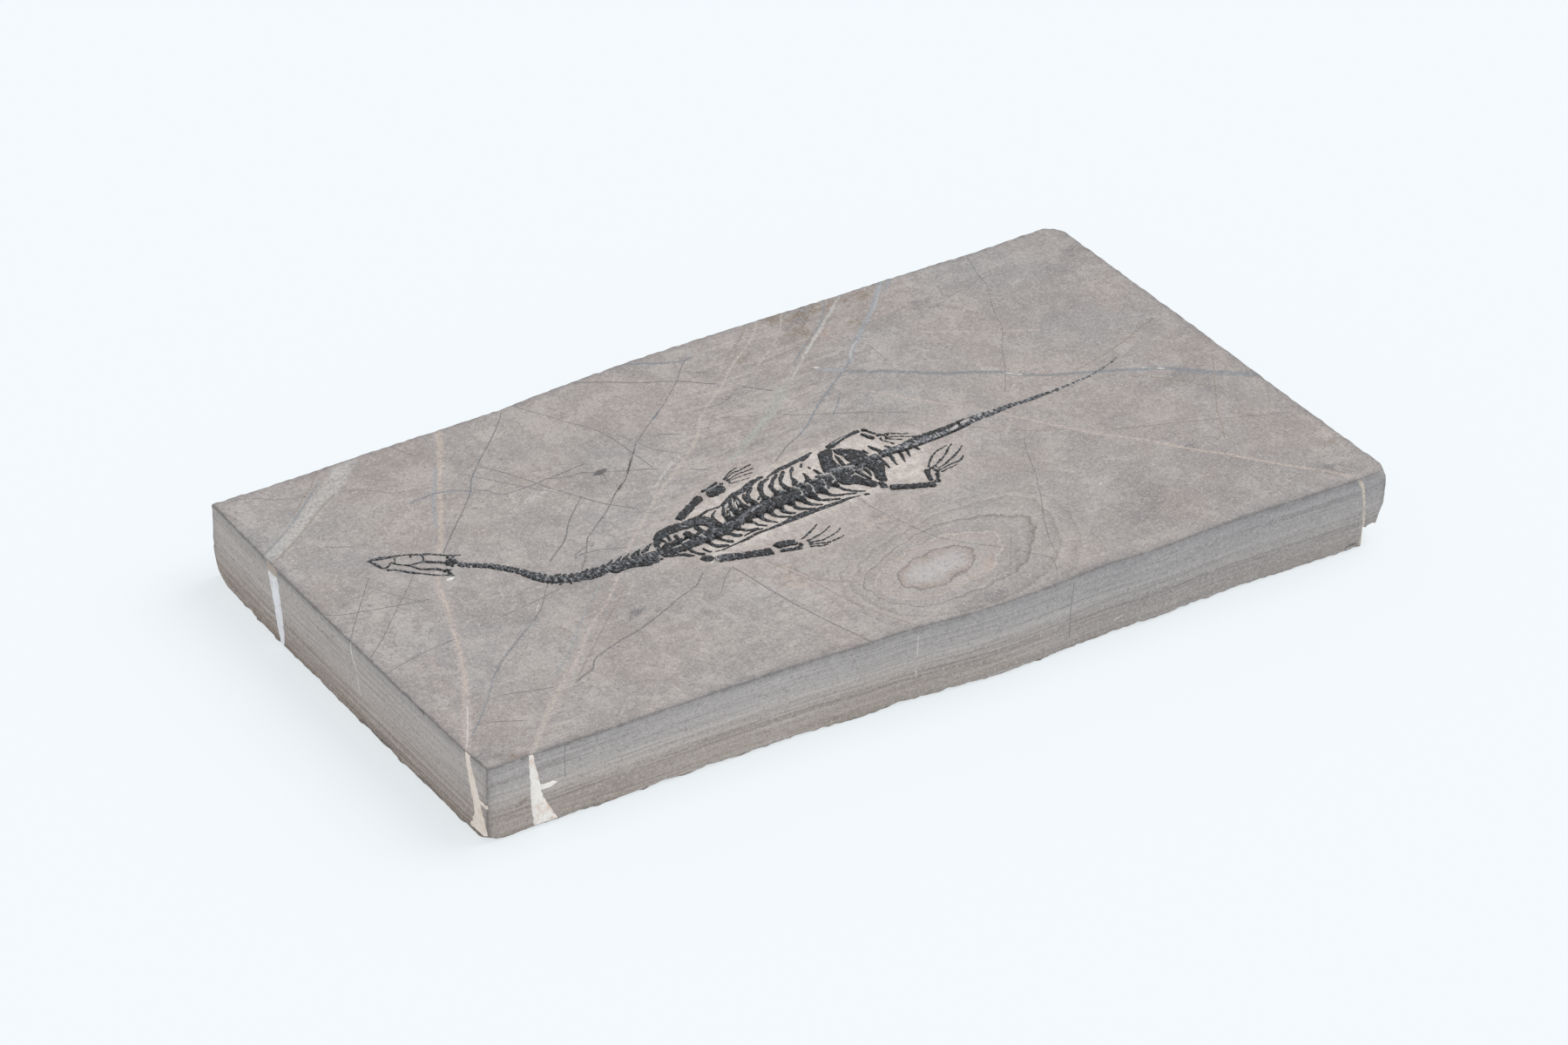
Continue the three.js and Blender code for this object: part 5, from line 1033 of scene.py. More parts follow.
piece(
    "left_end_fill", *fill(LEFT_END_FILL, "left"),
    plaster("plaster_bluish_white", "#f0f1f4", "#cfcdcc", 0.5, 0.9), "plaster", "left_end_plaster",
)
piece(
    "left_corner_fill", *together([fill(LEFT_CORNER_FILL, "left"), fill(LEFT_CORNER_SPUR, "left")]),
    plaster("plaster_cream", "#f3e7dc", "#dac8b9", 0.6), "plaster", "left_corner_plaster",
)
piece(
    "near_face_fill", *together([fill(NEAR_FILL, "near"), fill(NEAR_SPUR, "near")]),
    plaster("plaster_pinkish_white", "#faf6f0", "#e0c6b5", 0.75), "plaster", "near_face_plaster",
)

# ---- Skull and jaw ---------------------------------------------------------------------------
# The crushed skull, seen from above: thin bars of black bone round the openings for the eyes and the
# jaw muscles, with the lower jaw pushed out beside it. Bones are bedded in the stone, so each is half
# round above, and its foot is sunk.
SKULL_BARS = [
    [(-122.9, 26.2, 0.5), (-121, 26.2, 1), (-119.2, 25.7, 1.6), (-117, 25.1, 1.1), (-114.5, 24.5, 0.7),
        (-112, 23.6, 0.6), (-108.5, 21.7, 0.9), (-106.5, 20.7, 0.9), (-104.8, 19.3, 0.8),
        (-103, 17.9, 0.7), (-99.4, 16, 0.3)],
    [(-122.2, 26.2, 0.5), (-121.8, 24.5, 0.7), (-121.3, 23, 0.9), (-120.9, 21.6, 0.8),
        (-120.3, 20.8, 0.9)],
    [(-117.3, 22.6, 0.4), (-116.6, 21, 0.6), (-115.2, 19.7, 0.6), (-113.9, 18.5, 0.8), (-113, 16.8, 0.8),
        (-112.2, 15.5, 0.8), (-109.3, 13.8, 0.8), (-108.2, 13, 1.2), (-107.3, 12, 0.8),
        (-106.2, 11.2, 1.3), (-105.2, 11, 0.8)],
    [(-114, 18.7, 0.6), (-112.4, 18.6, 0.5), (-111, 18.4, 0.6), (-109.6, 18.4, 0.9)],
    [(-109.8, 18.3, 0.9), (-109, 19.6, 0.5), (-108.6, 20.8, 0.6), (-108.5, 21.7, 0.8)],
    [(-116.7, 21.2, 0.4), (-116.1, 22.8, 0.5), (-115.6, 23.6, 0.7), (-115.1, 24.6, 1)],
    [(-109.8, 18.3, 0.9), (-108.3, 17.2, 1.1), (-106.8, 16.2, 1.1), (-105.4, 15.1, 1.2),
        (-104.3, 14.4, 1.3)],
    [(-104.2, 15.2, 0.6), (-102.6, 15.9, 0.5), (-101, 16.6, 0.5)],
    [(-117.4, 22.6, 0.4), (-119, 21.2, 0.5), (-120.4, 20.9, 0.8)],
]
BRAINCASE = [
    (-105.4, 13.6), (-104.7, 15.3), (-103.4, 15.9), (-102.3, 15.3), (-101.6, 14.2), (-101.9, 13.1),
    (-102.9, 12.8), (-104.4, 12.8),
]
LOWER_JAW = [
    (-120.4, 19.9, 1), (-118.6, 19, 0.7), (-117.4, 17.9, 0.6), (-116.3, 16.6, 0.9), (-115.2, 15.4, 1.1),
    (-114.2, 14.5, 0.9), (-112.8, 13.3, 0.5), (-111.2, 11.9, 0.5), (-109.4, 10.4, 0.6),
    (-107.8, 9.4, 0.6), (-106.4, 8.5, 0.8), (-105.9, 8.2, 0.3),
]
# Small lumps and splinters, as the middle, the two half widths and the turn in degrees.
SKULL_BITS = [
    (-107.1, 11.3, 0.5, 0.4, 0), (-106.6, 10, 0.6, 0.4, 60), (-106.4, 9.2, 0.4, 0.35, 0),
    (-104.2, 12.2, 0.5, 0.3, 20), (-103.2, 16.6, 0.5, 0.3, 30), (-111.6, 22.2, 0.3, 0.25, 0),
]
SKULL_HEIGHT = 0.45
BAR_WIDTH = 0.7  # of a bar's width at its foot, by which it shows above the bedding plane
JAW_HEIGHT = 0.35
SINK = 0.3  # how far a bone's foot goes into the stone
THIN_END = 0.35  # share of its height that a bone keeps where it thins to nothing
SECTION = np.linspace(0, np.pi, 9)  # angles round a bone's upper half
FLATNESS = 0.5  # power of the section's sine: below 1 the bone is flatter on top and steeper beside
HAIR = 0.02  # the least step at a bone's two ends and beside its foot


def swept(
    path, height, pitch=0.3, joints=0, slant=0, narrow=0.2, groove=0.3, seam=1, blunt=0.5, pale=0,
    mottled=0, thin=THIN_END,
):
    """A bone carried along a path of (x, y, width), with its paleness there as a fourth number, or as
    one for all of it, mottled by noise. Its section is a flattened half ellipse above the bedding plane.
    It is highest where it is widest, and falls with its width towards the thin share of that. Both ends
    are rounded off over a share of the half width. With joints, it is parted into that many lengths:
    each is broad and high in the middle, and narrow, low and pale at its joints, which lean by the
    slant. Returns places, faces and the paleness at each place."""
    curve = smooth(path, 8)
    run = np.append(0, np.cumsum(np.hypot(*np.diff(curve[:, :2], axis=0).T)))
    count = max(6, round(run[-1] / pitch))
    at = np.linspace(0, run[-1], count)
    at[[0, -1]] += HAIR, -HAIR
    at = np.insert(at, [1, count - 1], [at[1] * 0.35, at[-1] - at[1] * 0.35])
    walked = np.stack([np.interp(at, run, column) for column in curve.T], 1)
    centre, width = walked[:, :2], walked[:, 2]
    pale = walked[:, 3:] if walked.shape[1] > 3 else pale
    way = np.gradient(centre, axis=0)
    across = np.stack((-way[:, 1], way[:, 0]), 1) / np.hypot(*way.T)[:, None]
    end = np.minimum(at, run[-1] - at) / np.maximum(width / 2 * blunt, 0.15)
    full = np.sqrt(1 - (1 - np.clip(end, 0, 1)) ** 2)
    side, rise = -np.cos(SECTION), np.sin(SECTION) ** FLATNESS
    half = width[:, None] / 2 * (1 - blunt + blunt * full)[:, None] * np.append(side, [1, -1])
    lift = height * (thin + (1 - thin) * width / width.max()) * (0.15 + 0.85 * full)
    lift = lift[:, None] * np.append(rise, [0, 0])
    lift[:, [0, len(rise) - 1]] = HAIR
    lift[:, -2:] = -SINK
    pallor = pale + np.zeros(lift.shape)
    if joints:
        phase = at[:, None] / run[-1] * joints + slant * half / (run[-1] / joints)
        beat = np.abs(np.sin(np.pi * phase))
        half = half * (1 - narrow * (1 - np.minimum(1, 1.6 * beat)))
        lift = np.where(lift > 0, lift * (1 - groove * (1 - np.minimum(1, 3 * beat))), lift)
        pallor = pallor + seam * np.clip(1 - 5 * beat, 0, 1)
    places = np.concatenate((centre[:, None] + half[..., None] * across[:, None], lift[..., None]), 2)
    places = places.reshape(-1, 3)
    # Knobs of growth and wear on top, and a course that wanders by a few hundredths of its width.
    knobs = 0.14 * rough(places, 1.3, 31) + 0.12 * rough(places, 0.5, 32)
    places[:, 2] *= np.where(places[:, 2] > 0, 1 + knobs, 1)
    wander = 0.06 * rough(places[:, :2], 1.6, 33) + 0.05 * rough(places[:, :2], 0.6, 34)
    bend = width.mean() * wander[:, None] * np.repeat(across, lift.shape[1], 0)
    places[:, :2] += bend
    mottling = rough(places[:, :2], 1.8, 35) + 0.7 * rough(places[:, :2], 0.8, 36)
    pallor = pallor.ravel() + mottled * mottling
    places[:, 2] += TOP
    number = np.arange(len(places)).reshape(lift.shape)
    faces = quads(np.concatenate((number, number[:, :1]), 1)).tolist()
    ends = [number[0].tolist(), number[-1, ::-1].tolist()]
    return places, faces + ends, pallor


# The rings of a flat bone from its foot inwards: their size against the outline, and their height, as
# millimetres below the bedding plane or as a share of the bone's own height above it.
RIM_STEPS = [
    (1, -SINK), (1, 0.05), (0.985, 0.4), (0.93, 0.68), (0.82, 0.85), (0.62, 0.95), (0.35, 1), (0.08, 1),
]


def slab_of_bone(outline, height, pale=0.0, parts=4, mottled=0.12):
    """A flat bone over a closed outline. Ring after ring of the outline is drawn in towards the middle
    and raised: steeply at the rim, then hardly at all. Noise mottles its paleness. Returns places, faces
    and the paleness at each place."""
    edge = smooth(outline, parts, True)
    edge = edge + 0.1 * np.stack([rough(edge, 1.2, seed) for seed in (43, 44)], 1)
    x, y = edge.T
    if (x * np.roll(y, -1) - y * np.roll(x, -1)).sum() < 0:
        edge = edge[::-1]
    middle = edge.mean(0)
    size, rise = np.array(RIM_STEPS).T
    flat = middle + (edge - middle) * size[:, None, None]
    lift = np.where(rise < 0, rise, rise * height)[:, None] * np.ones(len(edge))
    places = np.concatenate((flat, lift[..., None]), 2).reshape(-1, 3)
    knobs = 1 + 0.18 * rough(places, 1.3, 41) + 0.14 * rough(places, 0.5, 42)
    places[:, 2] *= np.where(places[:, 2] > 0, knobs, 1)
    places[:, 2] += TOP
    number = np.arange(len(places)).reshape(lift.shape)
    faces = quads(np.concatenate((number, number[:, :1]), 1))[:, ::-1].tolist()
    ends = [number[0, ::-1].tolist(), number[-1].tolist()]
    return places, faces + ends, pale + mottled * rough(places[:, :2], 2.5, 45)


def lump(x, y, long, wide, turn, height=0.5, pale=0.0):
    """A small knob of bone over an ellipse, with its corners a little squared."""
    angle = np.linspace(0, 2 * np.pi, 10, endpoint=False)
    turn = math.radians(turn)
    a, b = long * np.cos(angle), wide * np.sin(angle)
    wave = 1 + 0.12 * np.sin(2 * angle + x) + 0.1 * np.sin(3 * angle + y)
    cos, sin = math.cos(turn), math.sin(turn)
    outline = np.stack((a * cos - b * sin, a * sin + b * cos), 1)
    return slab_of_bone((x, y) + outline * wave[:, None], height, pale, 2)


# Petrified bone, black-brown and finely porous, filled and patched with bluish calcite, and split
# by hairlines, with a painted sheen of small pale blue-grey spots on its knobs. It is a little
# smoother than the stone.
BONE_PATCH = 2.6  # mm, the patches of calcite in it
BONE_MOTTLE = 0.8  # mm
BONE_PORE = 0.22  # mm, drawn coarser than real pores, so that it shows

petrified = bpy.data.materials.new("petrified_bone")
petrified.use_nodes = True
tree = petrified.node_tree
tree.nodes.clear()
place = node(tree, "TexCoord", {}).outputs["Object"]
patches, mottle, pores = (
    node(tree, "TexNoise", {"Vector": place, "Scale": 1 / (size * MM), "Detail": detail, "Roughness": 0.6})
    for size, detail in ((BONE_PATCH, 4), (BONE_MOTTLE, 4), (BONE_PORE, 2))
)
tone = node(
    tree, "ValToRGB", {0: mottle},
    [(0.38, linear("#0f1011")), (0.5, linear("#202124")), (0.62, linear("#36383c"))],
)
tone = veil(tree, tone, patches, 0.56, 0.68, 0.5, "#555b65")
tone = veil(tree, tone, patches, 0.46, 0.36, 0.6, "#2f2824")
# Painted sheen: small pale blue-grey spots on the raised knobs stand for the gloss of the bone.
tone = veil(tree, tone, mottle, 0.58, 0.66, 0.6, "#a3aab3")
pallor = node(tree, "Attribute", {}, attribute_name="pale").outputs["Fac"]
ragged = node(tree, "Math", {0: mottle, 1: 1.2, 2: -0.6}, operation="MULTIPLY_ADD")
ragged = node(tree, "Math", {0: pallor, 1: ragged}, operation="ADD")
tone = veil(tree, tone, ragged, 0.1, 0.5, 0.9, "#7f8289")
tone = veil(tree, tone, ragged, 0.5, 1, 0.9, "#d0cecc")
tone = veil(tree, tone, pores, 0.56, 0.66, 0.5, "#8f9296")
tone = veil(tree, tone, pores, 0.46, 0.36, 0.6, "#08080a")
bump = node(tree, "Math", {0: mottle, 1: 0.8, 2: pores}, operation="MULTIPLY_ADD")
bump = node(tree, "Bump", {"Height": bump, "Distance": 0.16 * MM, "Strength": 0.8})
gloss = node(tree, "MapRange", {"Value": mottle, 1: 0.3, 2: 0.7, 3: 0.5, 4: 0.66})
surface = node(
    tree, "BsdfPrincipled",
    {"Base Color": tone, "Roughness": gloss, "Specular IOR Level": 0.35, "Normal": bump},
)
node(tree, "OutputMaterial", {"Surface": surface})


def fossil(node_name, shapes):
    """One fossil of several shapes of bone, standing for the part of that name."""
    pallor = np.concatenate([shape[2] for shape in shapes])
    piece(f"fossil_{node_name}", *together(shapes), petrified, "bone", node_name, pale=pallor)


bars = [
    swept(np.array(bar) * (1, 1, BAR_WIDTH), SKULL_HEIGHT, 0.2, blunt=1, pale=0.2, mottled=0.25)
    for bar in SKULL_BARS
]
fossil("skull", [slab_of_bone(BRAINCASE, SKULL_HEIGHT)] + bars + [lump(*bit) for bit in SKULL_BITS])
jaw = swept(np.array(LOWER_JAW) * (1, 1, BAR_WIDTH), JAW_HEIGHT, 0.2, blunt=1, pale=0.22, mottled=0.25)
fossil("lower_jaw", [jaw])

# ---- Backbone --------------------------------------------------------------------------------
# The long neck, the back, the sacrum and the tail: a chain of short spool-shaped vertebrae, each
# a little waisted, with pale calcite in the joints between them, and the short ribs they carry.
NECK_PATH = [
    (-102.6, 12.4, 1.8), (-101, 11, 2), (-98, 8.9, 2), (-96, 7.5, 2.1), (-94.5, 6, 2.2), (-93, 4.5, 2.3),
    (-91.5, 2.8, 2.4), (-90.3, 1.2, 2.4), (-89.3, -0.5, 2.7), (-88.3, -2.3, 3), (-87.3, -4.2, 3.4),
    (-86, -6, 3.7), (-84, -7.7, 4), (-81.5, -9, 4.3), (-79, -9.7, 4.3), (-76, -10, 4.2),
    (-72, -10.2, 4.1), (-68, -10.5, 4.6), (-64, -10.6, 5), (-60, -10.9, 5.8), (-56, -11.2, 7),
    (-52.6, -11.5, 5.8),
]
SHOULDER_PATH = [
    (-52.8, -11.5, 4.6), (-48, -11.6, 4.4), (-44, -11.6, 4.2), (-40, -11.2, 4.6), (-36, -10.8, 4.8),
    (-33, -10.7, 4.6), (-30, -10.1, 4.3), (-26.8, -9, 4.2),
]
BACK_PATH = [
    (-27.2, -9.1, 4.2), (-24, -7.9, 4.3), (-20, -7.2, 5), (-16, -6.7, 5.3), (-12, -6.2, 5.3),
    (-8, -5.8, 5.5), (-4, -5.8, 5.5), (-1.5, -6, 5.3), (2.3, -5.5, 5.1), (5.5, -5, 5), (8.4, -4.6, 4.8),
]
# A grey ridge of joint processes along the middle of the back.
BACK_RIDGE = [
    (-28, -9.6, 0.5, 0.3), (-25, -8.4, 0.9, 0.4), (-22, -7.2, 1, 0.4), (-19, -6.2, 1, 0.4),
    (-16, -5.4, 0.9, 0.35), (-12, -4.6, 0.6, 0.3),
]
SACRUM_PATH = [
    (8.8, -4, 3.8), (12, -3.7, 3.6), (14.4, -3.3, 3.4), (16.2, -3.4, 2.2), (18.4, -3.2, 2), (20, -2, 2.4),
    (23, -1.6, 2.6), (26.2, -1.2, 2.6),
]
# A blue-grey band of fused processes along the far side of the sacrum.
SACRUM_BAND = [
    (4.6, -1.2, 0.8, 0.1), (7, -1.3, 1.2, 0.25), (10, -1.5, 1.5, 0.4), (14, -1.4, 1.6, 0.35),
    (17, -1, 2, 0.1), (20, -0.6, 1.9, 0.05), (23, -0.8, 1.8, 0.3), (26, -1, 2, 0.3),
]
TAIL_PATH = [
    (26.6, -0.8, 3.1), (30, -0.7, 3.1), (34, -0.6, 3), (38, -0.1, 3.6), (42, 0.1, 3.9), (46, 0.3, 3.7),
    (50, 0.5, 3.5), (54, 0.9, 3.3), (58, 1.2, 3), (62, 1.6, 2.8), (66, 1.6, 2.4), (70, 1.8, 1.9),
    (74, 1.9, 1.8), (78, 1.8, 1.4), (82, 1.9, 1.3), (86, 2.1, 1.2), (90, 2.2, 1), (94, 2.6, 0.8),
    (98, 3, 0.8), (102, 3.4, 0.7), (106, 4.4, 0.7), (108.5, 5.3, 0.6), (111, 6.1, 0.5), (113, 6.8, 0.4),
    (115.3, 7.9, 0.2),
]
NECK_RIBS = [
    [(-58.5, -9.2, 1.2), (-57.8, -8, 0.9), (-56.3, -6.8, 0.3)],
    [(-55.5, -8.6, 1.2), (-54.2, -7.2, 0.9), (-52, -6, 0.3)],
    [(-53, -13.2, 1), (-50.6, -14.3, 0.7), (-48.8, -14.8, 0.8), (-47.7, -15.3, 1.1), (-47, -16.1, 1.3),
        (-46.3, -16.8, 1.1), (-45.2, -17.2, 0.5)],
]
BACK_RIBS = [
    [(0.9, -4, 1.2), (1.1, -2.8, 1.4), (2, -1.5, 1.6), (2.5, -0.2, 1.4), (2.8, 1.2, 0.9),
        (2.9, 2.6, 0.4)],
    [(6.9, -3.6, 0.8), (6.8, -2.2, 0.8), (6.7, -0.6, 0.9), (6.6, 1, 0.9), (6.4, 2.6, 0.5)],
]
SACRAL_RIBS = [
    [(14.8, -1.4, 1), (15, 0.8, 1.2), (15.3, 2.5, 1.2), (15.5, 4.2, 0.9), (15.7, 5.8, 0.4)],
    [(16.2, -3.8, 1), (16.5, -5.8, 1), (16.8, -7.3, 1.2), (17.2, -8.8, 1), (17.5, -10, 0.6)],
    [(18.3, -3.8, 1.2), (18.9, -5.2, 1.1), (18.9, -6.5, 1.1), (18.6, -7.8, 0.9), (18.4, -8.8, 0.4)],
    [(24.9, -2, 1), (25.6, -3.3, 0.8), (25.4, -5, 0.9), (25.3, -6.3, 0.8), (25.1, -7.9, 0.4)],
    [(23.8, 4, 0.4), (23.9, 2.8, 0.8), (24.2, 1.4, 0.5)],
]
TAIL_RIBS = [
    [(27.7, 0, 1.2), (27.6, 1.2, 1.2), (27, 2.7, 1.2), (26.6, 4, 0.9), (26.4, 5.1, 0.4)],
    [(31.4, 0, 0.8), (31, 1.4, 0.8), (30.2, 2.6, 0.4)],
    [(28.9, -1.8, 1.1), (28.8, -3.6, 1.2), (28.3, -5.1, 0.9), (28, -6.3, 0.6), (27.8, -7.7, 0.3)],
    [(32.2, -1.6, 1), (32, -3.3, 0.9), (31.5, -4.8, 0.8), (31.1, -6, 0.6), (30.7, -7.4, 0.3)],
    [(34.6, -1.4, 1), (34.5, -2.6, 1), (34.1, -3.8, 0.8), (33.7, -5, 0.5), (33.4, -5.8, 0.3)],
    [(37.2, -1.4, 0.6), (37.4, -3, 0.8), (37.9, -4.3, 0.4)],
]
SHORT_RIB_HEIGHT = 0.4

# The neck's joint processes above its vertebrae and the neck ribs below them: thin slanting blades.
NECK_BLADES = [
    [(-84.4, -7.4, 0.9), (-85, -8.2, 0.8), (-85.8, -9.1, 0.3)],
    [(-82.8, -8.8, 0.9), (-83.3, -9.8, 0.8), (-84, -10.8, 0.3)],
    [(-80.4, -9.9, 0.9), (-80.9, -10.9, 0.8), (-81.3, -11.9, 0.3)],
    [(-79.3, -10.7, 0.9), (-78.9, -11.4, 0.8), (-78.4, -12.2, 0.4)],
    [(-83.5, -6.4, 0.7), (-82.4, -6.2, 0.6), (-81.2, -6.3, 0.3)],
    [(-81.5, -7.6, 0.8), (-80.6, -7.1, 0.7), (-79.9, -6.9, 0.3)],
    [(-79.8, -8.8, 0.9), (-79, -8, 0.8), (-78.4, -7.5, 0.3)],
    [(-78, -9.2, 0.9), (-77.4, -8.5, 0.8), (-76.8, -7.9, 0.3)],
    [(-76.5, -9.3, 0.9), (-75.9, -8.7, 0.8), (-75.2, -8.1, 0.3)],
    [(-75, -9.2, 0.9), (-74.3, -8.4, 0.8), (-73.5, -7.6, 0.3)],
    [(-73.5, -9.3, 0.8), (-72.9, -8.8, 0.7), (-72.1, -8.2, 0.3)],
    [(-71.4, -9.6, 0.8), (-70.2, -9, 0.7), (-68.6, -8.2, 0.3)],
    [(-69.2, -9.9, 1), (-67.6, -8.9, 1), (-65.5, -7.3, 0.3)],
    [(-66.2, -9.7, 1), (-64.7, -8.7, 1), (-62.4, -7.1, 0.3)],
    [(-63.4, -9.4, 1), (-62.1, -8.5, 1), (-60.1, -7.1, 0.3)],
    [(-60.6, -9, 0.8), (-59, -8.1, 0.9), (-56.2, -6.7, 0.3)],
    [(-57, -8.9, 0.9), (-55, -7.6, 0.9), (-51.9, -5.9, 0.3)],
    [(-77.3, -11.6, 0.3), (-75.6, -12.3, 0.6), (-73.8, -12.2, 0.7), (-72, -12.4, 0.5), (-70, -12, 0.3)],
    [(-69, -12.1, 0.4), (-67.8, -13.2, 0.8), (-66, -12.9, 0.7), (-64, -12.5, 0.5)],
    [(-65.8, -13.2, 0.5), (-63.3, -12.9, 0.8), (-61, -13.6, 0.9), (-59, -14.4, 0.8), (-57.4, -15, 0.5)],
    [(-60.8, -12.6, 0.8), (-58.8, -13.2, 1.1), (-57, -14.2, 1), (-55, -14.6, 0.6)],
    [(-57.4, -12.8, 1), (-55.6, -13.7, 1.1), (-53.4, -14, 0.8)],
]
NECK_CENTRA = [(x, y, w if x < -84 else min(w, 3.2)) for x, y, w in NECK_PATH]
# The processes that the trunk ribs join, as lumps on both sides of the back.
RIB_SEATS = [
    (-31.6, -8.2, 1.5, 0.9, 70), (-27.8, -7, 1.3, 0.9, 80), (-24, -5.6, 1.3, 1, 80),
    (-20.8, -4.6, 1.4, 1, 80), (-17.4, -4.2, 1.3, 1, 85), (-13.4, -3.6, 1.3, 1, 85),
    (-9.3, -3.3, 1.4, 1.1, 90), (-5.5, -3.2, 1.3, 1.1, 90), (-1.9, -3.4, 1.3, 1.2, 90),
    (1.4, -2.6, 1.2, 1.3, 100), (-23.6, -10.2, 1.3, 1, 110), (-19.5, -9.6, 1.3, 0.9, 100),
    (-15.8, -9.2, 1.4, 0.9, 100), (-12.3, -8.9, 1.4, 0.9, 100), (-8.5, -8.9, 1.5, 1, 100),
    (-5.1, -8.9, 1.4, 1.1, 110), (-1.5, -9, 1.4, 1.1, 115), (2.4, -8.5, 1.4, 1, 115),
    (7, -7.8, 1.2, 0.8, 110), (-28, -11.7, 1.3, 1, 110), (-35, -12.6, 1.4, 0.9, 110),
    (-38.6, -12.9, 1.3, 0.9, 100), (-46, -9.4, 2.2, 0.8, 5), (-41.5, -9, 1.8, 0.8, -5),
    (-49.5, -9.6, 1.6, 0.9, 0),
]
# The base of the tail is grey, with dark bone along its far side and a dark line along the near one,
# and towards its tip it is paler again: x and paleness.
TAIL_PALENESS = [
    (26, 0.25), (30, 0.4), (38, 0.45), (46, 0.5), (54, 0.4), (60, 0.26), (70, 0.22), (80, 0.24),
    (90, 0.36), (96, 0.5), (115, 0.5),
]
TAIL_GREY = [(x, y, w, np.interp(x, *zip(*TAIL_PALENESS))) for x, y, w in TAIL_PATH]
TAIL_BARS = [
    [(26.6, 0.2, 0.8, 0.15), (29, 0.3, 0.8, 0.2), (31, 0.5, 0.6, 0.25), (34, 0.5, 0.6, 0.25),
        (36.4, 0.7, 1, 0.1), (39, 0.9, 1.6, 0), (42, 1, 1.9, 0), (46, 1, 1.9, 0), (50, 1.2, 1.8, 0.05),
        (54, 1.7, 1.5, 0.05), (58, 2.2, 1.3, 0)],
    [(31.4, -2.3, 0.6, 0.1), (37, -2.3, 0.5, 0.12), (42, -2, 0.35, 0.25), (46, -1.8, 0.4, 0.05),
        (49, -1.5, 0.4, 0.1), (52, -1.2, 0.5, 0), (55, -0.7, 0.7, 0), (58, -0.2, 0.6, 0.1)],
    [(26.4, -2, 0.7, 0.15), (28.5, -1.9, 0.8, 0.15), (30.5, -1.8, 0.7, 0.2), (33, -1.7, 0.4, 0.3)],
]


def blades(paths, height):
    """Thin bones of one height, each carried along its own path."""
    return [swept(path, height, 0.22, blunt=1) for path in paths]


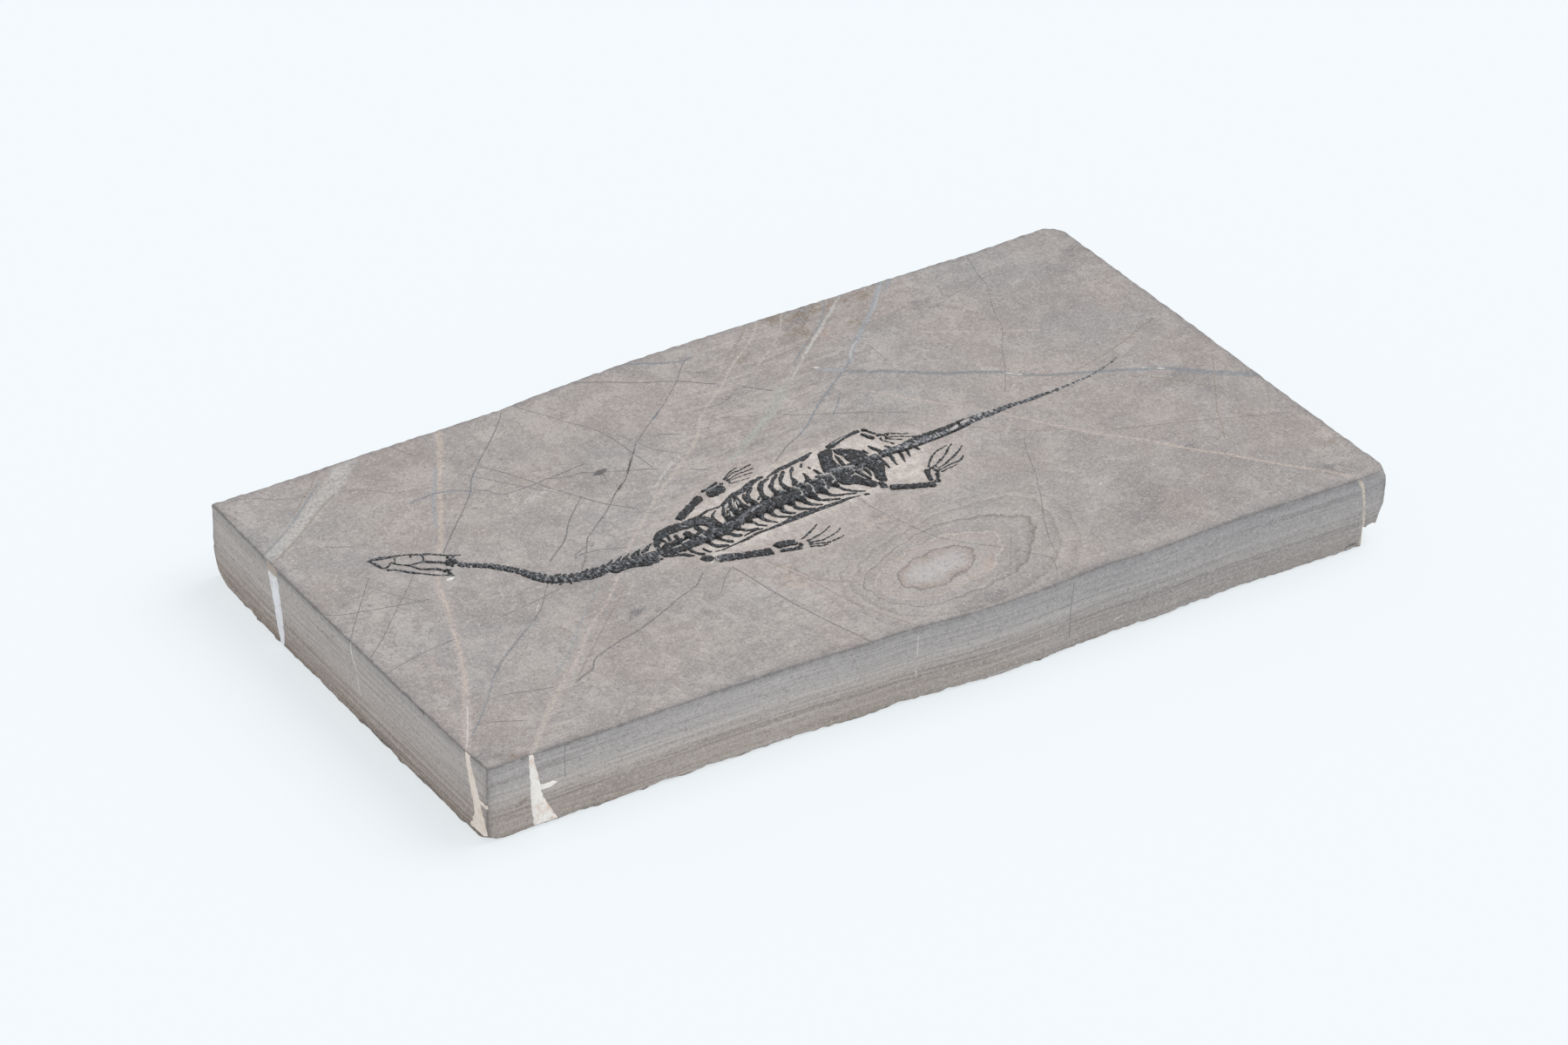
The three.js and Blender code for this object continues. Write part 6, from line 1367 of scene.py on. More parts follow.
# Seams of pale calcite and stone that stand flush with the bones: in the joints of the last trunk
# vertebrae and of the sacrum, in cracks across bones, and between crowded ribs.
SEAMS = {
    "back_vertebrae": [
        [(-4.4, -2.6, 0.7, 0.6), (-3.6, -3.4, 0.5, 0.6), (-3.2, -4.8, 0.4, 0.8), (-3.3, -6, 0.35, 0.8),
            (-3.9, -7.5, 0.35, 0.7), (-5.2, -7.9, 0.35, 0.6)],
        [(0.4, -3.2, 0.5, 0.6), (0.6, -4.2, 0.4, 0.7), (0.7, -5.4, 0.4, 0.7), (0.3, -6.6, 0.35, 0.7),
            (-0.3, -7.4, 0.7, 0.6), (-0.4, -8.4, 0.8, 0.6)],
        [(4.9, -3.4, 0.4, 0.6), (5, -4.8, 0.4, 0.6), (4.5, -6, 0.35, 0.6), (4.2, -7.2, 0.4, 0.6),
            (3.3, -7.7, 0.5, 0.6), (3.4, -9, 0.45, 0.7)],
        [(8.6, -2.6, 0.35, 0.7), (8.5, -4.2, 0.4, 0.7), (8.3, -5.4, 0.35, 0.7), (7.5, -6.2, 0.35, 0.7),
            (6.9, -6.4, 0.4, 0.7), (6.3, -7.3, 0.35, 0.6)],
        [(-2.4, -2.4, 0.35, 0.7), (-1.2, -1.9, 0.35, 0.8), (-0.4, -1.6, 0.4, 0.7)],
        [(-0.6, -3.4, 0.4, 0.6), (1.2, -3.2, 0.4, 0.7), (2.6, -2.7, 0.35, 0.6), (4.4, -2.6, 0.4, 0.6)],
        [(-8.2, -2.2, 0.6, 0.5), (-7.4, -3.2, 0.9, 0.5), (-6.9, -4, 0.5, 0.5)],
        [(-11.6, -5.2, 0.5, 0.4), (-10.4, -5.3, 0.5, 0.5), (-9.2, -5.6, 0.3, 0.4)],
        [(-10.6, -5.4, 0.35, 0.4), (-10.5, -6.8, 0.3, 0.4)],
        [(-13.4, -3.9, 0.5, 0.5), (-12.2, -3.7, 0.4, 0.5)],
        [(-21, -7.7, 0.35, 0.6), (-20, -7, 0.5, 0.6), (-18.8, -6.4, 0.7, 0.45), (-17.4, -6.1, 0.5, 0.5),
            (-16.4, -6.6, 0.4, 0.5)],
        [(-26.6, -10.6, 0.6, 0.25), (-25.2, -9.5, 0.9, 0.3), (-23.8, -8.5, 1, 0.3),
            (-22.2, -8.1, 0.8, 0.25)],
        [(-30.6, -10, 0.5, 0.3), (-29.4, -9.1, 0.6, 0.45), (-28.4, -9, 0.45, 0.45),
            (-27.6, -9.8, 0.3, 0.5)],
        [(-39.9, -10.6, 0.3, 0.7), (-38.8, -10.4, 0.45, 0.8), (-38.6, -11.8, 0.4, 0.8),
            (-38.3, -13.4, 0.35, 0.7)],
        [(-45.6, -11.2, 0.2, 0.7), (-44.4, -10.8, 0.35, 0.8), (-42.8, -10.6, 0.3, 0.7)],
        [(-49, -11.6, 0.25, 0.6), (-47.4, -11.9, 0.35, 0.7), (-46.2, -11.8, 0.2, 0.6)],
        [(-35.5, -9.4, 0.3, 0.4), (-34.2, -9.9, 0.4, 0.5), (-33, -9.8, 0.3, 0.4)],
    ],
    "sacrum": [
        [(5.4, -1.4, 0.35, 0.6), (6.4, -1.8, 0.55, 0.8), (7.6, -2, 0.5, 0.8), (8.6, -2.4, 0.35, 0.7)],
        [(9.2, -0.8, 0.4, 0.4), (11, -1.1, 0.6, 0.5), (13, -1.4, 0.6, 0.5), (15, -1.9, 0.6, 0.6),
            (16.8, -2.7, 0.5, 0.6)],
        [(14.2, -3.8, 0.3, 0.5), (15, -3, 0.4, 0.5), (15.4, -4.6, 0.5, 0.5)],
        [(19.3, -2.4, 0.5, 0.35), (18.6, -3.6, 0.45, 0.4), (17.8, -4.8, 0.35, 0.5), (16, -5, 0.35, 0.5)],
        [(19.6, -0.4, 0.3, 0.5), (20.7, -0.2, 0.3, 0.6)],
        [(21.2, -0.8, 0.4, 0.4), (23.4, -0.7, 0.35, 0.4)],
    ],
    "pubis_near": [
        [(12.8, -6.8, 0.3, 0.4), (13.6, -6.1, 0.35, 0.5), (14.6, -5.9, 0.5, 0.6),
            (15.3, -6.6, 0.35, 0.6)],
        [(9.4, -5.4, 0.4, 0.4), (10, -5.8, 0.5, 0.4)],
        [(14.6, -10.6, 0.3, 0.25), (15.6, -10.9, 0.6, 0.35), (16.2, -11.4, 0.3, 0.3)],
    ],
    "ischium_near": [
        [(23.6, -4.6, 0.3, 0.3), (24.4, -4.1, 0.7, 0.5), (24.9, -3.7, 0.3, 0.4)],
        [(20.6, -10.2, 0.3, 0.2), (21, -9.6, 0.6, 0.25), (21.4, -9, 0.3, 0.2)],
    ],
    "ischium_far": [
        [(17.2, 4.2, 0.3, 0.3), (18, 3.8, 0.5, 0.5), (18.8, 3.4, 0.3, 0.3)],
        [(18.2, -0.1, 0.4, 0.7), (18.9, 0.1, 0.5, 0.8)],
    ],
    "pubis_far": [
        [(12.3, 4.2, 0.3, 0.2), (12.8, 5.4, 0.6, 0.3), (13.6, 5.8, 0.4, 0.3)],
        [(10.8, 1.2, 0.3, 0.3), (11.4, 2.2, 0.35, 0.3)],
    ],
    "coracoid": [[(-39.6, -4.4, 0.4, 0.4), (-40.6, -3.6, 0.4, 0.5), (-41.3, -2.6, 0.3, 0.4)]],
    "humerus_near": [
        [(-41, -20.8, 0.2, 0.7), (-41.3, -22, 0.3, 0.8), (-41.2, -23.1, 0.2, 0.7)],
        [(-36.2, -22, 0.2, 0.6), (-36.5, -23, 0.3, 0.7), (-37.1, -24.2, 0.2, 0.6)],
        [(-35.2, -22.6, 0.3, 0.4), (-34.2, -23.3, 0.4, 0.7), (-33.2, -24, 0.3, 0.8)],
        [(-38.4, -21.6, 0.3, 0.3), (-36.4, -22.3, 0.5, 0.4)],
    ],
    "femur_far": [
        [(17.2, 10.3, 0.3, 0.5), (19.4, 11, 0.5, 0.6), (22, 11.8, 0.4, 0.5), (24.4, 12.3, 0.2, 0.4)],
    ],
    "radius_far": [
        [(-25.6, 8.1, 0.3, 0.5), (-23.6, 8.5, 0.3, 0.5), (-21.2, 9.2, 0.25, 0.4)],
        [(-20.2, 9.5, 0.5, 0), (-19.8, 9.7, 0.5, 0)],
        [(-19.6, 9.2, 0.4, 0.1), (-19.3, 9.5, 0.4, 0.1)],
    ],
    "rib_far_02": [
        [(-26.4, -6.6, 0.4, 0.8), (-25.8, -5.2, 0.5, 0.8), (-25.5, -3.8, 0.4, 0.7)],
        [(-27, -5.2, 0.35, 0.8), (-26.2, -4.6, 0.3, 0.8)],
    ],
    "rib_far_03": [
        [(-25.8, -1.7, 0.5, 0.9), (-24.7, -0.9, 0.6, 0.9), (-23.8, -0.2, 0.4, 0.9)],
        [(-25.6, -3.2, 0.5, 0.7), (-25, -2.3, 0.5, 0.7)],
        [(-23, -3.8, 0.3, 0.9), (-22.6, -2.6, 0.45, 0.9), (-22.2, -1.4, 0.5, 0.8),
            (-21.6, -0.4, 0.4, 0.8)],
    ],
    "rib_far_04": [[(-21.5, -2.4, 0.3, 0.6), (-21.1, -1, 0.4, 0.7), (-21, 0, 0.3, 0.6)]],
    "belly_rods_far_front": [
        [(-21.8, 1.1, 0.3, 0.5), (-21.3, 1.6, 0.35, 0.6)],
        [(-17, 3.1, 0.3, 0.4), (-16.4, 3.4, 0.4, 0.5)],
        [(-14.2, 3.8, 0.5, 0.35), (-13.6, 4.2, 0.5, 0.4)],
    ],
    "tail_vertebrae": [
        [(50.2, -0.9, 0.4, 0.7), (51.6, -0.5, 0.8, 1.1), (53, 0, 0.9, 1.1), (53.8, 0.7, 0.5, 0.9)],
        [(55, 0.7, 0.5, 0.6), (56.4, 1.1, 0.9, 0.8), (57.8, 1.2, 0.7, 0.7), (58.6, 1.4, 0.3, 0.6)],
        [(61, 1.3, 0.4, 0.5), (62, 1.5, 0.7, 0.6), (63, 1.6, 0.4, 0.5)],
        [(65.4, 1.5, 0.3, 0.5), (66.2, 1.5, 0.5, 0.6), (67, 1.6, 0.3, 0.5)],
    ],
}


SEAM_BREADTH = 1.5  # a seam's breadth at its foot, against the width by which it shows
SEAM_PALLOR = 1.4  # how much paler than that paleness it is, since noise mottles the bone


def seams_of(node_name, height):
    """The pale seams of one fossil, at one height from end to end."""
    look = (1, 1, SEAM_BREADTH, SEAM_PALLOR)
    return [
        swept(np.array(seam) * look, height, 0.15, blunt=1, thin=1) for seam in SEAMS.get(node_name, [])
    ]


# How high each stretch of the backbone stands above the bedding plane.
NECK_HEIGHT = 0.6
BLADE_HEIGHT = 0.5
SHOULDER_HEIGHT = 0.75
BACK_HEIGHT = 0.8
RIDGE_HEIGHT = 0.95
SEAT_HEIGHT = 1.0
SACRUM_HEIGHT = 0.7
BAND_HEIGHT = 0.8
TAIL_HEIGHT = 0.45
TAIL_BAR_HEIGHT = 0.75
TAIL_SEAM_HEIGHT = 0.85
fossil(
    "neck_vertebrae",
    [swept(NECK_CENTRA, NECK_HEIGHT, 0.2, joints=34, slant=0.5, narrow=0.15, pale=0.1, mottled=0.3)]
    + [swept(path, BLADE_HEIGHT, 0.22, blunt=1, pale=0.1, mottled=0.2) for path in NECK_BLADES]
    + blades(NECK_RIBS, SHORT_RIB_HEIGHT),
)
fossil(
    "back_vertebrae",
    [
        swept(
            SHOULDER_PATH, SHOULDER_HEIGHT, 0.22, joints=7, slant=0.4, narrow=0.08, seam=0.15, pale=0.08,
            mottled=0.22,
        ),
        swept(
            BACK_PATH, BACK_HEIGHT, 0.2, joints=9, slant=0.22, narrow=0.06, seam=0.3, pale=0.05, mottled=0.2
        ),
        swept(BACK_RIDGE, RIDGE_HEIGHT, 0.2, joints=6, slant=0.5, narrow=0.3, blunt=1, seam=0.3),
    ]
    + seams_of("back_vertebrae", RIDGE_HEIGHT)
    + [lump(*seat, height=SEAT_HEIGHT) for seat in RIB_SEATS]
    + blades(BACK_RIBS, SHORT_RIB_HEIGHT),
)
fossil(
    "sacrum",
    [
        swept(
            SACRUM_PATH, SACRUM_HEIGHT, 0.22, joints=5, slant=0.3, narrow=0.08, groove=0.25, seam=0.6,
            pale=0.08, mottled=0.2,
        ),
        swept(
            SACRUM_BAND, BAND_HEIGHT, 0.22, joints=6, slant=0.4, narrow=0.12, groove=0.2, seam=0.2,
            mottled=0.15,
        ),
    ]
    + seams_of("sacrum", RIDGE_HEIGHT)
    + blades(SACRAL_RIBS, SHORT_RIB_HEIGHT),
)
fossil(
    "tail_vertebrae",
    [swept(TAIL_GREY, TAIL_HEIGHT, 0.22, joints=42, slant=0.1, narrow=0.12, seam=0.35, mottled=0.3)]
    + [
        swept(bar, TAIL_BAR_HEIGHT, 0.22, joints=8, slant=0.3, blunt=1, seam=0.2, mottled=0.1)
        for bar in TAIL_BARS
    ]
    + seams_of("tail_vertebrae", TAIL_SEAM_HEIGHT)
    + blades(TAIL_RIBS, SHORT_RIB_HEIGHT),
)

# ---- Girdles ---------------------------------------------------------------------------------
# The flat bones that carry the limbs: collar bone, coracoid and shoulder blade in front, pubis,
# ischium and ilium behind.
CLAVICLE = [
    (-52, -8.7, 1.2), (-51, -6.9, 1.7), (-49.6, -5.1, 2.3), (-47.8, -3.7, 3), (-45.5, -3.1, 3.4),
    (-43.2, -2.9, 3.5), (-41.2, -2.8, 3.3), (-40, -2.6, 2.8),
]
# Bits of bone in the opening between the collar bone, the coracoid and the backbone.
SHOULDER_BITS = [
    [(-49, -5.4, 1), (-48.9, -6.6, 0.9), (-48.5, -7.9, 0.7)],
    [(-46.6, -5.2, 0.7), (-46.8, -6.6, 0.9), (-47.2, -7.8, 0.7)],
    [(-44.5, -5.8, 0.9), (-44.8, -7.4, 1.2), (-45.2, -9.2, 0.9)],
    [(-42.9, -8.2, 0.7), (-43, -9.4, 0.9)],
    [(-37.7, -5.2, 1.2), (-37.4, -6.8, 1.7), (-37.2, -8.2, 1.3)],
    [(-39.4, -8.8, 0.8), (-38.2, -8.3, 0.9), (-36.4, -8, 0.7)],
    [(-35.4, -8.4, 0.9), (-34.2, -8.8, 1)],
]
GIRDLES = {
    "coracoid": [(-41.3, -4.6), (-40.6, -2.6), (-39.6, -1.3), (-36, -1.2), (-33.6, -1.4), (-32.2, -2.4),
        (-31.2, -4), (-30.7, -5.8), (-30.8, -8), (-32.6, -9), (-34.2, -8.6), (-34.6, -6.8), (-35.8, -5.4),
        (-37.2, -5), (-39, -4.9)],
    "shoulder_blade": [(-45, -19.5), (-44.3, -18.9), (-42.7, -19.1), (-41.6, -20), (-41.6, -21.2),
        (-42.5, -21.8), (-43.8, -21.5), (-44.7, -20.5)],
    "pubis_far": [(8.4, -0.6), (8.6, 1.5), (9.4, 3.4), (10.3, 5.6), (11.1, 7.5), (12.2, 8.9), (13.6, 9.5),
        (15.6, 9.6), (16.6, 9.2), (15.9, 7.2), (14.8, 5.6), (14.1, 4), (13.7, 2), (13.7, -0.8),
        (12, -1)],
    "ischium_far": [(16.6, 8.4), (18.4, 8), (19.8, 7.1), (21.2, 6.1), (22.4, 4.8), (23.3, 3.5),
        (23.5, 1.8), (23.1, 0.2), (20, 0), (18.2, 0), (17.1, 0.8), (17, 2.6), (17.4, 4), (16.9, 5.3),
        (16.4, 6.6)],
    "pubis_near": [(8.7, -5.6), (10.6, -5), (13, -4.9), (14.7, -4.8), (15.3, -6.6), (15.9, -8.4),
        (16.8, -10), (17.8, -11.6), (17.9, -12.8), (17, -13.6), (16, -13.9), (15.2, -13.4), (14.2, -12),
        (13.2, -10.8), (12.2, -9.8), (10.6, -9.2), (9.2, -8.4), (8.7, -7.4)],
    "ischium_near": [(20, -2.9), (21.6, -2.8), (23.4, -3), (25, -3.8), (24.8, -5.6), (23.8, -7.4),
        (22.9, -8.8), (22.1, -10.3), (21.5, -11.8), (20.9, -12.8), (20.2, -12.9), (19.2, -11.9),
        (18.8, -10.4), (19.4, -8.8), (19.9, -7.4), (20, -5.4)],
    "ilium_near": [(18.1, -12.3), (18.8, -12.2), (19.4, -13.6), (19.4, -14.8), (19, -15.8), (17.9, -15.6),
        (17.3, -14.9), (17.8, -13.8)],
}
GIRDLE_HEIGHT = 0.45
SHOULDER_BIT_HEIGHT = 0.5
SHOULDER_KNOB = (-41.3, -7.1, 1.1, 1.1, 0, 0.6)  # the last number is its height
GIRDLE_SEAM_RISE = 0.12  # how far a seam stands above a girdle's bone
CORACOID_PALLOR = 0.18
fossil(
    "clavicle",
    [swept(CLAVICLE, GIRDLE_HEIGHT, 0.22, blunt=0.25)]
    + [swept(bit, SHOULDER_BIT_HEIGHT, 0.2) for bit in SHOULDER_BITS]
    + [lump(*SHOULDER_KNOB)],
)
for name, outline in GIRDLES.items():
    plate = slab_of_bone(outline, GIRDLE_HEIGHT, CORACOID_PALLOR if name == "coracoid" else 0)
    fossil(name, [plate] + seams_of(name, GIRDLE_HEIGHT + GIRDLE_SEAM_RISE))

# ---- Limbs -----------------------------------------------------------------------------------
# One long bone in each upper limb and two in each lower one, then the small bones of wrist or ankle
# and the beaded rows of finger and toe bones.
LONG_BONES = {
    "humerus_far": [(-39.6, 0.1, 1.9), (-38.4, 0.9, 2.4), (-35.5, 2.6, 2.4), (-33, 4.2, 2.3),
        (-31, 5.4, 2.4), (-29.2, 6.4, 2.6), (-28.3, 6.8, 2.3)],
    "radius_far": [(-26.6, 8.8, 0.9), (-24.5, 9.4, 0.6), (-22.5, 10, 0.7), (-21.2, 10.4, 0.7),
        (-20.4, 10.9, 0.7)],
    "ulna_far": [(-26.2, 6.5, 2), (-25.2, 6.5, 2.7), (-23.5, 6.6, 2.8), (-21.5, 7.3, 2.7),
        (-20.5, 7.9, 2.4), (-20, 8.1, 1.9)],
    "humerus_near": [(-41.2, -21.9, 2.5, 0.3), (-39.5, -22.3, 3, 0.28), (-37, -23.1, 3.1, 0.15),
        (-34, -24.1, 2.9, 0.05), (-31, -25.1, 2.9, 0), (-28, -25.9, 3.2, 0), (-26, -26.3, 3, 0)],
    "radius_near": [(-24.2, -25, 2), (-23.3, -24.8, 2.8), (-21.5, -25.1, 2.8), (-19.5, -25.5, 2.6),
        (-18.2, -25.8, 2.4)],
    "ulna_near": [(-24.3, -27.6, 0.9), (-23, -27.9, 1.2), (-21, -28.5, 1.1), (-19.3, -28.8, 1.3),
        (-18.2, -28.9, 1.2)],
    "femur_far": [(15.8, 10.5, 0.9), (17.2, 10.3, 1.8), (19, 10.9, 1.7), (21, 11.6, 1.4), (24, 12.3, 1.1),
        (26.5, 12.7, 1.2), (28.5, 12.9, 1.2)],
    "fibula_far": [(29.3, 12.7, 0.9), (30.2, 12.4, 1), (30.7, 11.2, 0.6), (31.2, 10.1, 0.6),
        (31.9, 9.2, 0.5)],
    "tibia_far": [(28.2, 11.3, 0.7), (28.5, 10.3, 0.9), (29, 9, 0.9), (29.6, 7.9, 1.1), (29.9, 7.2, 0.9)],
    "femur_near": [(19.3, -16.5, 2.5), (20.6, -17, 2.5), (22.5, -17.8, 2.3), (25, -18.9, 2.2),
        (28, -20.2, 2.2), (30, -21, 2.3), (31.4, -21.3, 2.1)],
    "tibia_near": [(33.2, -14.1, 1.6), (32.9, -15, 1.6), (32.3, -16.5, 1.4), (31.8, -18, 1.3),
        (31.4, -19.2, 1.3)],
    "fibula_near": [(35, -16.7, 0.9), (34.6, -17.6, 1.2), (34, -18.7, 0.8), (33.2, -19.8, 0.9),
        (32.8, -20.9, 1.3)],
}
HANDS_AND_FEET = {
    "hand_far": [
        [(-17.9, 11.6, 0.5), (-17.5, 10.8, 0.6), (-17.2, 9.8, 0.6), (-17.3, 8.5, 0.5)],
        [(-17.7, 11.4, 0.5), (-16.3, 12.3, 0.4), (-14.5, 13.5, 0.45), (-12.5, 14.3, 0.4),
            (-11.2, 14.7, 0.3)],
        [(-17.5, 10.9, 0.5), (-15.5, 12, 0.45), (-13.5, 12.9, 0.5), (-12, 12.9, 0.4), (-10, 13.4, 0.45),
            (-8.5, 13.8, 0.4), (-7, 14, 0.3)],
        [(-17.3, 10.2, 0.5), (-15.3, 10.9, 0.4), (-13.2, 11.5, 0.45), (-10.5, 11.7, 0.4),
            (-7.4, 12, 0.35)],
        [(-17.2, 9.8, 0.4), (-15, 10, 0.4), (-12.3, 10.1, 0.5), (-10.5, 10.2, 0.4), (-8.8, 10.2, 0.3)],
        [(-17.3, 8.5, 0.6), (-16.2, 8.4, 0.5), (-14.5, 8.3, 0.4), (-12.5, 8.2, 0.4), (-11, 8.2, 0.3)],
    ],
    "hand_near": [
        [(-18, -27, 1.2), (-17.4, -27.6, 1.1), (-17.6, -28.3, 0.6)],
        [(-16, -25.4, 0.6), (-15.2, -25.1, 0.5), (-14, -24.6, 0.5), (-13.2, -24.1, 0.6),
            (-12, -23.6, 0.7), (-11, -23, 0.5), (-10.2, -22.6, 0.5), (-8.8, -21.7, 0.5),
            (-8.1, -21.1, 0.3)],
        [(-15.3, -26.9, 0.9), (-13.5, -26.8, 0.5), (-12.2, -26.4, 0.7), (-10.5, -26.1, 0.45),
            (-9.2, -25.6, 0.45), (-8.5, -25.4, 0.6), (-7.2, -24.7, 0.45), (-6, -24.1, 0.45),
            (-5.4, -23.8, 0.3)],
        [(-15.3, -27.7, 0.6), (-14.2, -28.1, 0.5), (-12.8, -28.4, 0.5), (-11.2, -28.8, 0.55),
            (-9.8, -28.5, 0.45), (-8.2, -28.2, 0.45), (-6.8, -27.8, 0.45), (-5.5, -27.4, 0.5),
            (-4.3, -26.7, 0.45), (-3.7, -25.9, 0.3)],
        [(-15.7, -28.6, 0.6), (-14.5, -29, 0.5), (-13.5, -29.5, 0.45), (-12.3, -29.9, 0.5),
            (-11, -30.4, 0.55), (-9.6, -30.5, 0.5), (-8.5, -30.4, 0.5), (-7.2, -30.3, 0.4),
            (-5.8, -30, 0.4), (-4.7, -29.7, 0.3)],
        [(-16, -29.5, 0.6), (-15, -30, 0.5), (-14.2, -30.4, 0.5), (-13.3, -30.9, 0.5),
            (-12.4, -31.1, 0.5), (-10.9, -31.1, 0.4)],
    ],
    "foot_far": [
        [(31.4, 8.3, 0.8), (32.4, 8.2, 1.3), (33.2, 7.8, 0.8), (33.6, 7, 0.5), (33.4, 6.2, 0.7),
            (33, 5.6, 0.9)],
        [(33.9, 7.9, 0.5), (34.9, 7.7, 0.5), (36, 7, 0.5), (37.2, 6.2, 0.5), (38.2, 5.4, 0.5),
            (39.9, 4.6, 0.4)],
        [(33.8, 5.9, 0.5), (35, 5.6, 0.5), (36.4, 4.9, 0.5), (37.6, 4.2, 0.7), (38.6, 3.5, 0.5),
            (40, 2.7, 0.5), (41, 2.2, 0.4)],
        [(33.4, 5.2, 0.7), (34.4, 4.5, 0.45), (35.4, 3.8, 0.5), (36.2, 3.2, 0.7), (36.9, 2.9, 0.5)],
        [(31.6, 6.9, 0.7), (31.6, 5.5, 0.7), (32.2, 4.4, 0.5), (32.8, 3.4, 0.5), (33.2, 2.4, 0.9),
            (33.3, 1.9, 0.7)],
    ],
    "foot_near": [
        [(34.5, -13.8, 0.8), (35.4, -14, 0.9), (35.3, -15, 0.8), (35.6, -15.9, 1.0), (36.3, -16.3, 0.6)],
        [(34.6, -13.3, 0.5), (35, -12.6, 0.6), (35.9, -11.5, 0.45), (37, -10.4, 0.6), (38.5, -9, 0.7),
            (39.5, -8.3, 0.45), (41.6, -7.2, 0.6), (43.2, -6.8, 0.5), (45.8, -6.1, 0.3)],
        [(35.9, -13.5, 0.5), (37.3, -13, 0.45), (38.5, -12.3, 0.5), (39.8, -11.6, 0.9),
            (41.2, -10.8, 0.5), (42.6, -9.8, 0.45), (43.8, -8.9, 0.8), (45.6, -7.3, 0.5),
            (46.8, -6.6, 0.5), (47.4, -5.9, 0.3)],
        [(36.4, -14.9, 0.5), (37.5, -14.7, 0.5), (39.2, -14.2, 0.45), (40.2, -13.8, 0.7),
            (41.2, -13.2, 0.6), (42.5, -12.6, 0.45), (44, -11.9, 0.7), (46.3, -10.6, 0.5),
            (47.6, -9.8, 0.5), (49.4, -8.3, 0.3)],
        [(36.2, -15.8, 0.6), (37.6, -15.6, 0.5), (39.5, -15.2, 0.5), (41, -14.9, 0.5), (43.8, -14.7, 0.5),
            (45.2, -14.1, 0.6), (46.7, -12.8, 0.3)],
        [(36.4, -16.5, 0.5), (37, -16.9, 0.6), (38.8, -16.4, 0.5), (40.5, -16.3, 0.45),
            (42.5, -15.8, 0.3)],
    ],
}
# Loose small bones of an ankle and a hand, as the middle, the two half widths and the turn in degrees.
ANKLE_BITS = {
    "foot_far": [(31.7, 6.5, 0.45, 0.35, 30), (33.1, 5.5, 0.45, 0.35, 0), (34.3, 6.9, 0.35, 0.3, 0)],
    "foot_near": [(32.1, -20.2, 0.5, 0.3, 20), (34.1, -14.4, 0.4, 0.4, 0), (36.6, -13.9, 0.4, 0.3, 0)],
    "hand_near": [(-18.4, -26.6, 0.5, 0.4, 0)],
}
NEAR_DIGIT_BREADTH = 1.1  # the near digits' breadth against the table
LIMB_HEIGHT = 0.6
LIMB_SEAM_RISE = 0.06  # how far a seam stands above a long bone
WRIST_HEIGHT = 0.35
DIGIT_HEIGHT = 0.2
DIGIT_BONE = 1.7  # mean length of one finger or toe bone
for name, path in LONG_BONES.items():
    main = swept(path, LIMB_HEIGHT, 0.22, blunt=0.3, mottled=0.12)
    fossil(name, [main] + seams_of(name, LIMB_HEIGHT + LIMB_SEAM_RISE))
for name, (wrist, *digits) in HANDS_AND_FEET.items():
    lengths = [np.hypot(*np.diff(np.array(path)[:, :2], axis=0).T).sum() for path in digits]
    breadth = NEAR_DIGIT_BREADTH if name.endswith("near") else 1
    rows = [
        swept(
            np.array(path) * (1, 1, breadth), DIGIT_HEIGHT, 0.16, joints=max(2, round(length / DIGIT_BONE)),
            narrow=0.35, groove=0.85, mottled=0.1,
        )
        for path, length in zip(digits, lengths)
    ]
    wrist_bones = swept(wrist, WRIST_HEIGHT, 0.2, joints=len(wrist) - 1, groove=0.8)
    loose_bones = [lump(*bit, height=WRIST_HEIGHT) for bit in ANKLE_BITS.get(name, [])]
    fossil(name, [wrist_bones] + loose_bones + rows)

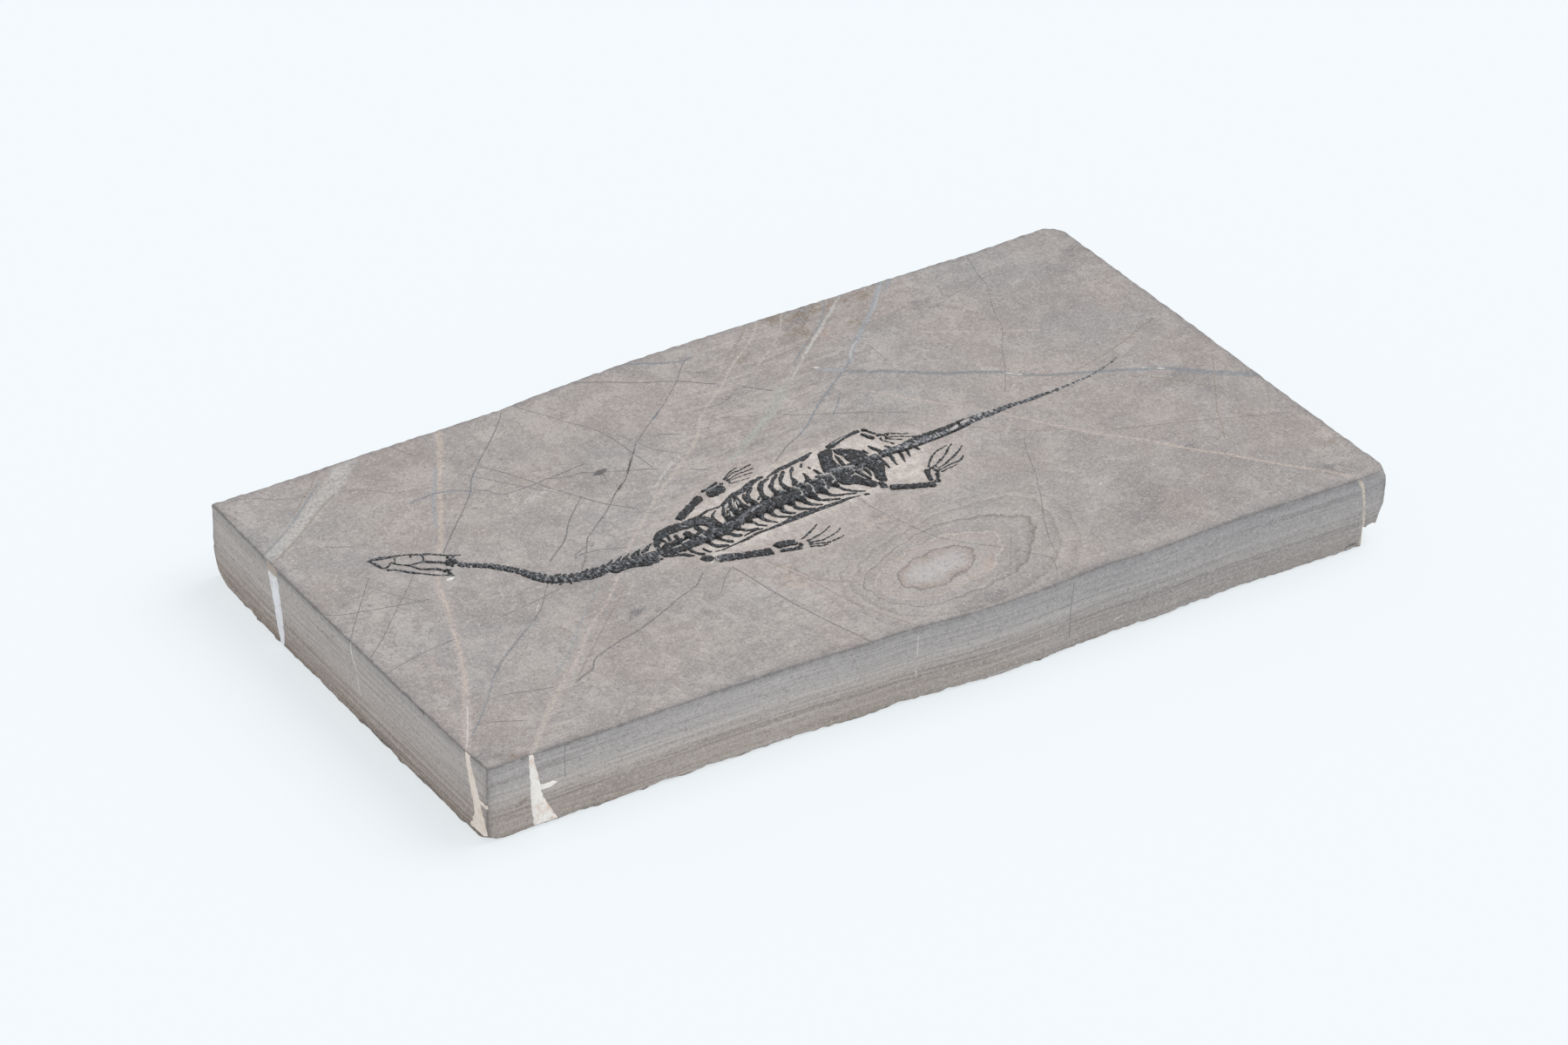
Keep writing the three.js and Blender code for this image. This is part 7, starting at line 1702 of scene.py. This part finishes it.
# ---- Ribs and belly rods ---------------------------------------------------------------------
# The trunk ribs, each curved backwards from the backbone, and along both flanks the thin rods of
# the belly basket, which cross the ribs' ends.
RIBS_FAR = [
    [(-32, -8.4, 1.5), (-31.5, -5.6, 1.5), (-31, -4, 1), (-30.6, -3, 0.8), (-29.9, -2.2, 0.6),
        (-28.3, -1, 0.3)],
    [(-27.9, -7.2, 1), (-27.8, -5.5, 1.1), (-27.5, -4, 1), (-27, -3, 0.9), (-26.3, -1.9, 0.7),
        (-25.6, -1, 0.7), (-24.8, -0.3, 0.7)],
    [(-24.3, -6, 1.1), (-24.2, -3.6, 1.2), (-23.8, -2, 1), (-23.3, -0.8, 0.9), (-22.6, 0.3, 0.7),
        (-22.1, 0.9, 0.5)],
    [(-21, -5, 1.2), (-20.6, -3.2, 1.3), (-20.4, -1.6, 1.1), (-20.2, -0.2, 0.9), (-19.9, 1, 0.8),
        (-19.6, 1.8, 0.7)],
    [(-17.8, -4.2, 1), (-17.5, -2.5, 1), (-17.2, -1.2, 1.1), (-16.9, 0.2, 1), (-16.3, 1.2, 1),
        (-15.4, 2.1, 1.1), (-14.4, 3, 1), (-13.4, 3.8, 0.9)],
    [(-13.6, -4, 0.8), (-13.4, -2, 0.9), (-12.9, -0.8, 1.2), (-12.4, 0.4, 1.3), (-11.9, 1.4, 1.1),
        (-11.1, 2.4, 1), (-10.3, 3.4, 1), (-9.3, 4.2, 0.9), (-8.2, 4.8, 0.8), (-6.9, 5.2, 0.5)],
    [(-9.4, -3.2, 1.2), (-9.3, -2, 1.1), (-9, -0.8, 1.3), (-8.9, 0.5, 1.3), (-8.5, 1.5, 1.2),
        (-7.6, 2.3, 1), (-6.9, 3.2, 0.9), (-5.9, 4.2, 0.9), (-4.8, 5, 0.9), (-3.6, 5.9, 0.7)],
    [(-5.4, -3, 1.2), (-5.4, -1.5, 1.3), (-5.3, -0.3, 1.3), (-5.4, 0.8, 1), (-5, 1.7, 0.9),
        (-4.6, 2.6, 0.9), (-3.9, 3.5, 1), (-3, 4.5, 1), (-2.1, 5.5, 1), (-1.2, 6.2, 0.8)],
    [(-2.2, -3.4, 1.2), (-2.2, -1.4, 1.5), (-1.6, -0.3, 1.5), (-1.3, 0.8, 1.2), (-1.2, 1.8, 0.7),
        (-0.8, 2.8, 0.5), (-0.3, 3.8, 0.5), (0.3, 4.8, 0.6), (1.2, 5.7, 0.9), (2.2, 6.8, 0.5)],
]
RIBS_NEAR = [
    [(-44.9, -13.6, 0.9), (-44.7, -15.4, 0.9), (-44.3, -16.5, 0.9), (-43.5, -17.5, 0.9),
        (-42.5, -18.3, 0.8)],
    [(-38.5, -13.2, 0.8), (-38.3, -15, 1), (-37.8, -16.2, 1.2), (-36.8, -16.9, 1.3), (-35.7, -17.4, 1),
        (-34.5, -17.8, 0.8)],
    [(-35.3, -13.2, 0.7), (-34.6, -14.5, 0.7), (-34, -15.4, 0.8), (-33.3, -16.3, 1), (-32.5, -17, 0.8)],
    [(-31.4, -12.4, 0.8), (-30.9, -13.6, 1), (-30.4, -14.6, 1.3), (-29.4, -15.1, 1), (-28.6, -15.2, 0.6)],
    [(-27.9, -11.2, 0.8), (-27.4, -12.7, 0.8), (-26.8, -13.8, 0.8), (-25.8, -14.3, 0.7),
        (-24.5, -14.5, 0.5), (-23, -14.7, 0.5)],
    [(-23.9, -10.2, 1.5), (-22.9, -11.2, 1), (-22.4, -12.3, 0.8), (-22.1, -13.3, 0.7),
        (-21.2, -14.2, 0.7), (-20.2, -14.9, 0.6)],
    [(-19.5, -9.8, 1), (-19.4, -11.3, 1), (-19, -12.7, 0.8), (-18.3, -13.7, 0.7), (-17.4, -14.5, 0.6),
        (-16.9, -15.2, 0.5)],
    [(-15.7, -9.4, 1.1), (-15.9, -11.3, 1), (-15.3, -12.5, 0.8), (-14.3, -13.4, 0.8), (-13, -14.1, 0.7),
        (-12, -14.6, 0.5)],
    [(-12.3, -8.8, 1), (-12.5, -11, 1.1), (-12, -12.2, 1), (-11.2, -13, 0.8), (-10, -13.6, 0.6)],
    [(-8.4, -8.6, 1.2), (-8.4, -11, 1.1), (-8, -12.2, 1), (-7, -13, 0.9), (-6, -13.8, 0.8),
        (-5, -14.2, 0.7), (-4, -14.3, 0.5)],
    [(-5.3, -8.6, 1.3), (-4.6, -10.8, 1.4), (-4, -12, 1.1), (-3, -12.9, 0.8), (-2, -13.5, 0.6),
        (-1.2, -13.9, 0.4)],
    [(-1.8, -9, 1.2), (-1, -10.8, 1.2), (-0.2, -11.8, 0.9), (1, -12.5, 0.9), (2.4, -13, 0.7),
        (3.6, -13.5, 0.6), (4.6, -13.9, 0.6)],
    [(2.2, -8.2, 1.2), (2.8, -9.8, 1.1), (3.5, -11, 0.9), (4.5, -11.8, 0.8), (5.8, -12.4, 0.6),
        (7.3, -12.8, 0.6), (8.8, -13.4, 0.7), (10, -14, 0.5)],
    [(7, -7.6, 1), (7.6, -9.2, 0.8), (7.9, -10.3, 0.8), (8.8, -11.4, 0.8), (9.6, -12.3, 0.7),
        (10.5, -13.1, 0.7), (11.5, -13.8, 0.6), (12.8, -14.2, 0.4)],
]
BELLY_RODS = {
    "belly_rods_far_front": [(-25.6, -0.3, 0.8), (-23.8, 0.8, 1.1), (-22.5, 1.6, 1.4), (-21.5, 2.2, 1.5),
        (-20.5, 2.7, 1.6), (-19.5, 3.1, 1.6), (-18.2, 3.3, 1.6), (-16.8, 3.6, 1.6), (-15.4, 4.2, 1.6),
        (-14, 4.9, 1.7), (-12.5, 5.5, 1.6), (-11, 6.1, 1.1), (-9.5, 6.6, 1), (-8.3, 6.8, 0.9),
        (-7.6, 6.8, 0.5)],
    "belly_rods_far_rear": [(-7, 5.8, 0.4), (-5, 6.6, 0.7), (-4, 7, 0.8), (-3, 7.2, 1.1), (-1, 7.8, 1.1),
        (1, 7.9, 1.2), (3, 8.4, 1.1), (5, 8.7, 1.1), (7, 9.1, 1.1), (9, 9.7, 0.9), (10, 10.1, 0.7),
        (11, 10.3, 0.4)],
    "belly_rods_near": [(-31.4, -17.9, 0.6), (-30, -17.8, 0.7), (-28.7, -17.6, 0.8), (-27.3, -17.3, 0.8),
        (-26.2, -17, 0.8), (-25.2, -16.7, 0.8), (-24, -16.6, 0.8), (-22.8, -16.6, 0.8),
        (-21.8, -16.6, 0.8), (-20.5, -16.6, 0.8), (-19.2, -16.5, 1), (-17, -16.4, 1.1), (-15, -16.1, 1.3),
        (-13, -15.9, 1.4), (-9, -15.6, 1.4), (-7, -15.5, 1.4), (-5, -15.4, 1.3), (-1, -15.2, 1.2),
        (3, -15.2, 1.1), (5, -15, 1), (7, -15, 0.7), (8.5, -15.2, 0.6), (10, -15.5, 0.4)],
}
RIB_HEIGHT = 0.4
ROD_HEIGHT = 0.32
# Splinters that lie beside a rib or a rod, by the name of that bone.
STRANDS = {
    "rib_far_02": [[(-26.6, -5.4, 0.9), (-26, -3.8, 0.9), (-25, -2.4, 0.7), (-24, -1, 0.4)]],
    "rib_far_03": [
        [(-25.4, -5.4, 0.9), (-24.9, -3.6, 0.9), (-24.3, -2, 0.6), (-23.2, -0.2, 0.4)],
        [(-22.8, -4, 0.7), (-22.2, -2, 0.9), (-21.5, -0.4, 0.7), (-21, 1, 0.4)],
    ],
    "rib_far_04": [[(-21.8, -3.4, 0.6), (-21.3, -1.4, 0.7), (-20.6, 0.6, 0.7), (-20, 2.2, 0.5)]],
    "rib_far_05": [[(-18.8, -2.8, 0.6), (-18.4, -1, 0.8), (-18, 0.6, 0.9), (-17.2, 2, 0.7)]],
    "rib_far_06": [
        [(-12.7, 1.6, 0.5), (-11.4, 3.2, 0.7), (-10.2, 4.4, 0.6), (-9.2, 5.2, 0.3)],
        [(-15.6, -2.6, 0.5), (-14.9, -2.2, 0.7), (-14, -1.2, 0.5)],
    ],
    "rib_near_02": [[(-41.6, -15.4, 0.7), (-41.4, -16.4, 0.7), (-41, -17.5, 0.6), (-40.4, -18.2, 0.5)]],
    "belly_rods_far_front": [
        [(-37.4, -1.1, 0.4), (-34, -1.1, 0.7), (-32.2, -0.6, 0.9), (-30.4, 0, 0.7), (-29, 0.4, 0.3)],
        [(-30.6, 0, 0.4, 0.3), (-28.8, 0, 0.5, 0.35), (-26.6, 0, 0.5, 0.2)],
        [(-27.6, -0.4, 0.3), (-25.5, 0.5, 0.6), (-23, 1.7, 0.8), (-20.5, 2.9, 0.9), (-18, 3.7, 0.6)],
        [(-13.4, 5.6, 0.6), (-11.8, 6.3, 0.9), (-10.4, 6.7, 0.5)],
    ],
    "belly_rods_far_rear": [
        [(4.1, 5.3, 0.3), (4.6, 6.2, 0.8), (5.4, 6.9, 0.5)],
        [(5.8, 4.5, 0.3), (6, 3.3, 0.4)],
        [(6, 7.8, 0.4), (7.5, 8.4, 0.6), (9.5, 9.4, 0.4)],
    ],
    "belly_rods_near": [
        [(-14, -15.1, 0.4), (-11, -14.8, 0.6), (-7, -14.4, 0.4)],
        [(-28.6, -16, 0.4), (-26, -15.4, 0.6), (-24, -15.2, 0.6), (-22, -15.6, 0.4)],
        [(-39.5, -18.5, 0.3), (-37, -18.8, 0.4), (-35, -18.5, 0.4), (-33, -18.2, 0.4),
            (-31.4, -17.9, 0.4)],
        [(11.2, -15.6, 0.7), (12, -15.8, 0.9), (12.9, -16.1, 0.6)],
    ],
}
RIB_BREADTH = 1.18  # a rib is this much broader at its foot than along its crest
RIB_SEAM_RISE = 0.2  # how far a seam stands above a rib or a rod
bones = {f"rib_far_{i:02d}": (path, RIB_HEIGHT) for i, path in enumerate(RIBS_FAR, 1)}
bones |= {f"rib_near_{i:02d}": (path, RIB_HEIGHT) for i, path in enumerate(RIBS_NEAR, 1)}
bones |= {name: (path, ROD_HEIGHT) for name, path in BELLY_RODS.items()}
for name, (path, height) in bones.items():
    main = swept(np.array(path) * (1, 1, RIB_BREADTH), height, 0.22, pale=0.08, mottled=0.16)
    fossil(name, [main] + blades(STRANDS.get(name, []), height) + seams_of(name, height + RIB_SEAM_RISE))

# ---- Stage -----------------------------------------------------------------------------------
# A wide pale floor under even white light from a bright room, with a very soft lamp high on the
# right, so that the slab's shadow falls faintly to the left.
FLOOR_HALF = 6  # m
ROOM_LIGHT = 0.63
LAMP_LIGHT = 1.69
PAPER = np.array([0.86, 0.905, 0.937])  # linear
PAPER_GLOW = 0.7  # share of the paper's brightness that no shadow takes away, as in a lit sweep
GLOW_GAIN = 1.05  # the lit sweep is a little brighter than its paper
LAMP_WAY = Vector((0.62, -0.05, 0.78))  # from the slab towards the lamp
LAMP_SPREAD = math.radians(50)
LENS = 120  # mm
SENSOR = 36  # mm
CAMERA_PLACE = (-0.68992, -1.01511, 0.80249)  # m
CAMERA_WAY = Vector((0.4699, 0.6962, -0.5426))
ROLL = math.radians(1.5)

corners = [(-1, -1), (1, -1), (1, 1), (-1, 1)]
ground = bpy.data.meshes.new("floor")
ground.from_pydata([(x * FLOOR_HALF, y * FLOOR_HALF, 0) for x, y in corners], [], [(0, 1, 2, 3)])
floor = bpy.data.objects.new("floor", ground)
bpy.context.scene.collection.objects.link(floor)
paper = bpy.data.materials.new("matt_backdrop_paper")
paper.use_nodes = True
tree = paper.node_tree
tree.nodes.clear()
lit = node(tree, "BsdfDiffuse", {"Color": (*PAPER * (1 - PAPER_GLOW), 1)})
glow = node(tree, "Emission", {"Color": (*PAPER * PAPER_GLOW * GLOW_GAIN, 1)})
node(tree, "OutputMaterial", {"Surface": node(tree, "AddShader", {0: lit, 1: glow})})
ground.materials.append(paper)

room = bpy.data.worlds.new("bright_room")
room.use_nodes = True
room.node_tree.nodes["Background"].inputs["Color"].default_value = (1, 1, 1, 1)
room.node_tree.nodes["Background"].inputs["Strength"].default_value = ROOM_LIGHT
bpy.context.scene.world = room
lamp = bpy.data.objects.new("soft_lamp", bpy.data.lights.new("soft_lamp", "SUN"))
lamp.data.energy = LAMP_LIGHT
lamp.data.angle = LAMP_SPREAD
lamp.rotation_mode = "QUATERNION"
lamp.rotation_quaternion = LAMP_WAY.to_track_quat("Z", "Y")
bpy.context.scene.collection.objects.link(lamp)

camera = bpy.data.objects.new("camera", bpy.data.cameras.new("camera"))
camera.data.lens = LENS
camera.data.sensor_width = SENSOR
camera.location = CAMERA_PLACE
camera.rotation_mode = "QUATERNION"
camera.rotation_quaternion = CAMERA_WAY.to_track_quat("-Z", "Y") @ Quaternion((0, 0, 1), ROLL)
bpy.context.scene.collection.objects.link(camera)
bpy.context.scene.camera = camera
bpy.context.scene.view_settings.view_transform = "Standard"
